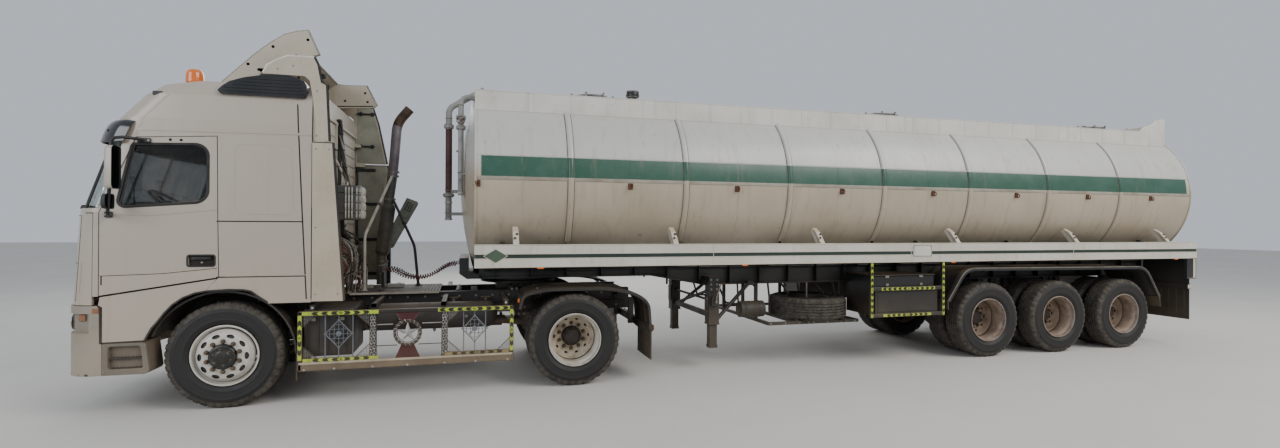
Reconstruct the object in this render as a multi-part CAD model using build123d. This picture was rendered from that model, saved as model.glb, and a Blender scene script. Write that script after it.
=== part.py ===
# Articulated tanker truck: a two-axle sleeper-cab tractor and a three-axle tank semi-trailer.
# Row frame: +X forward, +Y left, +Z up, origin on the ground under the middle of the
# bounding box.  Millimetres.  "s" below is the distance behind the front axle, so
# x = X(s) = FRONT_AXLE_X - s.
from build123d import *
import os, math

os.makedirs("parts", exist_ok=True)

# ---------------------------------------------------------------- driving dimensions
FRONT_END_S = -1400.0          # bumper face, ahead of the front axle
REAR_END_S = 13720.0           # rear ladder and lamps
FRONT_AXLE_X = (REAR_END_S - FRONT_END_S) / 2 + FRONT_END_S
WHEELBASE = 3500.0
TRAILER_AXLES_S = (9405.0, 10685.0, 11965.0)
KINGPIN_S = 2950.0
TYRE_R, TYRE_W = 525.0, 298.0
RIM_FLANGE_R = 303.0
FRONT_TYRE_Y = 1046.0          # centre plane of the front tyre
DRIVE_OUTER_Y = 1083.0         # centre plane of the outer drive tyre
TRAILER_OUTER_Y = 1042.0       # centre plane of the outer trailer tyre
DUAL_PITCH = 350.0
DISC_OFFSET = 175.0            # rim centre to mounting face
AXLE_Z = TYRE_R
STEER_PIN_Y = 855.0
STEER_ARM_S = 340.0

CAB_HW = 1245.0                # half width of the cab
CAB_REAR_S = 780.0
CAB_WALL = 60.0
CAB_FLOOR_Z = 1400.0
DOOR_T = 65.0
DOOR_GAP = 8.0

RAIL_Y, RAIL_H, RAIL_TOP = 425.0, 266.0, 1030.0

TANK_R, TANK_Z = 1114.0, 2370.0
TANK_FRONT_S, TANK_REAR_S, DISH = 2382.0, 13480.0, 165.0
RIB_FIRST_S, RIB_PITCH, RIB_COUNT = 3460.0, 1418.0, 7
SIDE_Y, SIDE_Z0, SIDE_Z1, SIDE_REAR_S = 1250.0, 1366.0, 1614.0, 13400.0
BEAM_Y, BEAM_TOP = 500.0, 1350.0
NECK_Z, DEEP_Z, NECK_S0, NECK_S1 = 1187.0, 1052.0, 4585.0, 5317.0
BOARD_Y, BOARD_TOP, BOARD_REAR_S = 750.0, 3415.0, 13140.0


def X(s):
    return FRONT_AXLE_X - s


# ---------------------------------------------------------------- helpers
def box(s0, s1, y0, y1, z0, z1):
    return Pos((X(s0) + X(s1)) / 2, (y0 + y1) / 2, (z0 + z1) / 2) * Box(abs(s1 - s0), abs(y1 - y0), abs(z1 - z0))


def cyl_y(s, z, r, y0, y1):
    return Pos(X(s), (y0 + y1) / 2, z) * Rot(90, 0, 0) * Cylinder(r, abs(y1 - y0))


def cyl_z(s, y, r, z0, z1):
    return Pos(X(s), y, (z0 + z1) / 2) * Cylinder(r, abs(z1 - z0))


def cyl_x(y, z, r, s0, s1):
    return Pos((X(s0) + X(s1)) / 2, y, z) * Rot(0, 90, 0) * Cylinder(r, abs(s1 - s0))


def prism_xz(pts, y0, y1):
    """pts are (s, z); the prism runs from y0 to y1."""
    f = make_face(Polyline(*[(X(s), y0, z) for s, z in pts], close=True))
    return extrude(f, amount=abs(y1 - y0), dir=(0, 1 if y1 > y0 else -1, 0))


def prism_yz(pts, s0, s1):
    """pts are (y, z); the prism runs from s0 to s1."""
    f = make_face(Polyline(*[(X(s0), y, z) for y, z in pts], close=True))
    return extrude(f, amount=abs(s1 - s0), dir=(-1 if s1 > s0 else 1, 0, 0))


def prism_xy(pts, z0, z1):
    """pts are (s, y); the prism runs from z0 to z1."""
    f = make_face(Polyline(*[(X(s), y, z0) for s, y in pts], close=True))
    return extrude(f, amount=z1 - z0, dir=(0, 0, 1))


def rev_y(pts, s=0.0, z=0.0, y=0.0, sign=1):
    """pts are (radius, y offset); turned about the axis along Y through (s, z)."""
    f = make_face(Polyline(*[(r, sign * dy, 0) for r, dy in pts], close=True))
    return Pos(X(s), y, z) * revolve(f, Axis.Y, 360)


def rev_x(pts, y=0.0, z=0.0):
    """pts are (s, radius); turned about the axis along X."""
    f = make_face(Polyline(*[(X(s), r, 0) for s, r in pts], close=True))
    return Pos(0, y, z) * revolve(f, Axis.X, 360)


def pipe(pts, d, radii=None, wall=None):
    """pts are (s, y, z) of a bent tube; radii one for each inner corner."""
    p = [(X(s), y, z) for s, y, z in pts]
    if len(p) == 2:
        path = Line(*p)
    elif radii is None:
        path = Polyline(*p)
    else:
        path = FilletPolyline(*p, radius=radii)
    prof = Plane(origin=path @ 0, z_dir=path % 0) * Circle(d / 2)
    return sweep(prof, path=path, transition=Transition.ROUND if radii is None else Transition.TRANSFORMED)


def both(shape):
    """the piece and its mirror image on the other side."""
    return shape + mirror(shape, about=Plane.XZ)


def sides(pieces):
    """a list of solids and their mirror images on the other side."""
    return list(pieces) + [mirror(piece, about=Plane.XZ) for piece in pieces]


def loose(shape):
    """the separate solids of a shape, as a list."""
    return [solid for solid in shape.solids() if solid.volume > 2000]


PIECES = {}


def save(shape, name):
    """keep a piece under its node's name; a list is several solids in one node."""
    PIECES[name] = list(shape) if isinstance(shape, (list, tuple)) else [shape]


def trim(name, *others):
    """cut the room of other pieces out of a piece."""
    for other in others:
        for tool in PIECES[other]:
            PIECES[name] = [piece - tool for piece in PIECES[name]]
    # crumbs that a cut leaves behind are dropped
    PIECES[name] = [solid for piece in PIECES[name] for solid in piece.solids() if solid.volume > 2000]


# ================================================================ cab envelope
# plan sections of the cab: z, half width, s of the face at the centre line,
# how far the face has curved back at the corner, corner size along s and along y
CAB_SECTIONS = [
    (1040.0, 1245.0, -1385.0, 75.0, 290.0, 245.0),
    (1940.0, 1245.0, -1335.0, 75.0, 290.0, 245.0),
    (2850.0, 1228.0, -1030.0, 75.0, 300.0, 240.0),
    (3090.0, 1208.0, -830.0, 75.0, 300.0, 235.0),
    (3200.0, 1165.0, -690.0, 70.0, 290.0, 230.0),
    (3258.0, 1080.0, -480.0, 60.0, 270.0, 220.0),
]


def plan_face(z, hw, sf, bulge, cs, cy, rear, t=0.0):
    a = (X(rear - t), hw - t)
    b = (X(sf + bulge + cs), hw - t)
    c = (X(sf + bulge + t), hw - cy)
    m = (c[0] + (b[0] - c[0]) * 0.293, c[1] + (b[1] - c[1]) * 0.707)
    n = lambda p: (p[0], -p[1])
    edges = [Line(a, b), ThreePointArc(b, m, c), ThreePointArc(c, (X(sf + t), 0), n(c)),
             ThreePointArc(n(c), n(m), n(b)), Line(n(b), n(a)), Line(n(a), a)]
    return Pos(0, 0, z) * make_face(edges)


def cab_solid(t=0.0, z_low=None):
    faces = []
    last = len(CAB_SECTIONS) - 1
    for i, (z, hw, sf, bulge, cs, cy) in enumerate(CAB_SECTIONS):
        zz = z - (t if i >= 2 else 0.0)
        if i == 0 and z_low is not None:
            zz = z_low
        faces.append(plan_face(zz, hw, sf, bulge, cs, cy, CAB_REAR_S, t))
    return loft(faces, ruled=True)


cab_outer = cab_solid(0.0)
cab_inner = cab_solid(CAB_WALL)
cab_door_inner = cab_solid(DOOR_T)
glass_ring = cab_solid(10.0) - cab_solid(18.0)

# door outline, (s, z): lower front, shoulder, top front, top rear, lower rear
DOOR = [(-1008.0, 1154.0), (-1008.0, 1936.0), (-722.0, 2652.0), (-62.0, 2690.0), (-38.0, 1309.0)]
WINDOW = [(-880.0, 1985.0), (-758.0, 2590.0), (-133.0, 2611.0), (-130.0, 2045.0)]


def grow(pts, g):
    """move the outline's corners out by g (pts run lower front, up, back, down)."""
    cx = sum(p[0] for p in pts) / len(pts)
    out = []
    for s, z in pts:
        out.append((s + (g if s > cx else -g), z + (g if z > 2050 else -g if z < 1500 else 0.0)))
    return out


door_cut = both(prism_xz(grow(DOOR, DOOR_GAP), CAB_HW - DOOR_T - 60, CAB_HW + 40))
door_block = prism_xz(DOOR, CAB_HW - DOOR_T - 60, CAB_HW + 40)
WINDOW_R = [60.0, 30.0, 110.0, 120.0]


def rounded(block, corners, radii):
    """round a block's edges that run along Y, given their (s, z) places."""
    for (s, z), r in zip(corners, radii):
        edge = min(block.edges().filter_by(Axis.Y), key=lambda e: math.hypot(e.center().X - X(s), e.center().Z - z))
        block = block.fillet(r, [edge])
    return block


win_block = rounded(prism_xz(WINDOW, CAB_HW - DOOR_T - 80, CAB_HW + 60), WINDOW, WINDOW_R)
win_glass = win_block

# ---------------------------------------------------------------- cab shell
SCREEN = [(-1080.0, 1975.0), (-860.0, 2800.0)]   # only the z limits and rear limit are used
screen_block = prism_xz([(-1700, 1975), (-1010, 1975), (-790, 2790), (-1700, 2790)], -1300, 1300)
front_block = box(-1700, -1060, -1300, 1300, 1000, 1925)

shell = cab_outer - cab_inner - box(-1500, CAB_REAR_S - CAB_WALL, -(CAB_HW - CAB_WALL), CAB_HW - CAB_WALL, 900, CAB_FLOOR_Z - 60)
floor_plate = box(-1290, CAB_REAR_S - CAB_WALL, -1180, 1180, CAB_FLOOR_Z - 60, CAB_FLOOR_Z) & cab_solid(8.0)
shell = shell + floor_plate
# the sill lines: in front of the arch the side ends at the door's foot
arch = both(prism_xz([(-1700, 900), (-1700, 1146), (-1016, 1146), (-38, 1301), (-143, 1181), (50, 1183), (241, 1172),
                      (396, 1051), (396, 900)], 1100, 1400))
arch_inner = box(-700, 640, -1300, 1300, 900, 1051)
shell = shell - arch - door_cut - screen_block
front_skin = (cab_outer - cab_solid(40.0)) & front_block & box(-1700, -1065, -1300, 1300, 1065, 1925)
shell = shell - box(-1700, -1060, -1300, 1300, 900, 1933)
# front wall behind the grille
firewall = prism_xz([(-1240, CAB_FLOOR_Z - 60), (-1240, 1990), (-1190, 1990), (-1190, CAB_FLOOR_Z - 60)], -1000, 1000)
corner_posts = both(prism_xz([(-1240, 1340), (-1240, 1990), (-1016, 1990), (-1016, 1340)], 985, 1000)
                    + box(-1060, -1016, 985, 1190, 1146, 1990))
shell = shell + firewall + corner_posts
# rear window-free wall and roof hatch frame
shell = shell + box(-400, 150, -330, 330, 3180, 3262) - box(-370, 120, -300, 300, 3150, 3300)
cab_shell = shell + box(-380, 130, -310, 310, 3205, 3262)
rear_wall = cab_shell & box(CAB_REAR_S - CAB_WALL - 1, 900, -1400, 1400, 900, 3400)
roof_cap = (cab_shell - rear_wall) & box(-1700, 900, -1400, 1400, 3060, 3400)
cab_floor = (cab_shell - rear_wall) & box(-1700, 900, -1400, 1400, 900, CAB_FLOOR_Z)
cab_sides = cab_shell - rear_wall - roof_cap - cab_floor
SKIN_Y = 1135.0                                          # inside this the sides are cut from the front and from the roof's edge
outer_sides = [cab_sides & box(-1800, 900, SKIN_Y, 1400, 900, 3400), cab_sides & box(-1800, 900, -1400, -SKIN_Y, 900, 3400)]
roof_edges = cab_sides & box(-575, 900, -SKIN_Y, SKIN_Y, 900, 3400)
header = cab_sides & box(-1800, -575, -SKIN_Y, SKIN_Y, 2620, 3400)
pillars = cab_sides & box(-1800, -575, -SKIN_Y, SKIN_Y, 1992, 2620)
scuttle = cab_sides & box(-1800, -575, -SKIN_Y, SKIN_Y, 900, 1992)
shell_parts = loose(rear_wall) + loose(roof_cap) + loose(cab_floor)
for piece in outer_sides + [roof_edges, header, pillars, scuttle]:
    shell_parts += loose(piece)
save(shell_parts, "cab_shell")

# ---------------------------------------------------------------- doors
door = ((cab_outer - cab_door_inner) & door_block) - win_block
handle_cut = box(-293, -73, CAB_HW - 28, CAB_HW + 30, 1425, 1520)
door = door - handle_cut
glass = glass_ring & win_glass
hinge_pin = cyl_z(-1003, 1240, 4, 1160, 1170)
save(door, "door_left")
save(mirror(door, about=Plane.XZ), "door_right")
save(glass, "door_glass_left")
save(mirror(glass, about=Plane.XZ), "door_glass_right")

windscreen = glass_ring & prism_xz([(-1700, 1983), (-1018, 1983), (-800, 2782), (-1700, 2782)], -1300, 1300)
save(windscreen, "windscreen")

# ---------------------------------------------------------------- front panel, bumper, lamps, visor
grille_slots = [box(-1500, -1250, -760, 760, z, z + 42) for z in (1130, 1210, 1290, 1370)]
front_panel = front_skin
for g in grille_slots:
    front_panel = front_panel - g
save(front_panel, "front_panel")


def plan_slab(z0, z1, t_out, t_in, sf=-1400.0, rear=-985.0):
    outer = plan_face(z0, CAB_HW, sf, 75.0, 290.0, 245.0, 0.0, t_out)
    inner = plan_face(z0, CAB_HW, sf, 75.0, 290.0, 245.0, 200.0, t_in)
    ring = extrude(outer, amount=z1 - z0, dir=(0, 0, 1)) - extrude(inner, amount=z1 - z0, dir=(0, 0, 1))
    return ring & box(-1700, rear, -1400, 1400, z0, z1)


bumper = plan_slab(400, 1057, 0, 55)
bumper = bumper - box(-1500, -1200, -560, 560, 740, 860)
lamp_recess = both(box(-1500, -1085, 760, 1260, 800, 985))
bumper = bumper - (plan_slab(800, 985, -5, 25) & lamp_recess)
bumper = bumper + box(-1355, -1300, -420, 420, 440, 700)
bumper = bumper - Pos(X(-1330), 0, 560) * Rot(0, 90, 0) * Cylinder(25, 200)
save(bumper, "front_bumper")

head_lamps = plan_slab(803, 982, 2, 22) & both(box(-1500, -1088, 763, 1240, 803, 982))
side_lamps = both(box(-1060, -1005, CAB_HW - 8, CAB_HW + 5, 985, 1035))
beacon = Pos(X(-415), 600, 3254) * Cylinder(62, 30, align=(Align.CENTER, Align.CENTER, Align.MIN)) \
    + Pos(X(-415), 600, 3284) * Cone(56, 48, 128, align=(Align.CENTER, Align.CENTER, Align.MIN))
save([head_lamps, side_lamps, beacon], "front_lamps")

visor = (cab_solid(-64.0) - cab_solid(-50.0)) & box(-1700, -700, -1215, 1215, 2600, 2785)
VISOR_END = [(-1003.0, 2603.0), (-955.0, 2707.0), (-855.0, 2818.0), (-743.0, 2790.0), (-773.0, 2691.0), (-858.0, 2609.0), (-964.0, 2576.0)]
visor = visor + both(prism_xz(VISOR_END, 1150, 1215) - cab_solid(-1.0))
visor = visor + both(box(-1150, -985, 700, 730, 2700, 2730) - cab_solid(-1.0)) + both(
    (box(-1200, -1040, 60, 90, 2690, 2720)) - cab_solid(-1.0))
visor = visor & (cab_solid(-64.0) + both(prism_xz(VISOR_END, 1150, 1215)))

# ---------------------------------------------------------------- roof deflector and side intakes
# a sloping middle sheet between two wings; the right wing sits lower and further back than the left one
WING_LEFT = [(-170.0, 3266.0), (163.0, 3616.0), (304.0, 3742.0), (435.0, 3841.0), (556.0, 3885.0), (659.0, 3905.0), (771.0, 3652.0),
             (557.0, 3567.0), (437.0, 3571.0), (306.0, 3507.0), (235.0, 3435.0), (105.0, 3266.0)]
WING_RIGHT = [(-170.0, 3266.0), (163.0, 3520.0), (464.0, 3690.0), (600.0, 3722.0), (715.0, 3712.0), (970.0, 3722.0), (1100.0, 3460.0),
              (1053.0, 3425.0), (640.0, 3400.0), (306.0, 3350.0), (105.0, 3266.0)]
SHEET = [(-170.0, 3266.0), (150.0, 3500.0), (585.0, 3738.0), (600.0, 3718.0), (160.0, 3474.0), (-120.0, 3262.0)]
sheet_front = [(-172.0, 3256.0), (-172.0, 3268.0), (-115.0, 3268.0), (-115.0, 3256.0)]
deflector = prism_xz(SHEET, -875, 875) + prism_xz(WING_LEFT, 872, 900) + prism_xz(WING_RIGHT, -900, -872)
deflector = deflector + both(box(300, 330, 500, 530, 3256, 3560) & prism_xz([(200, 3250), (200, 3510), (400, 3620), (400, 3250)], 400, 600))
save(deflector, "roof_deflector")

intake_pts = [(-65.0, 3150.0), (20.0, 3235.0), (330.0, 3330.0), (578.0, 3335.0), (700.0, 3290.0), (738.0, 3194.0), (719.0, 3107.0), (-40.0, 3112.0)]
intake = both(prism_xz(intake_pts, 1100, 1236) - cab_solid(-0.5))
save([visor, intake], "visor_and_intakes")

# ---------------------------------------------------------------- rear side fairings
# each side: a tall lower leaf, an upper leaf that runs forward over the roof intake, and a lid towards the deflector
UP_FRONT = [(786.0, 2685.0), (786.0, 3098.0), (752.0, 3300.0), (704.0, 3343.0), (320.0, 3343.0), (365.0, 3435.0), (460.0, 3497.0), (549.0, 3540.0)]
LEAF_L = UP_FRONT + [(790.0, 3542.0), (824.0, 3470.0), (858.0, 3287.0), (905.0, 3264.0), (932.0, 2685.0)]
LEAF_R = UP_FRONT + [(800.0, 3540.0), (1009.0, 3463.0), (1078.0, 3231.0), (1190.0, 2685.0)]
LOW_L = [(786.0, 1048.0), (786.0, 2675.0), (972.0, 2675.0), (1082.0, 1046.0)]
LOW_R = [(786.0, 1048.0), (786.0, 2675.0), (1192.0, 2675.0), (1215.0, 2560.0), (1150.0, 2260.0), (1190.0, 1046.0)]
LID = [(375.0, 3420.0), (365.0, 3435.0), (460.0, 3497.0), (549.0, 3540.0), (786.0, 3541.0), (786.0, 3517.0), (556.0, 3516.0), (470.0, 3475.0)]
fair_arm = box(780, 900, 1100, 1213, 1500, 1540) + box(780, 900, 1100, 1213, 2300, 2340) + box(780, 860, 1060, 1180, 2900, 2940)
fair_back = prism_xz([(786, 2640), (786, 2720), (900, 2720), (900, 2640)], 1180, 1213)
fair_common = fair_arm + fair_back + prism_xz(LID, 930, 1190)
fair_left = prism_xz(LOW_L, 1213, 1245) + prism_xz(LEAF_L, 1180, 1212) + fair_common
fair_right = mirror(prism_xz(LOW_R, 1213, 1245) + prism_xz(LEAF_R, 1180, 1212) + fair_common, about=Plane.XZ)
save([fair_left, fair_right], "side_fairings")

# ---------------------------------------------------------------- steps and lower side panels
lower_panel = prism_xz([(-1004, 1138), (-1016, 1057), (-985, 1050), (-985, 711), (-636, 718), (-585, 830), (-536, 889), (-417, 1054), (-235, 1160), (-143, 1173), (-50, 1292)],
                       CAB_HW - 35, CAB_HW)
step_body = prism_xz([(-977, 400), (-977, 705), (-640, 705), (-600, 400)], 960, CAB_HW) \
    - box(-930, -650, 1060, 1300, 560, 690) - box(-930, -650, 1060, 1300, 420, 530)
step_hang = box(-960, -700, 960, 1000, 705, 1330)
save(both(lower_panel + step_body + step_hang + box(-960, -700, 1000, 1215, 705, 740)), "step_panels")

# ---------------------------------------------------------------- mirrors, carried by the doors
mirror_head = prism_xy([(-862, 1335), (-866, 1470), (-846, 1500), (-800, 1500), (-795, 1335)], 2150, 2548)
mirror_low = prism_xy([(-888, 1335), (-890, 1475), (-874, 1496), (-848, 1496), (-845, 1335)], 1965, 2105)
m_arm = pipe([(-660, 1228, 2628), (-828, 1415, 2628), (-868, 1415, 1915), (-932, 1236, 1915)], 30, [60, 60])
m_foot = box(-715, -605, 1220, 1258, 2602, 2648) + box(-965, -900, 1236, 1266, 1885, 1945)
m_left = mirror_head + mirror_low + m_arm + m_foot
save(m_left, "mirror_left")
save(mirror(m_left, about=Plane.XZ), "mirror_right")

# ---------------------------------------------------------------- cab interior
dash = prism_xz([(-1180, 1405), (-1180, 1985), (-1060, 2010), (-880, 1960), (-830, 1850), (-900, 1700), (-1000, 1650), (-1010, 1405)], -1160, 1160)
tunnel = box(-1000, 300, -260, 260, CAB_FLOOR_Z, 1500)
bunk_base = box(330, 710, -1150, 1150, CAB_FLOOR_Z, 1820)
column = pipe([(-900, 560, 1800), (-740, 560, 2010)], 70)
pedestal = both(box(-480, -80, 340, 740, CAB_FLOOR_Z, 1690))
save([(dash & cab_solid(CAB_WALL + 4)) + tunnel + bunk_base + pedestal, column - dash], "cab_interior")

seat_cushion = both(box(-560, -40, 290, 790, 1692, 1840))
seat_back = both(prism_xz([(-110, 1842), (-10, 1842), (120, 2420), (10, 2440)], 300, 780))
head_rest = both(prism_xz([(8, 2442), (118, 2422), (150, 2610), (60, 2620)], 410, 670))
mattress = box(335, 705, -1145, 1145, 1822, 1940)
save([seat_cushion + seat_back + head_rest, mattress], "seats_and_bunk")

# ---------------------------------------------------------------- steering wheel
COL_A, COL_B = (-900.0, 560.0, 1800.0), (-740.0, 560.0, 2010.0)
_u = Vector(X(COL_B[0]) - X(COL_A[0]), 0, COL_B[2] - COL_A[2]).normalized()
WHEEL_C = (X(COL_B[0]) + _u.X * 45, 560.0, COL_B[2] + _u.Z * 45)
wp = Plane(origin=WHEEL_C, x_dir=(0, 1, 0), z_dir=(_u.X, 0, _u.Z))
rim_ring = wp * Torus(215, 16)
hubcap = wp * Cylinder(60, 50)
spokes = wp * (Box(430, 36, 14) + Pos(0, 0, 0) * Box(36, 430, 14))
save((rim_ring + hubcap + spokes), "steering_wheel")

# ================================================================ tractor chassis
def channel(y_out, s0, s1, z0, z1, flange=85, t=9):
    web = box(s0, s1, y_out - t, y_out, z0, z1)
    top = box(s0, s1, y_out - flange, y_out, z1 - t, z1)
    bot = box(s0, s1, y_out - flange, y_out, z0, z0 + t)
    return web + top + bot


frame = sides([channel(RAIL_Y, -1180, 4330, RAIL_TOP - RAIL_H, RAIL_TOP)])
for s0, s1 in ((-1180, -1080), (1500, 1560), (2350, 2430), (4230, 4310)):
    frame.append(box(s0, s1, -(RAIL_Y - 9), RAIL_Y - 9, RAIL_TOP - RAIL_H + 20, RAIL_TOP - 20))
# front beam that carries the bumper, the deck, and the brackets of side guards and steps
frame.append(box(-1300, -1180, -430, 430, 500, 700))
frame += sides([box(-1240, -1180, 340, 425, 700, 900)])
frame.append(box(1010, 1980, -RAIL_Y - 60, RAIL_Y + 60, RAIL_TOP, RAIL_TOP + 8))
for s in (760, 1340, 2040, 2700):
    frame += sides([box(s, s + 50, RAIL_Y, 1180, 960, 1000)])
save(frame, "chassis_frame")

# ---------------------------------------------------------------- engine, gearbox, prop shaft
engine = box(-900, 380, -320, 320, 580, 1330)
radiator = box(-1060, -900, -440, 440, 780, 1330) - both(box(-1100, -880, 330, 460, 760, 1040))
gearbox = box(380, 1180, -220, 220, 600, 1000)
shaft = pipe([(1180, 0, 760), (3255, 0, 560)], 110)
save(engine + radiator + gearbox + shaft, "engine_block")

# ---------------------------------------------------------------- front axle with springs
beam = prism_yz([(-560, 370), (560, 370), (780, 470), (860, 470), (860, 560), (760, 560), (540, 480), (-540, 480),
                 (-760, 560), (-860, 560), (-860, 470), (-780, 470)], -48, 48)
eyes = both(cyl_z(0, STEER_PIN_Y, 44, 440, 612))
pins = both(cyl_z(0, STEER_PIN_Y, 20, 384, 668))


def leaf(y0, y1):
    top = ThreePointArc((X(-820), y0, 742), (X(0), y0, 610), (X(820), y0, 742))
    bot = ThreePointArc((X(-820), y0, 700), (X(0), y0, 545), (X(820), y0, 700))
    f = make_face([top, bot, Line((X(-820), y0, 742), (X(-820), y0, 700)), Line((X(820), y0, 742), (X(820), y0, 700))])
    return extrude(f, amount=y1 - y0, dir=(0, 1, 0))


spring = leaf(345, 425) + box(-90, 90, 340, 430, 470, 560) + box(-850, -780, 350, 416, 700, 763) + box(780, 850, 350, 416, 700, 763)
save(beam + eyes + pins + both(spring), "front_axle")

# ---------------------------------------------------------------- steering knuckles and tie rod
knuckle = (box(-50, 50, STEER_PIN_Y, 950, 618, 660) + cyl_z(0, STEER_PIN_Y, 50, 618, 660)
           + box(-50, 50, STEER_PIN_Y, 950, 390, 432) + cyl_z(0, STEER_PIN_Y, 50, 390, 432)
           + box(-50, 50, 907, 950, 390, 660) + cyl_y(0, AXLE_Z, 40, 950, 1150)
           + box(0, STEER_ARM_S, STEER_PIN_Y - 20, STEER_PIN_Y + 20, 394, 426)
           + cyl_z(STEER_ARM_S, STEER_PIN_Y, 30, 394, 426)) - cyl_z(0, STEER_PIN_Y, 21, 300, 700)
save(knuckle, "steering_knuckle_left")
save(mirror(knuckle, about=Plane.XZ), "steering_knuckle_right")
tie = cyl_y(STEER_ARM_S, 355, 18, -STEER_PIN_Y, STEER_PIN_Y) + both(cyl_z(STEER_ARM_S, STEER_PIN_Y, 26, 330, 388))
save(tie, "tie_rod")

# ---------------------------------------------------------------- drive axle with air bellows
def axle_tube(s, r, y1):
    return cyl_y(s, AXLE_Z, r, -y1, y1)


diff = Pos(X(WHEELBASE), 0, AXLE_Z) * Sphere(210) & box(3240, 3760, -190, 190, 300, 760)
drive = axle_tube(WHEELBASE, 60, 880) + diff + box(3260, 3400, -80, 80, 480, 620)
for s in (WHEELBASE - 420, WHEELBASE + 420):
    drive = drive + both(box(s - 60, s + 60, 330, 420, 470, 540) + cyl_z(s, 375, 110, 540, 764))
drive = drive + both(box(WHEELBASE - 480, WHEELBASE + 480, 345, 405, 455, 520))
save(drive, "drive_axle")

# ---------------------------------------------------------------- tanks and boxes beside the frame
bat = box(690, 1160, 480, 1150, 470, 955)
air = cyl_x(780, 800, 150, 1220, 2650) + box(1300, 1340, 425, 800, 780, 960) + box(2500, 2540, 425, 800, 780, 960)
fuel = box(720, 2620, -1150, -520, 430, 955)
save([bat, air, fuel], "side_tanks")

# ---------------------------------------------------------------- ornamental side guards
G_Y0, G_Y1 = 1200.0, 1240.0
guard = [box(657, 2807, G_Y0, G_Y1, 905, 945), box(657, 2807, G_Y0, G_Y1, 335, 425),
         box(700, 1330, G_Y0, G_Y1, 425, 465), box(2110, 2764, G_Y0, G_Y1, 425, 465)]
for s0, s1 in ((657, 700), (1330, 1400), (2045, 2110), (2764, 2807)):
    guard.append(box(s0, s1, G_Y0, G_Y1, 425, 905))
disc = cyl_y(1705, 690, 145, G_Y0 + 10, G_Y1 - 10) - cyl_y(1705, 690, 112, G_Y0, G_Y1)
star = cyl_y(1705, 690, 30, G_Y0 + 10, G_Y1 - 10)
for k in range(5):
    a = math.radians(90 + 72 * k)
    star = star + prism_xz([(1705 + 116 * math.cos(a), 690 + 116 * math.sin(a)),
                            (1705 + 26 * math.cos(a + 0.63), 690 + 26 * math.sin(a + 0.63)), (1705, 690),
                            (1705 + 26 * math.cos(a - 0.63), 690 + 26 * math.sin(a - 0.63))], G_Y0 + 14, G_Y1 - 14)
trap = prism_xz([(1585, 905), (1825, 905), (1765, 815), (1645, 815)], G_Y0 + 12, G_Y1 - 12) \
    + prism_xz([(1585, 425), (1825, 425), (1765, 565), (1645, 565)], G_Y0 + 12, G_Y1 - 12)
guard.append(disc + star + trap)
for s in (760, 2700):
    guard.append(box(s, s + 50, 1180, G_Y0, 905, 1000))
save(sides(guard), "side_guards")

# ---------------------------------------------------------------- tractor mudguards
def arc_guard(s_c, r, y0, y1, a0, a1, t=6.0):
    """curved sheet over a wheel, from angle a0 to a1 (degrees, 0 = rearward, 90 = up)."""
    p = lambda rr, a: (X(s_c + rr * math.cos(math.radians(a))), y0, AXLE_Z + rr * math.sin(math.radians(a)))
    am = (a0 + a1) / 2
    f = make_face([ThreePointArc(p(r, a0), p(r, am), p(r, a1)), ThreePointArc(p(r + t, a0), p(r + t, am), p(r + t, a1)),
                   Line(p(r, a0), p(r + t, a0)), Line(p(r, a1), p(r + t, a1))])
    return extrude(f, amount=y1 - y0, dir=(0, 1, 0))


front_arch = arc_guard(0, 645, 640, 1205, 0, 160) + box(639, 651, 640, 1205, 240, 530)
rear_guard = prism_xz([(2860, 900), (2900, 1060), (3150, 1118), (3900, 1118), (4230, 1040), (4390, 930), (4410, 660),
                       (4402, 660), (4382, 926), (4226, 1032), (3898, 1110), (3152, 1110), (2908, 1054), (2868, 898)], 560, 1235)
rear_arm = box(3060, 3100, 425, 600, 940, 980) + box(4120, 4160, 425, 600, 940, 980) + box(3060, 3100, 560, 600, 940, 1100) + box(4120, 4160, 560, 600, 940, 1062)
tail = box(4400, 4440, -1150, 1150, 560, 660) + both(box(4330, 4400, 380, 425, 560, 900))
flap = box(4412, 4420, 600, 1180, 240, 560)
save(sides([rear_guard + rear_arm, flap, front_arch]) + [tail], "mudguards")

# ---------------------------------------------------------------- fifth wheel
fw = cyl_z(KINGPIN_S, 0, 480, 1120, 1180) + box(KINGPIN_S - 300, KINGPIN_S + 300, -400, 400, 1060, 1120)
fw = fw - prism_xy([(KINGPIN_S, -30), (KINGPIN_S, 30), (KINGPIN_S + 500, 190), (KINGPIN_S + 500, -190)], 1040, 1200) \
    - cyl_z(KINGPIN_S, 0, 32, 1000, 1200)
fw = fw + both(box(KINGPIN_S - 160, KINGPIN_S + 160, 330, 424, RAIL_TOP, 1065))
save(fw, "fifth_wheel")

# ---------------------------------------------------------------- exhaust, air cleaner, stays
EXH_Y = -600.0
exhaust = pipe([(1205, EXH_Y, 1040), (1205, EXH_Y, 1500), (1345, EXH_Y, 2560), (1390, EXH_Y, 3190), (1545, EXH_Y, 3385)], 125,
               [500, 900, 150])
stay1 = pipe([(1340, EXH_Y + 20, 2500), (1120, 200, 1700), (1120, 200, 1038)], 36, [120])
stay2 = pipe([(1340, EXH_Y + 20, 2180), (1640, -300, 1560), (1690, -300, 1046)], 36, [150])
base = box(1130, 1280, EXH_Y - 80, EXH_Y + 80, 1000, 1060) + box(1130, 1280, EXH_Y, -426, 1000, 1028)
silencer = pipe([(1208, EXH_Y, 1420), (1292, EXH_Y, 2110)], 176)
save(exhaust + silencer + stay1 + stay2 + base, "exhaust_stack")

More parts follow.
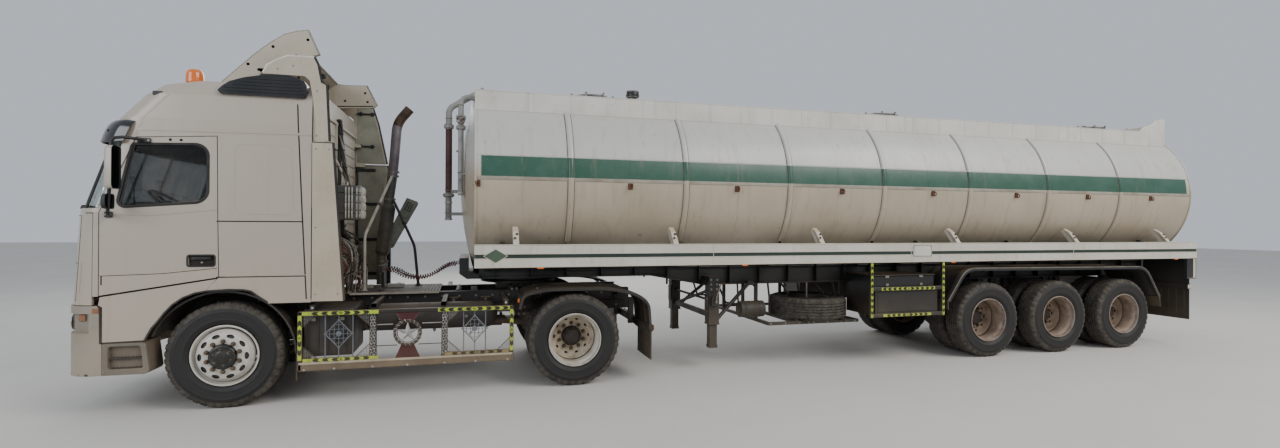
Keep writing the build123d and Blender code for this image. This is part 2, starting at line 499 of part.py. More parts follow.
cleaner = box(812, 1150, 330, 700, 1880, 2270)
for k in range(6):
    cleaner = cleaner + box(800, 1162, 318, 712, 1900 + 62 * k, 1925 + 62 * k)
duct = prism_xz([(1195, 1545), (1325, 1520), (1640, 2112), (1626, 2148), (1508, 2192)], -790, -690)
cleaner = cleaner + box(782, 812, 420, 620, 1950, 2200)
save(cleaner, "air_cleaner")
plate_arm = duct + box(1250, 1300, -780, -700, 1028, 1620) + box(1250, 1300, -780, -690, 960, 1028) + box(1290, 1330, -780, -425, 960, 998)

# ================================================================ wheels
TYRE_PROFILE = [(285, -112), (306, -114), (322, -136), (415, -149), (470, -143), (508, -128), (525, -105),
                (525, 105), (508, 128), (470, 143), (415, 149), (322, 136), (306, 114), (285, 112)]
BARREL = [(268, -130), (303, -130), (303, -118), (284, -118), (284, 118), (303, 118), (303, 130), (268, 130)]
DISC = [(70, 163), (70, 175), (228, 175), (262, 105), (268, 105), (268, 92), (254, 92), (218, 163)]


def disc_wheel(s, yc, sign, face):
    """rim and disc; sign is the vehicle side, face +1 if the disc is towards the outside."""
    w = rev_y(BARREL, s, AXLE_Z, sign * yc) + rev_y(DISC, s, AXLE_Z, sign * yc, sign * face)
    for k in range(10):
        a = math.radians(36 * k + 18)
        y_m = sign * (yc + face * 169)
        w = w - (Pos(X(s) + 186 * math.cos(a), y_m, AXLE_Z + 186 * math.sin(a)) * Rot(90, 0, 0) * Cylinder(24, 60))
    return w


def front_hub(s, sign):
    hub = [(46, 1000), (95, 1000), (95, 1180), (130, 1180), (130, 1209), (70, 1209), (70, 1270), (0, 1270), (0, 1158), (46, 1158)]
    drum = [(190, 962), (205, 962), (205, 1197), (205, 1209), (130, 1209), (130, 1197), (190, 1197)]
    return rev_y(hub, s, AXLE_Z, 0, sign) + rev_y(drum, s, AXLE_Z, 0, sign)


def dual_hub(s, outer, sign):
    m = outer - DISC_OFFSET
    hub = [(66, m - 270), (95, m - 270), (95, m - 30), (135, m - 30), (135, m + 12), (100, m + 12), (100, m + 90), (0, m + 90), (0, m - 5), (66, m - 5)]
    drum = [(190, m - 262), (205, m - 262), (205, m - 24), (205, m - 12), (135, m - 12), (135, m - 24), (190, m - 24)]
    return rev_y(hub, s, AXLE_Z, 0, sign) + rev_y(drum, s, AXLE_Z, 0, sign)


tyre_0 = rev_y(TYRE_PROFILE, 0, AXLE_Z, 0)
rim_0 = disc_wheel(0, 0, 1, 1)                         # disc towards +Y
rim_1 = mirror(rim_0, about=Plane.XZ)                  # disc towards -Y
front_tyre = Pos(0, FRONT_TYRE_Y, 0) * tyre_0
front_rim = Pos(0, FRONT_TYRE_Y, 0) * rim_0 + front_hub(0, 1)
twin_tyres = Pos(0, DRIVE_OUTER_Y, 0) * tyre_0 + Pos(0, DRIVE_OUTER_Y - DUAL_PITCH, 0) * tyre_0
twin_rims = Pos(0, DRIVE_OUTER_Y, 0) * rim_1 + Pos(0, DRIVE_OUTER_Y - DUAL_PITCH, 0) * rim_0 + dual_hub(0, DRIVE_OUTER_Y, 1)
for side in ("left", "right"):
    flip = (lambda piece: piece) if side == "left" else (lambda piece: mirror(piece, about=Plane.XZ))
    save(flip(front_tyre), f"front_tyre_{side}")
    save(flip(front_rim), f"front_rim_{side}")
    save(flip(Pos(-WHEELBASE, 0, 0) * twin_tyres), f"drive_tyres_{side}")
    save(flip(Pos(-WHEELBASE, 0, 0) * twin_rims), f"drive_rims_{side}")
    # the trailer's twin wheels are one built-up wheel each side of each axle
    for k, s in enumerate(TRAILER_AXLES_S):
        shift = Pos(-s, TRAILER_OUTER_Y - DRIVE_OUTER_Y, 0)
        save([flip(shift * twin_tyres), flip(shift * twin_rims)], f"trailer_wheels_{k + 1}_{side}")

# ================================================================ trailer
WEB, LOW, TOP_T = 12.0, 14.0, 12.0                      # web, lower flange and top flange thickness
IN_Y, OUT_Y = BEAM_Y - WEB / 2, BEAM_Y + WEB / 2


def long_member(z_low, z_top, y0, y1):
    """one strip of the beam in its three straight lengths: z_low and z_top are (before, after) the neck."""
    return [prism_xz([(2440, z_low[0]), (NECK_S0, z_low[0]), (NECK_S0, z_top[0]), (2440, z_top[0])], y0, y1),
            prism_xz([(NECK_S0, z_low[0]), (NECK_S1, z_low[1]), (NECK_S1, z_top[1]), (NECK_S0, z_top[0])], y0, y1),
            prism_xz([(NECK_S1, z_low[1]), (13390, z_low[1]), (13390, z_top[1]), (NECK_S1, z_top[1])], y0, y1)]


# beam: web, lower flange, and a top flange that stands outwards only, clear of the tank's belly
beam = long_member((NECK_Z + LOW, DEEP_Z + LOW), (BEAM_TOP - TOP_T,) * 2, IN_Y, OUT_Y)
beam += long_member((NECK_Z, DEEP_Z), (NECK_Z + LOW, DEEP_Z + LOW), BEAM_Y - 70, BEAM_Y + 70)
beam.append(box(2440, 13390, IN_Y, BEAM_Y + 80, BEAM_TOP - TOP_T, BEAM_TOP))
tframe = sides(beam)
tank_body = cyl_x(0, TANK_Z, TANK_R + 2, 2000, 13900)
saddle_room = cyl_x(0, TANK_Z, TANK_R + 18, 2430, 13900)
# coupler plate with the kingpin under it, and the nose box ahead of the tank that carries the air couplings
tframe += [box(2440, 3600, -BEAM_Y + 70, BEAM_Y - 70, NECK_Z, NECK_Z + 12), cyl_z(KINGPIN_S, 0, 25.4, 1102, NECK_Z)]
tframe += [prism_xz([(2215, 1250), (2215, 1437), (2322, 1437), (2322, NECK_Z), (2300, NECK_Z)], -560, 560),
           box(2322, 2440, -560, 560, NECK_Z, 1243)]
# cross members: a saddle between the beams and an arm outside each
SADDLE = [(-IN_Y, 1204), (IN_Y, 1204), (IN_Y, 1336), (-IN_Y, 1336)]
ARM = [(BEAM_Y + 80, 1300), (1195, 1400), (1195, 1480), (900, 1640), (800, 1640), (BEAM_Y + 80, 1350)]
for s in (2700, 3460, 4878, 6296, 7714, 8432, 10040, 11320, 12700):
    tframe += loose(prism_yz(SADDLE, s - 30, s + 30) - saddle_room)
    tframe += sides(loose(prism_yz(ARM, s - 30, s + 30) - saddle_room))
tframe += loose(box(13300, 13390, -1195, 1195, BEAM_TOP, 1500) - saddle_room)
save(tframe, "trailer_frame")

# ---------------------------------------------------------------- side rails (channel with a middle groove)
rail = box(TANK_FRONT_S, SIDE_REAR_S, SIDE_Y - 55, SIDE_Y, SIDE_Z0, SIDE_Z1) - box(TANK_FRONT_S - 10, SIDE_REAR_S + 10, SIDE_Y - 8, SIDE_Y + 10, 1465, 1510)
rail = rail - box(TANK_FRONT_S + 12, SIDE_REAR_S - 12, SIDE_Y - 60, SIDE_Y - 20, SIDE_Z0 + 12, SIDE_Z1 - 12)
tabs = []
for s in (2830, 4705, 6690, 8820, 10955, 12800):
    tabs += loose(prism_yz([(1195, SIDE_Z1), (1250, SIDE_Z1), (1130, 1760), (1040, 1815), (1000, 1780), (1130, SIDE_Z1)], s - 30, s + 30) - tank_body)
save(sides([rail] + tabs), "side_rails")

# ---------------------------------------------------------------- tank
def dish(s0, d, sgn):
    """(s, r) points of a dished head from the rim to the centre."""
    return [(s0 + sgn * d * (1 - (r / TANK_R) ** 2), r) for r in (TANK_R, 1040.0, 930.0, 780.0, 600.0, 400.0, 200.0, 0.0)]


prof = dish(TANK_FRONT_S, DISH, -1)[::-1] + dish(TANK_REAR_S, DISH, 1)
tank = rev_x([(s, r) for s, r in prof], 0, TANK_Z)
for k in range(RIB_COUNT):
    s = RIB_FIRST_S + k * RIB_PITCH
    tank = tank + rev_x([(s - 30, TANK_R - 6), (s + 30, TANK_R - 6), (s + 30, TANK_R + 14), (s - 30, TANK_R + 14)], 0, TANK_Z)
for s in (TANK_FRONT_S + 10, TANK_REAR_S - 10):
    tank = tank + rev_x([(s - 10, TANK_R - 6), (s + 10, TANK_R - 6), (s + 10, TANK_R + 8), (s - 10, TANK_R + 8)], 0, TANK_Z)
# bottom outlet at the rear: a flanged pipe end with eight bolts
OUT_Z = 1560.0
outlet = cyl_x(0, OUT_Z, 57, 13380, 13640) + cyl_x(0, OUT_Z, 110, 13640, 13662)
outlet = outlet - cyl_x(0, OUT_Z, 50, 13600, 13700)
for k in range(8):
    a = math.radians(22.5 + 45 * k)
    outlet = outlet - cyl_x(90 * math.cos(a), OUT_Z + 90 * math.sin(a), 9, 13600, 13700)
save([tank] + loose(outlet - tank), "tank_shell")

# ---------------------------------------------------------------- walkway boards, ladder
over_tank = cyl_x(0, TANK_Z, TANK_R + 2, 2000, 13900)
board = [prism_xz([(TANK_FRONT_S, 3170), (TANK_FRONT_S, BOARD_TOP), (12900, BOARD_TOP), (12900, 3170)], BOARD_Y - 15, BOARD_Y + 15) - over_tank,
         prism_xz([(12900, 3170), (12900, BOARD_TOP), (13000, 3500), (13130, 3510), (13260, 3620), (13420, 3625), (13420, 3170)],
                  BOARD_Y - 15, BOARD_Y + 15) - over_tank]
walk = sides(board)
for k in range(12):
    s = TANK_FRONT_S + 380 + 900 * k
    walk += loose(box(s, s + 40, -BOARD_Y + 15, BOARD_Y - 15, 3340, 3380) - over_tank)
ladder = box(13395, 13425, -BOARD_Y + 15, BOARD_Y - 15, 3500, 3560)
for y in (-190.0, 190.0):
    ladder = ladder + pipe([(13500, y, 3560), (13700, y, 3520), (13700, y, 1500), (13395, y, 1440)], 40, [60, 60])
for k in range(6):
    ladder = ladder + cyl_y(13700, 1700 + 300 * k, 14, -190, 190)
walk.append(ladder + both(box(13395, 13520, 170, 210, 3480, 3580)))
save(walk, "walkway_and_ladder")

# ---------------------------------------------------------------- manholes and vent
hatches = None
for s in (3900.0, 8423.0, 12650.0):
    h = cyl_z(s, 0, 260, 3470, 3530) + cyl_z(s, 0, 285, 3530, 3545)
    hatches = h if hatches is None else hatches + h
hatches = hatches - cyl_x(0, TANK_Z, TANK_R + 0.5, 2000, 13900)
vent = cyl_z(4485, 0, 45, 3480, 3600) + cyl_z(4485, 0, 88, 3600, 3686) - cyl_x(0, TANK_Z, TANK_R + 0.5, 2000, 13900)
save(hatches + vent, "manholes")

# ---------------------------------------------------------------- front pipes
pipe_a = pipe([(2500, 150, 3545), (2075, 150, 3290), (2075, 150, 1890)], 76, [120])
pipe_b = pipe([(2520, 650, 3310), (2226, 650, 3355), (2226, 650, 2180)], 64, [90])
brk = box(2040, 2300, 120, 180, 2230, 2270) + box(2040, 2330, 120, 180, 1950, 1990) + box(2200, 2360, 620, 680, 2420, 2450)
flanges = cyl_z(2075, 150, 70, 2190, 2215) + cyl_z(2075, 150, 60, 3040, 3075) + cyl_z(2226, 650, 56, 3080, 3110) + cyl_z(2226, 650, 56, 2960, 2990)
save((pipe_a + pipe_b + brk + flanges) - tank, "front_pipes")

# ---------------------------------------------------------------- landing legs
leg = box(5300, 5440, 680, 820, 560, 1180) + box(5320, 5420, 700, 800, 300, 560) + box(5315, 5425, 695, 805, 258, 300)
leg = leg + pipe([(5440, 750, 620), (5960, 620, 1075)], 50) + box(5290, 5450, 572, 700, 1060, 1180)
legs = both(leg) + box(5340, 5400, -700, 700, 640, 700) + pipe([(5370, -690, 660), (5370, 690, 1000)], 40) + both(box(5925, 6010, 572, 650, 1040, 1100))
save(legs, "landing_legs")

# ---------------------------------------------------------------- spare wheel in its cradle, air tank
spare = Pos(X(6870), 560, 735) * Rot(90, 0, 0) * Pos(-X(0), 0, 0) * rev_y(TYRE_PROFILE, 0, 0, 0)
spare_rim = Pos(X(6870), 560, 735) * Rot(90, 0, 0) * Pos(-X(0), 0, 0) * rev_y(BARREL, 0, 0, 0)
save(spare, "spare_tyre")
cradle = [spare_rim + cyl_z(6870, 560, 268, 690, 705)]
cradle += sides([box(6080, 7440, 900, 940, 540, 580)])
for s in (6080, 6500, 7200, 7400):
    cradle.append(box(s, s + 40, -900, 900, 540, 580))
for s in (6080, 7400):
    cradle += sides([box(s, s + 40, 520, 560, 580, DEEP_Z)])
cradle.append(cyl_x(780, 745, 105, 5740, 6075) + box(5880, 5920, 540, 780, 760, 800) + box(5880, 5920, 540, 568, 780, DEEP_Z))
save(cradle, "spare_carrier")

# ---------------------------------------------------------------- trailer side guards with locker
tg = box(7405, 7450, 1200, 1245, 630, SIDE_Z0) + box(8540, 8585, 1200, 1245, 630, SIDE_Z0) \
    + box(7450, 8540, 1205, 1245, 985, 1035) + box(7450, 8540, 1205, 1245, 635, 685)
tg = tg + box(7500, 8500, 1170, 1205, 660, 1010)
locker = box(7460, 8480, 620, 1170, 660, 1180) + box(7600, 7660, 565, 620, 1080, 1140) + box(8260, 8320, 565, 620, 1080, 1140)
side_guard_set = both(tg + locker)

# ---------------------------------------------------------------- trailer mudguards
mg = prism_xz([(8650, 820), (8950, 1262), (12330, 1240), (12625, 775), (12617, 770), (12325, 1232), (8955, 1254), (8658, 815)], 575, 1240)
mg = mg + box(9900, 9960, 560, 600, 1150, 1250) + box(11200, 11260, 560, 600, 1150, 1242) + box(8990, 9030, 560, 600, 1150, 1255) + box(12260, 12300, 560, 600, 1150, 1238)
save([side_guard_set, both(mg)], "trailer_guards")

# ---------------------------------------------------------------- trailer axles with springs
axles = []
for s in TRAILER_AXLES_S:
    a = axle_tube(s, 60, 838)
    for sg in (1, -1):
        a = a + box(s - 520, s + 520, sg * 440, sg * 520, 585, 640) + box(s - 80, s + 80, sg * 430, sg * 530, 570, 600)
        a = a + box(s - 560, s - 500, sg * 445, sg * 515, 600, DEEP_Z)
        a = a + box(s + 470, s + 530, sg * 445, sg * 515, 600, DEEP_Z)
    axles.append(a)
save(axles, "trailer_axles")

# ---------------------------------------------------------------- rear bumper with lamps and flaps
rb = box(13230, 13290, -1235, 1235, 880, 950) + both(box(13200, 13290, 460, 540, 880, DEEP_Z))
rb = rb + both(box(13250, 13262, 560, 1235, 400, 1360)) + both(box(13290, 13310, 700, 1200, 880, 950))
rb = rb + both(box(13200, 13400, 1195, 1240, 1040, SIDE_Z0))
save(rb, "rear_bumper")

# ================================================================ coiled air lines
# a curly line's solid is one fat tube of its outer diameter
LINE_A = [(1331, 250, 1300), (1440, 248, 1297), (1570, 235, 1205), (1740, 222, 1180), (1900, 235, 1228), (2030, 248, 1318), (2120, 256, 1352), (2213, 260, 1353)]
LINE_B = [(1331, -150, 1290), (1440, -152, 1287), (1570, -165, 1190), (1740, -182, 1160), (1900, -172, 1212), (2030, -160, 1308), (2120, -153, 1348), (2213, -150, 1349)]


def fat_line(route, d):
    pts = [Vector(X(s), y, z) for s, y, z in route]
    radii = []
    for i in range(1, len(pts) - 1):
        u, v = pts[i] - pts[i - 1], pts[i + 1] - pts[i]
        turn = math.radians(u.get_angle(v))
        radii.append(min(u.length, v.length) * 0.45 / math.tan(turn / 2))
    path = FilletPolyline(*pts, radius=radii)
    print("line radii", [round(r) for r in radii], "length", round(path.length))
    return sweep(Plane(origin=path @ 0, z_dir=path % 0) * Circle(d / 2), path=path)


save(fat_line(LINE_A, 54), "air_line_left")
save(fat_line(LINE_B, 54), "air_line_right")
# stand behind the cab that the lines leave from
stand = box(1290, 1330, -260, 330, 1038, 1060) + box(1295, 1325, -40, 100, 1060, 1340) + box(1290, 1330, -200, 300, 1260, 1340)
save([stand, plate_arm], "deck_brackets")

# ================================================================ room for neighbours
trim("cab_shell", "front_panel", "step_panels", "side_fairings")
trim("cab_interior", "cab_shell")
trim("door_left", "cab_shell")
trim("door_right", "cab_shell")
trim("door_glass_left", "cab_shell")
trim("door_glass_right", "cab_shell")
trim("windscreen", "cab_shell")
trim("front_lamps", "cab_shell", "front_bumper")
trim("step_panels", "front_bumper")
trim("mirror_left", "door_left", "door_glass_left", "cab_shell")
trim("mirror_right", "door_right", "door_glass_right", "cab_shell")
trim("mudguards", "cab_shell")
trim("walkway_and_ladder", "tank_shell")
trim("rear_bumper", "trailer_frame")
trim("engine_block", "chassis_frame", "drive_axle")
trim("visor_and_intakes", "door_left", "door_right")
trim("side_fairings", "visor_and_intakes", "roof_deflector")
trim("roof_deflector", "cab_shell")

for name, solids in PIECES.items():
    export_step(Compound(children=solids) if len(solids) > 1 else solids[0], f"parts/{name}.step")
print("done", len(PIECES))
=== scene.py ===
import math
import random
import bpy
from mathutils import Vector, Matrix


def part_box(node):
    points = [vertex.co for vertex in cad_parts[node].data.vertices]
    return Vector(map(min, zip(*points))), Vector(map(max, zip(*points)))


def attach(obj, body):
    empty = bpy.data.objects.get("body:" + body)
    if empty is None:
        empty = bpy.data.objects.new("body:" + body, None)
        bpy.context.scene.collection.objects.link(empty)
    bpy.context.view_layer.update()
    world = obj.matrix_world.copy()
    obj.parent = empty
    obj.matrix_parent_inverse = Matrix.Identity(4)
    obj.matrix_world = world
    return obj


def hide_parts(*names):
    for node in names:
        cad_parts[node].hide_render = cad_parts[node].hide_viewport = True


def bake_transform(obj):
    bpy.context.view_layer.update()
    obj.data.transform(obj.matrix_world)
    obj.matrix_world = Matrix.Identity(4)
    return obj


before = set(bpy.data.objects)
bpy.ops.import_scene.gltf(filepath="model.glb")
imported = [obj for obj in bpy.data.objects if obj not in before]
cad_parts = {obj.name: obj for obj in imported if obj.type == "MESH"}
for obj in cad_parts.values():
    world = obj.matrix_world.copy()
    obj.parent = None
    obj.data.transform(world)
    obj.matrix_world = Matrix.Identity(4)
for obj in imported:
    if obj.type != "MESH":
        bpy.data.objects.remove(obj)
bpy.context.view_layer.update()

# metres; "s" is the distance behind the front axle, so x = 6.160 - s
FRONT_AXLE_X = 6.160


def P(s, y, z):
    return Vector((FRONT_AXLE_X - s, y, z))


# ================================================================ camera, at the photograph's viewing angle
YAW, PITCH, ROLL = math.radians(15.691), math.radians(0.120), math.radians(0.282)
c_fwd = Vector((-math.sin(YAW) * math.cos(PITCH), -math.cos(YAW) * math.cos(PITCH), math.sin(PITCH)))
c_right = Vector((-math.cos(YAW), math.sin(YAW), 0.0))
c_up = c_right.cross(c_fwd)
r2 = c_right * math.cos(ROLL) + c_up * math.sin(ROLL)
u2 = c_up * math.cos(ROLL) - c_right * math.sin(ROLL)
cam_data = bpy.data.cameras.new("camera_main")
cam = bpy.data.objects.new("camera_main", cam_data)
bpy.context.scene.collection.objects.link(cam)
cam_data.sensor_fit = "HORIZONTAL"
cam_data.sensor_width = 36.0
cam_data.lens = 603.758 / 1280.0 * 36.0
cam_data.clip_start, cam_data.clip_end = 0.1, 500.0
m = Matrix((r2, u2, -c_fwd)).transposed().to_4x4()
m.translation = Vector((3.821, 8.059, 1.839))
cam.matrix_world = m
bpy.context.scene.camera = cam


# ================================================================ materials
def srgb(*c):
    return tuple((v / 255.0 / 12.92) if v / 255.0 <= 0.04045 else ((v / 255.0 + 0.055) / 1.055) ** 2.4 for v in c) + (1.0,)


SAND = srgb(186, 160, 126)
RUST = srgb(112, 62, 34)
MATS = {}


class Graph:
    """a small helper to write a node tree."""

    def __init__(self, name):
        self.mat = bpy.data.materials.new(name)
        self.mat.use_nodes = True
        self.t = self.mat.node_tree
        self.t.nodes.clear()
        self.out = self.t.nodes.new("ShaderNodeOutputMaterial")
        self.bsdf = self.t.nodes.new("ShaderNodeBsdfPrincipled")
        self.t.links.new(self.bsdf.outputs[0], self.out.inputs[0])
        tc = self.t.nodes.new("ShaderNodeTexCoord")
        self.pos = tc.outputs["Object"]
        self.nor = tc.outputs["Normal"]

    def put(self, sock, v):
        if hasattr(v, "is_output"):
            self.t.links.new(v, sock)
        else:
            sock.default_value = v

    def math(self, op, a, b=None, clamp=False):
        n = self.t.nodes.new("ShaderNodeMath")
        n.operation = op
        n.use_clamp = clamp
        self.put(n.inputs[0], a)
        if b is not None:
            self.put(n.inputs[1], b)
        return n.outputs[0]

    def scale(self, v, k):
        n = self.t.nodes.new("ShaderNodeVectorMath")
        n.operation = "MULTIPLY"
        self.put(n.inputs[0], v)
        n.inputs[1].default_value = k
        return n.outputs[0]

    def xyz(self, v):
        n = self.t.nodes.new("ShaderNodeSeparateXYZ")
        self.put(n.inputs[0], v)
        return n.outputs

    def noise(self, scale, detail=4.0, rough=0.55, stretch=None, shift=0.0):
        n = self.t.nodes.new("ShaderNodeTexNoise")
        v = self.pos
        if stretch:
            v = self.scale(v, stretch)
        self.put(n.inputs["Vector"], v)
        n.noise_dimensions = "4D"
        n.inputs["W"].default_value = shift
        n.inputs["Scale"].default_value = scale
        n.inputs["Detail"].default_value = detail
        n.inputs["Roughness"].default_value = rough
        return n.outputs["Fac"]

    def ramp(self, v, lo, hi, a=0.0, b=1.0):
        n = self.t.nodes.new("ShaderNodeMapRange")
        n.interpolation_type = "SMOOTHSTEP"
        self.put(n.inputs["Value"], v)
        n.inputs["From Min"].default_value = lo
        n.inputs["From Max"].default_value = hi
        n.inputs["To Min"].default_value = a
        n.inputs["To Max"].default_value = b
        return n.outputs[0]

    def mix(self, fac, a, b):
        n = self.t.nodes.new("ShaderNodeMix")
        n.data_type = "RGBA"
        self.put(n.inputs[0], fac)
        self.put(n.inputs[6], a)
        self.put(n.inputs[7], b)
        return n.outputs[2]

    def wave(self, scale, axis="X", distort=0.0):
        n = self.t.nodes.new("ShaderNodeTexWave")
        self.put(n.inputs["Vector"], self.pos)
        n.bands_direction = axis
        n.inputs["Scale"].default_value = scale
        n.inputs["Distortion"].default_value = distort
        return n.outputs["Fac"]

    def bump(self, h, strength=0.2, dist=0.002):
        n = self.t.nodes.new("ShaderNodeBump")
        n.inputs["Strength"].default_value = strength
        n.inputs["Distance"].default_value = dist
        self.put(n.inputs["Height"], h)
        self.t.links.new(n.outputs[0], self.bsdf.inputs["Normal"])

    def set(self, **kw):
        names = {"color": "Base Color", "rough": "Roughness", "metal": "Metallic", "spec": "Specular IOR Level",
                 "coat": "Coat Weight", "coat_rough": "Coat Roughness", "trans": "Transmission Weight", "ior": "IOR",
                 "alpha": "Alpha", "sheen": "Sheen Weight", "emit": "Emission Strength", "emit_color": "Emission Color"}
        for k, v in kw.items():
            self.put(self.bsdf.inputs[names[k]], v)


def surface(name, base, rough=0.5, metal=0.0, vary=0.12, scale=3.0, dust=0.25, dust_z=(0.3, 1.3), up=0.35, rust=0.0,
            streak=0.0, grain=60.0, bump=0.15, bump_d=0.002, spec=0.5, coat=0.0, dark=None, dust_color=None, chips=0.0):
    """paint, plastic, metal or rubber with dust low down and on top faces, rust spots, runs and grain."""
    if name in MATS:
        return MATS[name]
    g = Graph(name)
    base_c = srgb(*base)
    dark_c = srgb(*(dark if dark else tuple(v * 0.72 for v in base)))
    big = g.noise(scale, 5.0, 0.6)
    fine = g.noise(grain, 3.0, 0.6, shift=3.0)
    col = g.mix(g.ramp(big, 0.35, 0.75, 0.0, min(1.0, vary * 4)), base_c, dark_c)
    col = g.mix(g.ramp(fine, 0.45, 0.8, 0.0, vary * 1.6), col, dark_c)
    x, y, z = g.xyz(g.pos)
    dc = srgb(*dust_color) if dust_color else SAND
    if streak > 0:
        run = g.noise(9.0, 3.0, 0.6, stretch=(1.0, 1.0, 0.06), shift=7.0)
        col = g.mix(g.ramp(run, 0.52, 0.78, 0.0, streak), col, srgb(*(v * 0.45 + k for v, k in zip(base, (28, 20, 10)))))
    if dust > 0:
        low = g.ramp(z, dust_z[1], dust_z[0], 0.0, 1.0)
        patch = g.ramp(g.noise(2.3, 6.0, 0.65, shift=11.0), 0.3, 0.7, 0.45, 1.0)
        f = g.math("MULTIPLY", g.math("MULTIPLY", low, patch), dust)
        nz = g.xyz(g.nor)[2]
        top = g.math("MULTIPLY", g.ramp(nz, 0.45, 0.95, 0.0, up), patch)
        f = g.math("MAXIMUM", f, top, clamp=True)
        col = g.mix(f, col, dc)
    if chips > 0:
        ch = g.ramp(g.noise(38.0, 6.0, 0.7, shift=23.0), 0.66, 0.70, 0.0, chips)
        col = g.mix(ch, col, srgb(70, 60, 52))
    if rust > 0:
        spot = g.ramp(g.noise(7.0, 8.0, 0.72, shift=31.0), 0.60, 0.70, 0.0, rust)
        run2 = g.ramp(g.noise(14.0, 5.0, 0.65, stretch=(1.0, 1.0, 0.08), shift=37.0), 0.66, 0.78, 0.0, rust * 0.7)
        col = g.mix(g.math("MAXIMUM", spot, run2), col, RUST)
    g.set(color=col, rough=g.ramp(big, 0.3, 0.8, max(0.02, rough - 0.08), min(1.0, rough + 0.14)), metal=metal, spec=spec, coat=coat)
    if coat:
        g.bsdf.inputs["Coat Roughness"].default_value = 0.12
    h = g.math("ADD", g.math("MULTIPLY", fine, 0.5), g.math("MULTIPLY", g.noise(grain * 4.0, 2.0, 0.5, shift=5.0), 0.5))
    g.bump(h, bump, bump_d)
    MATS[name] = g.mat
    return g.mat


def glass(name, tint, rough=0.03, alpha=0.35):
    """tinted glass with a thin film of dust in patches."""
    if name in MATS:
        return MATS[name]
    g = Graph(name)
    film = g.ramp(g.noise(3.0, 6.0, 0.65, shift=2.0), 0.35, 0.8, 0.0, 0.10)
    g.set(color=g.mix(film, srgb(*tint), SAND), rough=g.ramp(film, 0.0, 0.3, rough, 0.3), trans=1.0, ior=1.45)
    g.set(alpha=alpha)
    MATS[name] = g.mat
    return g.mat


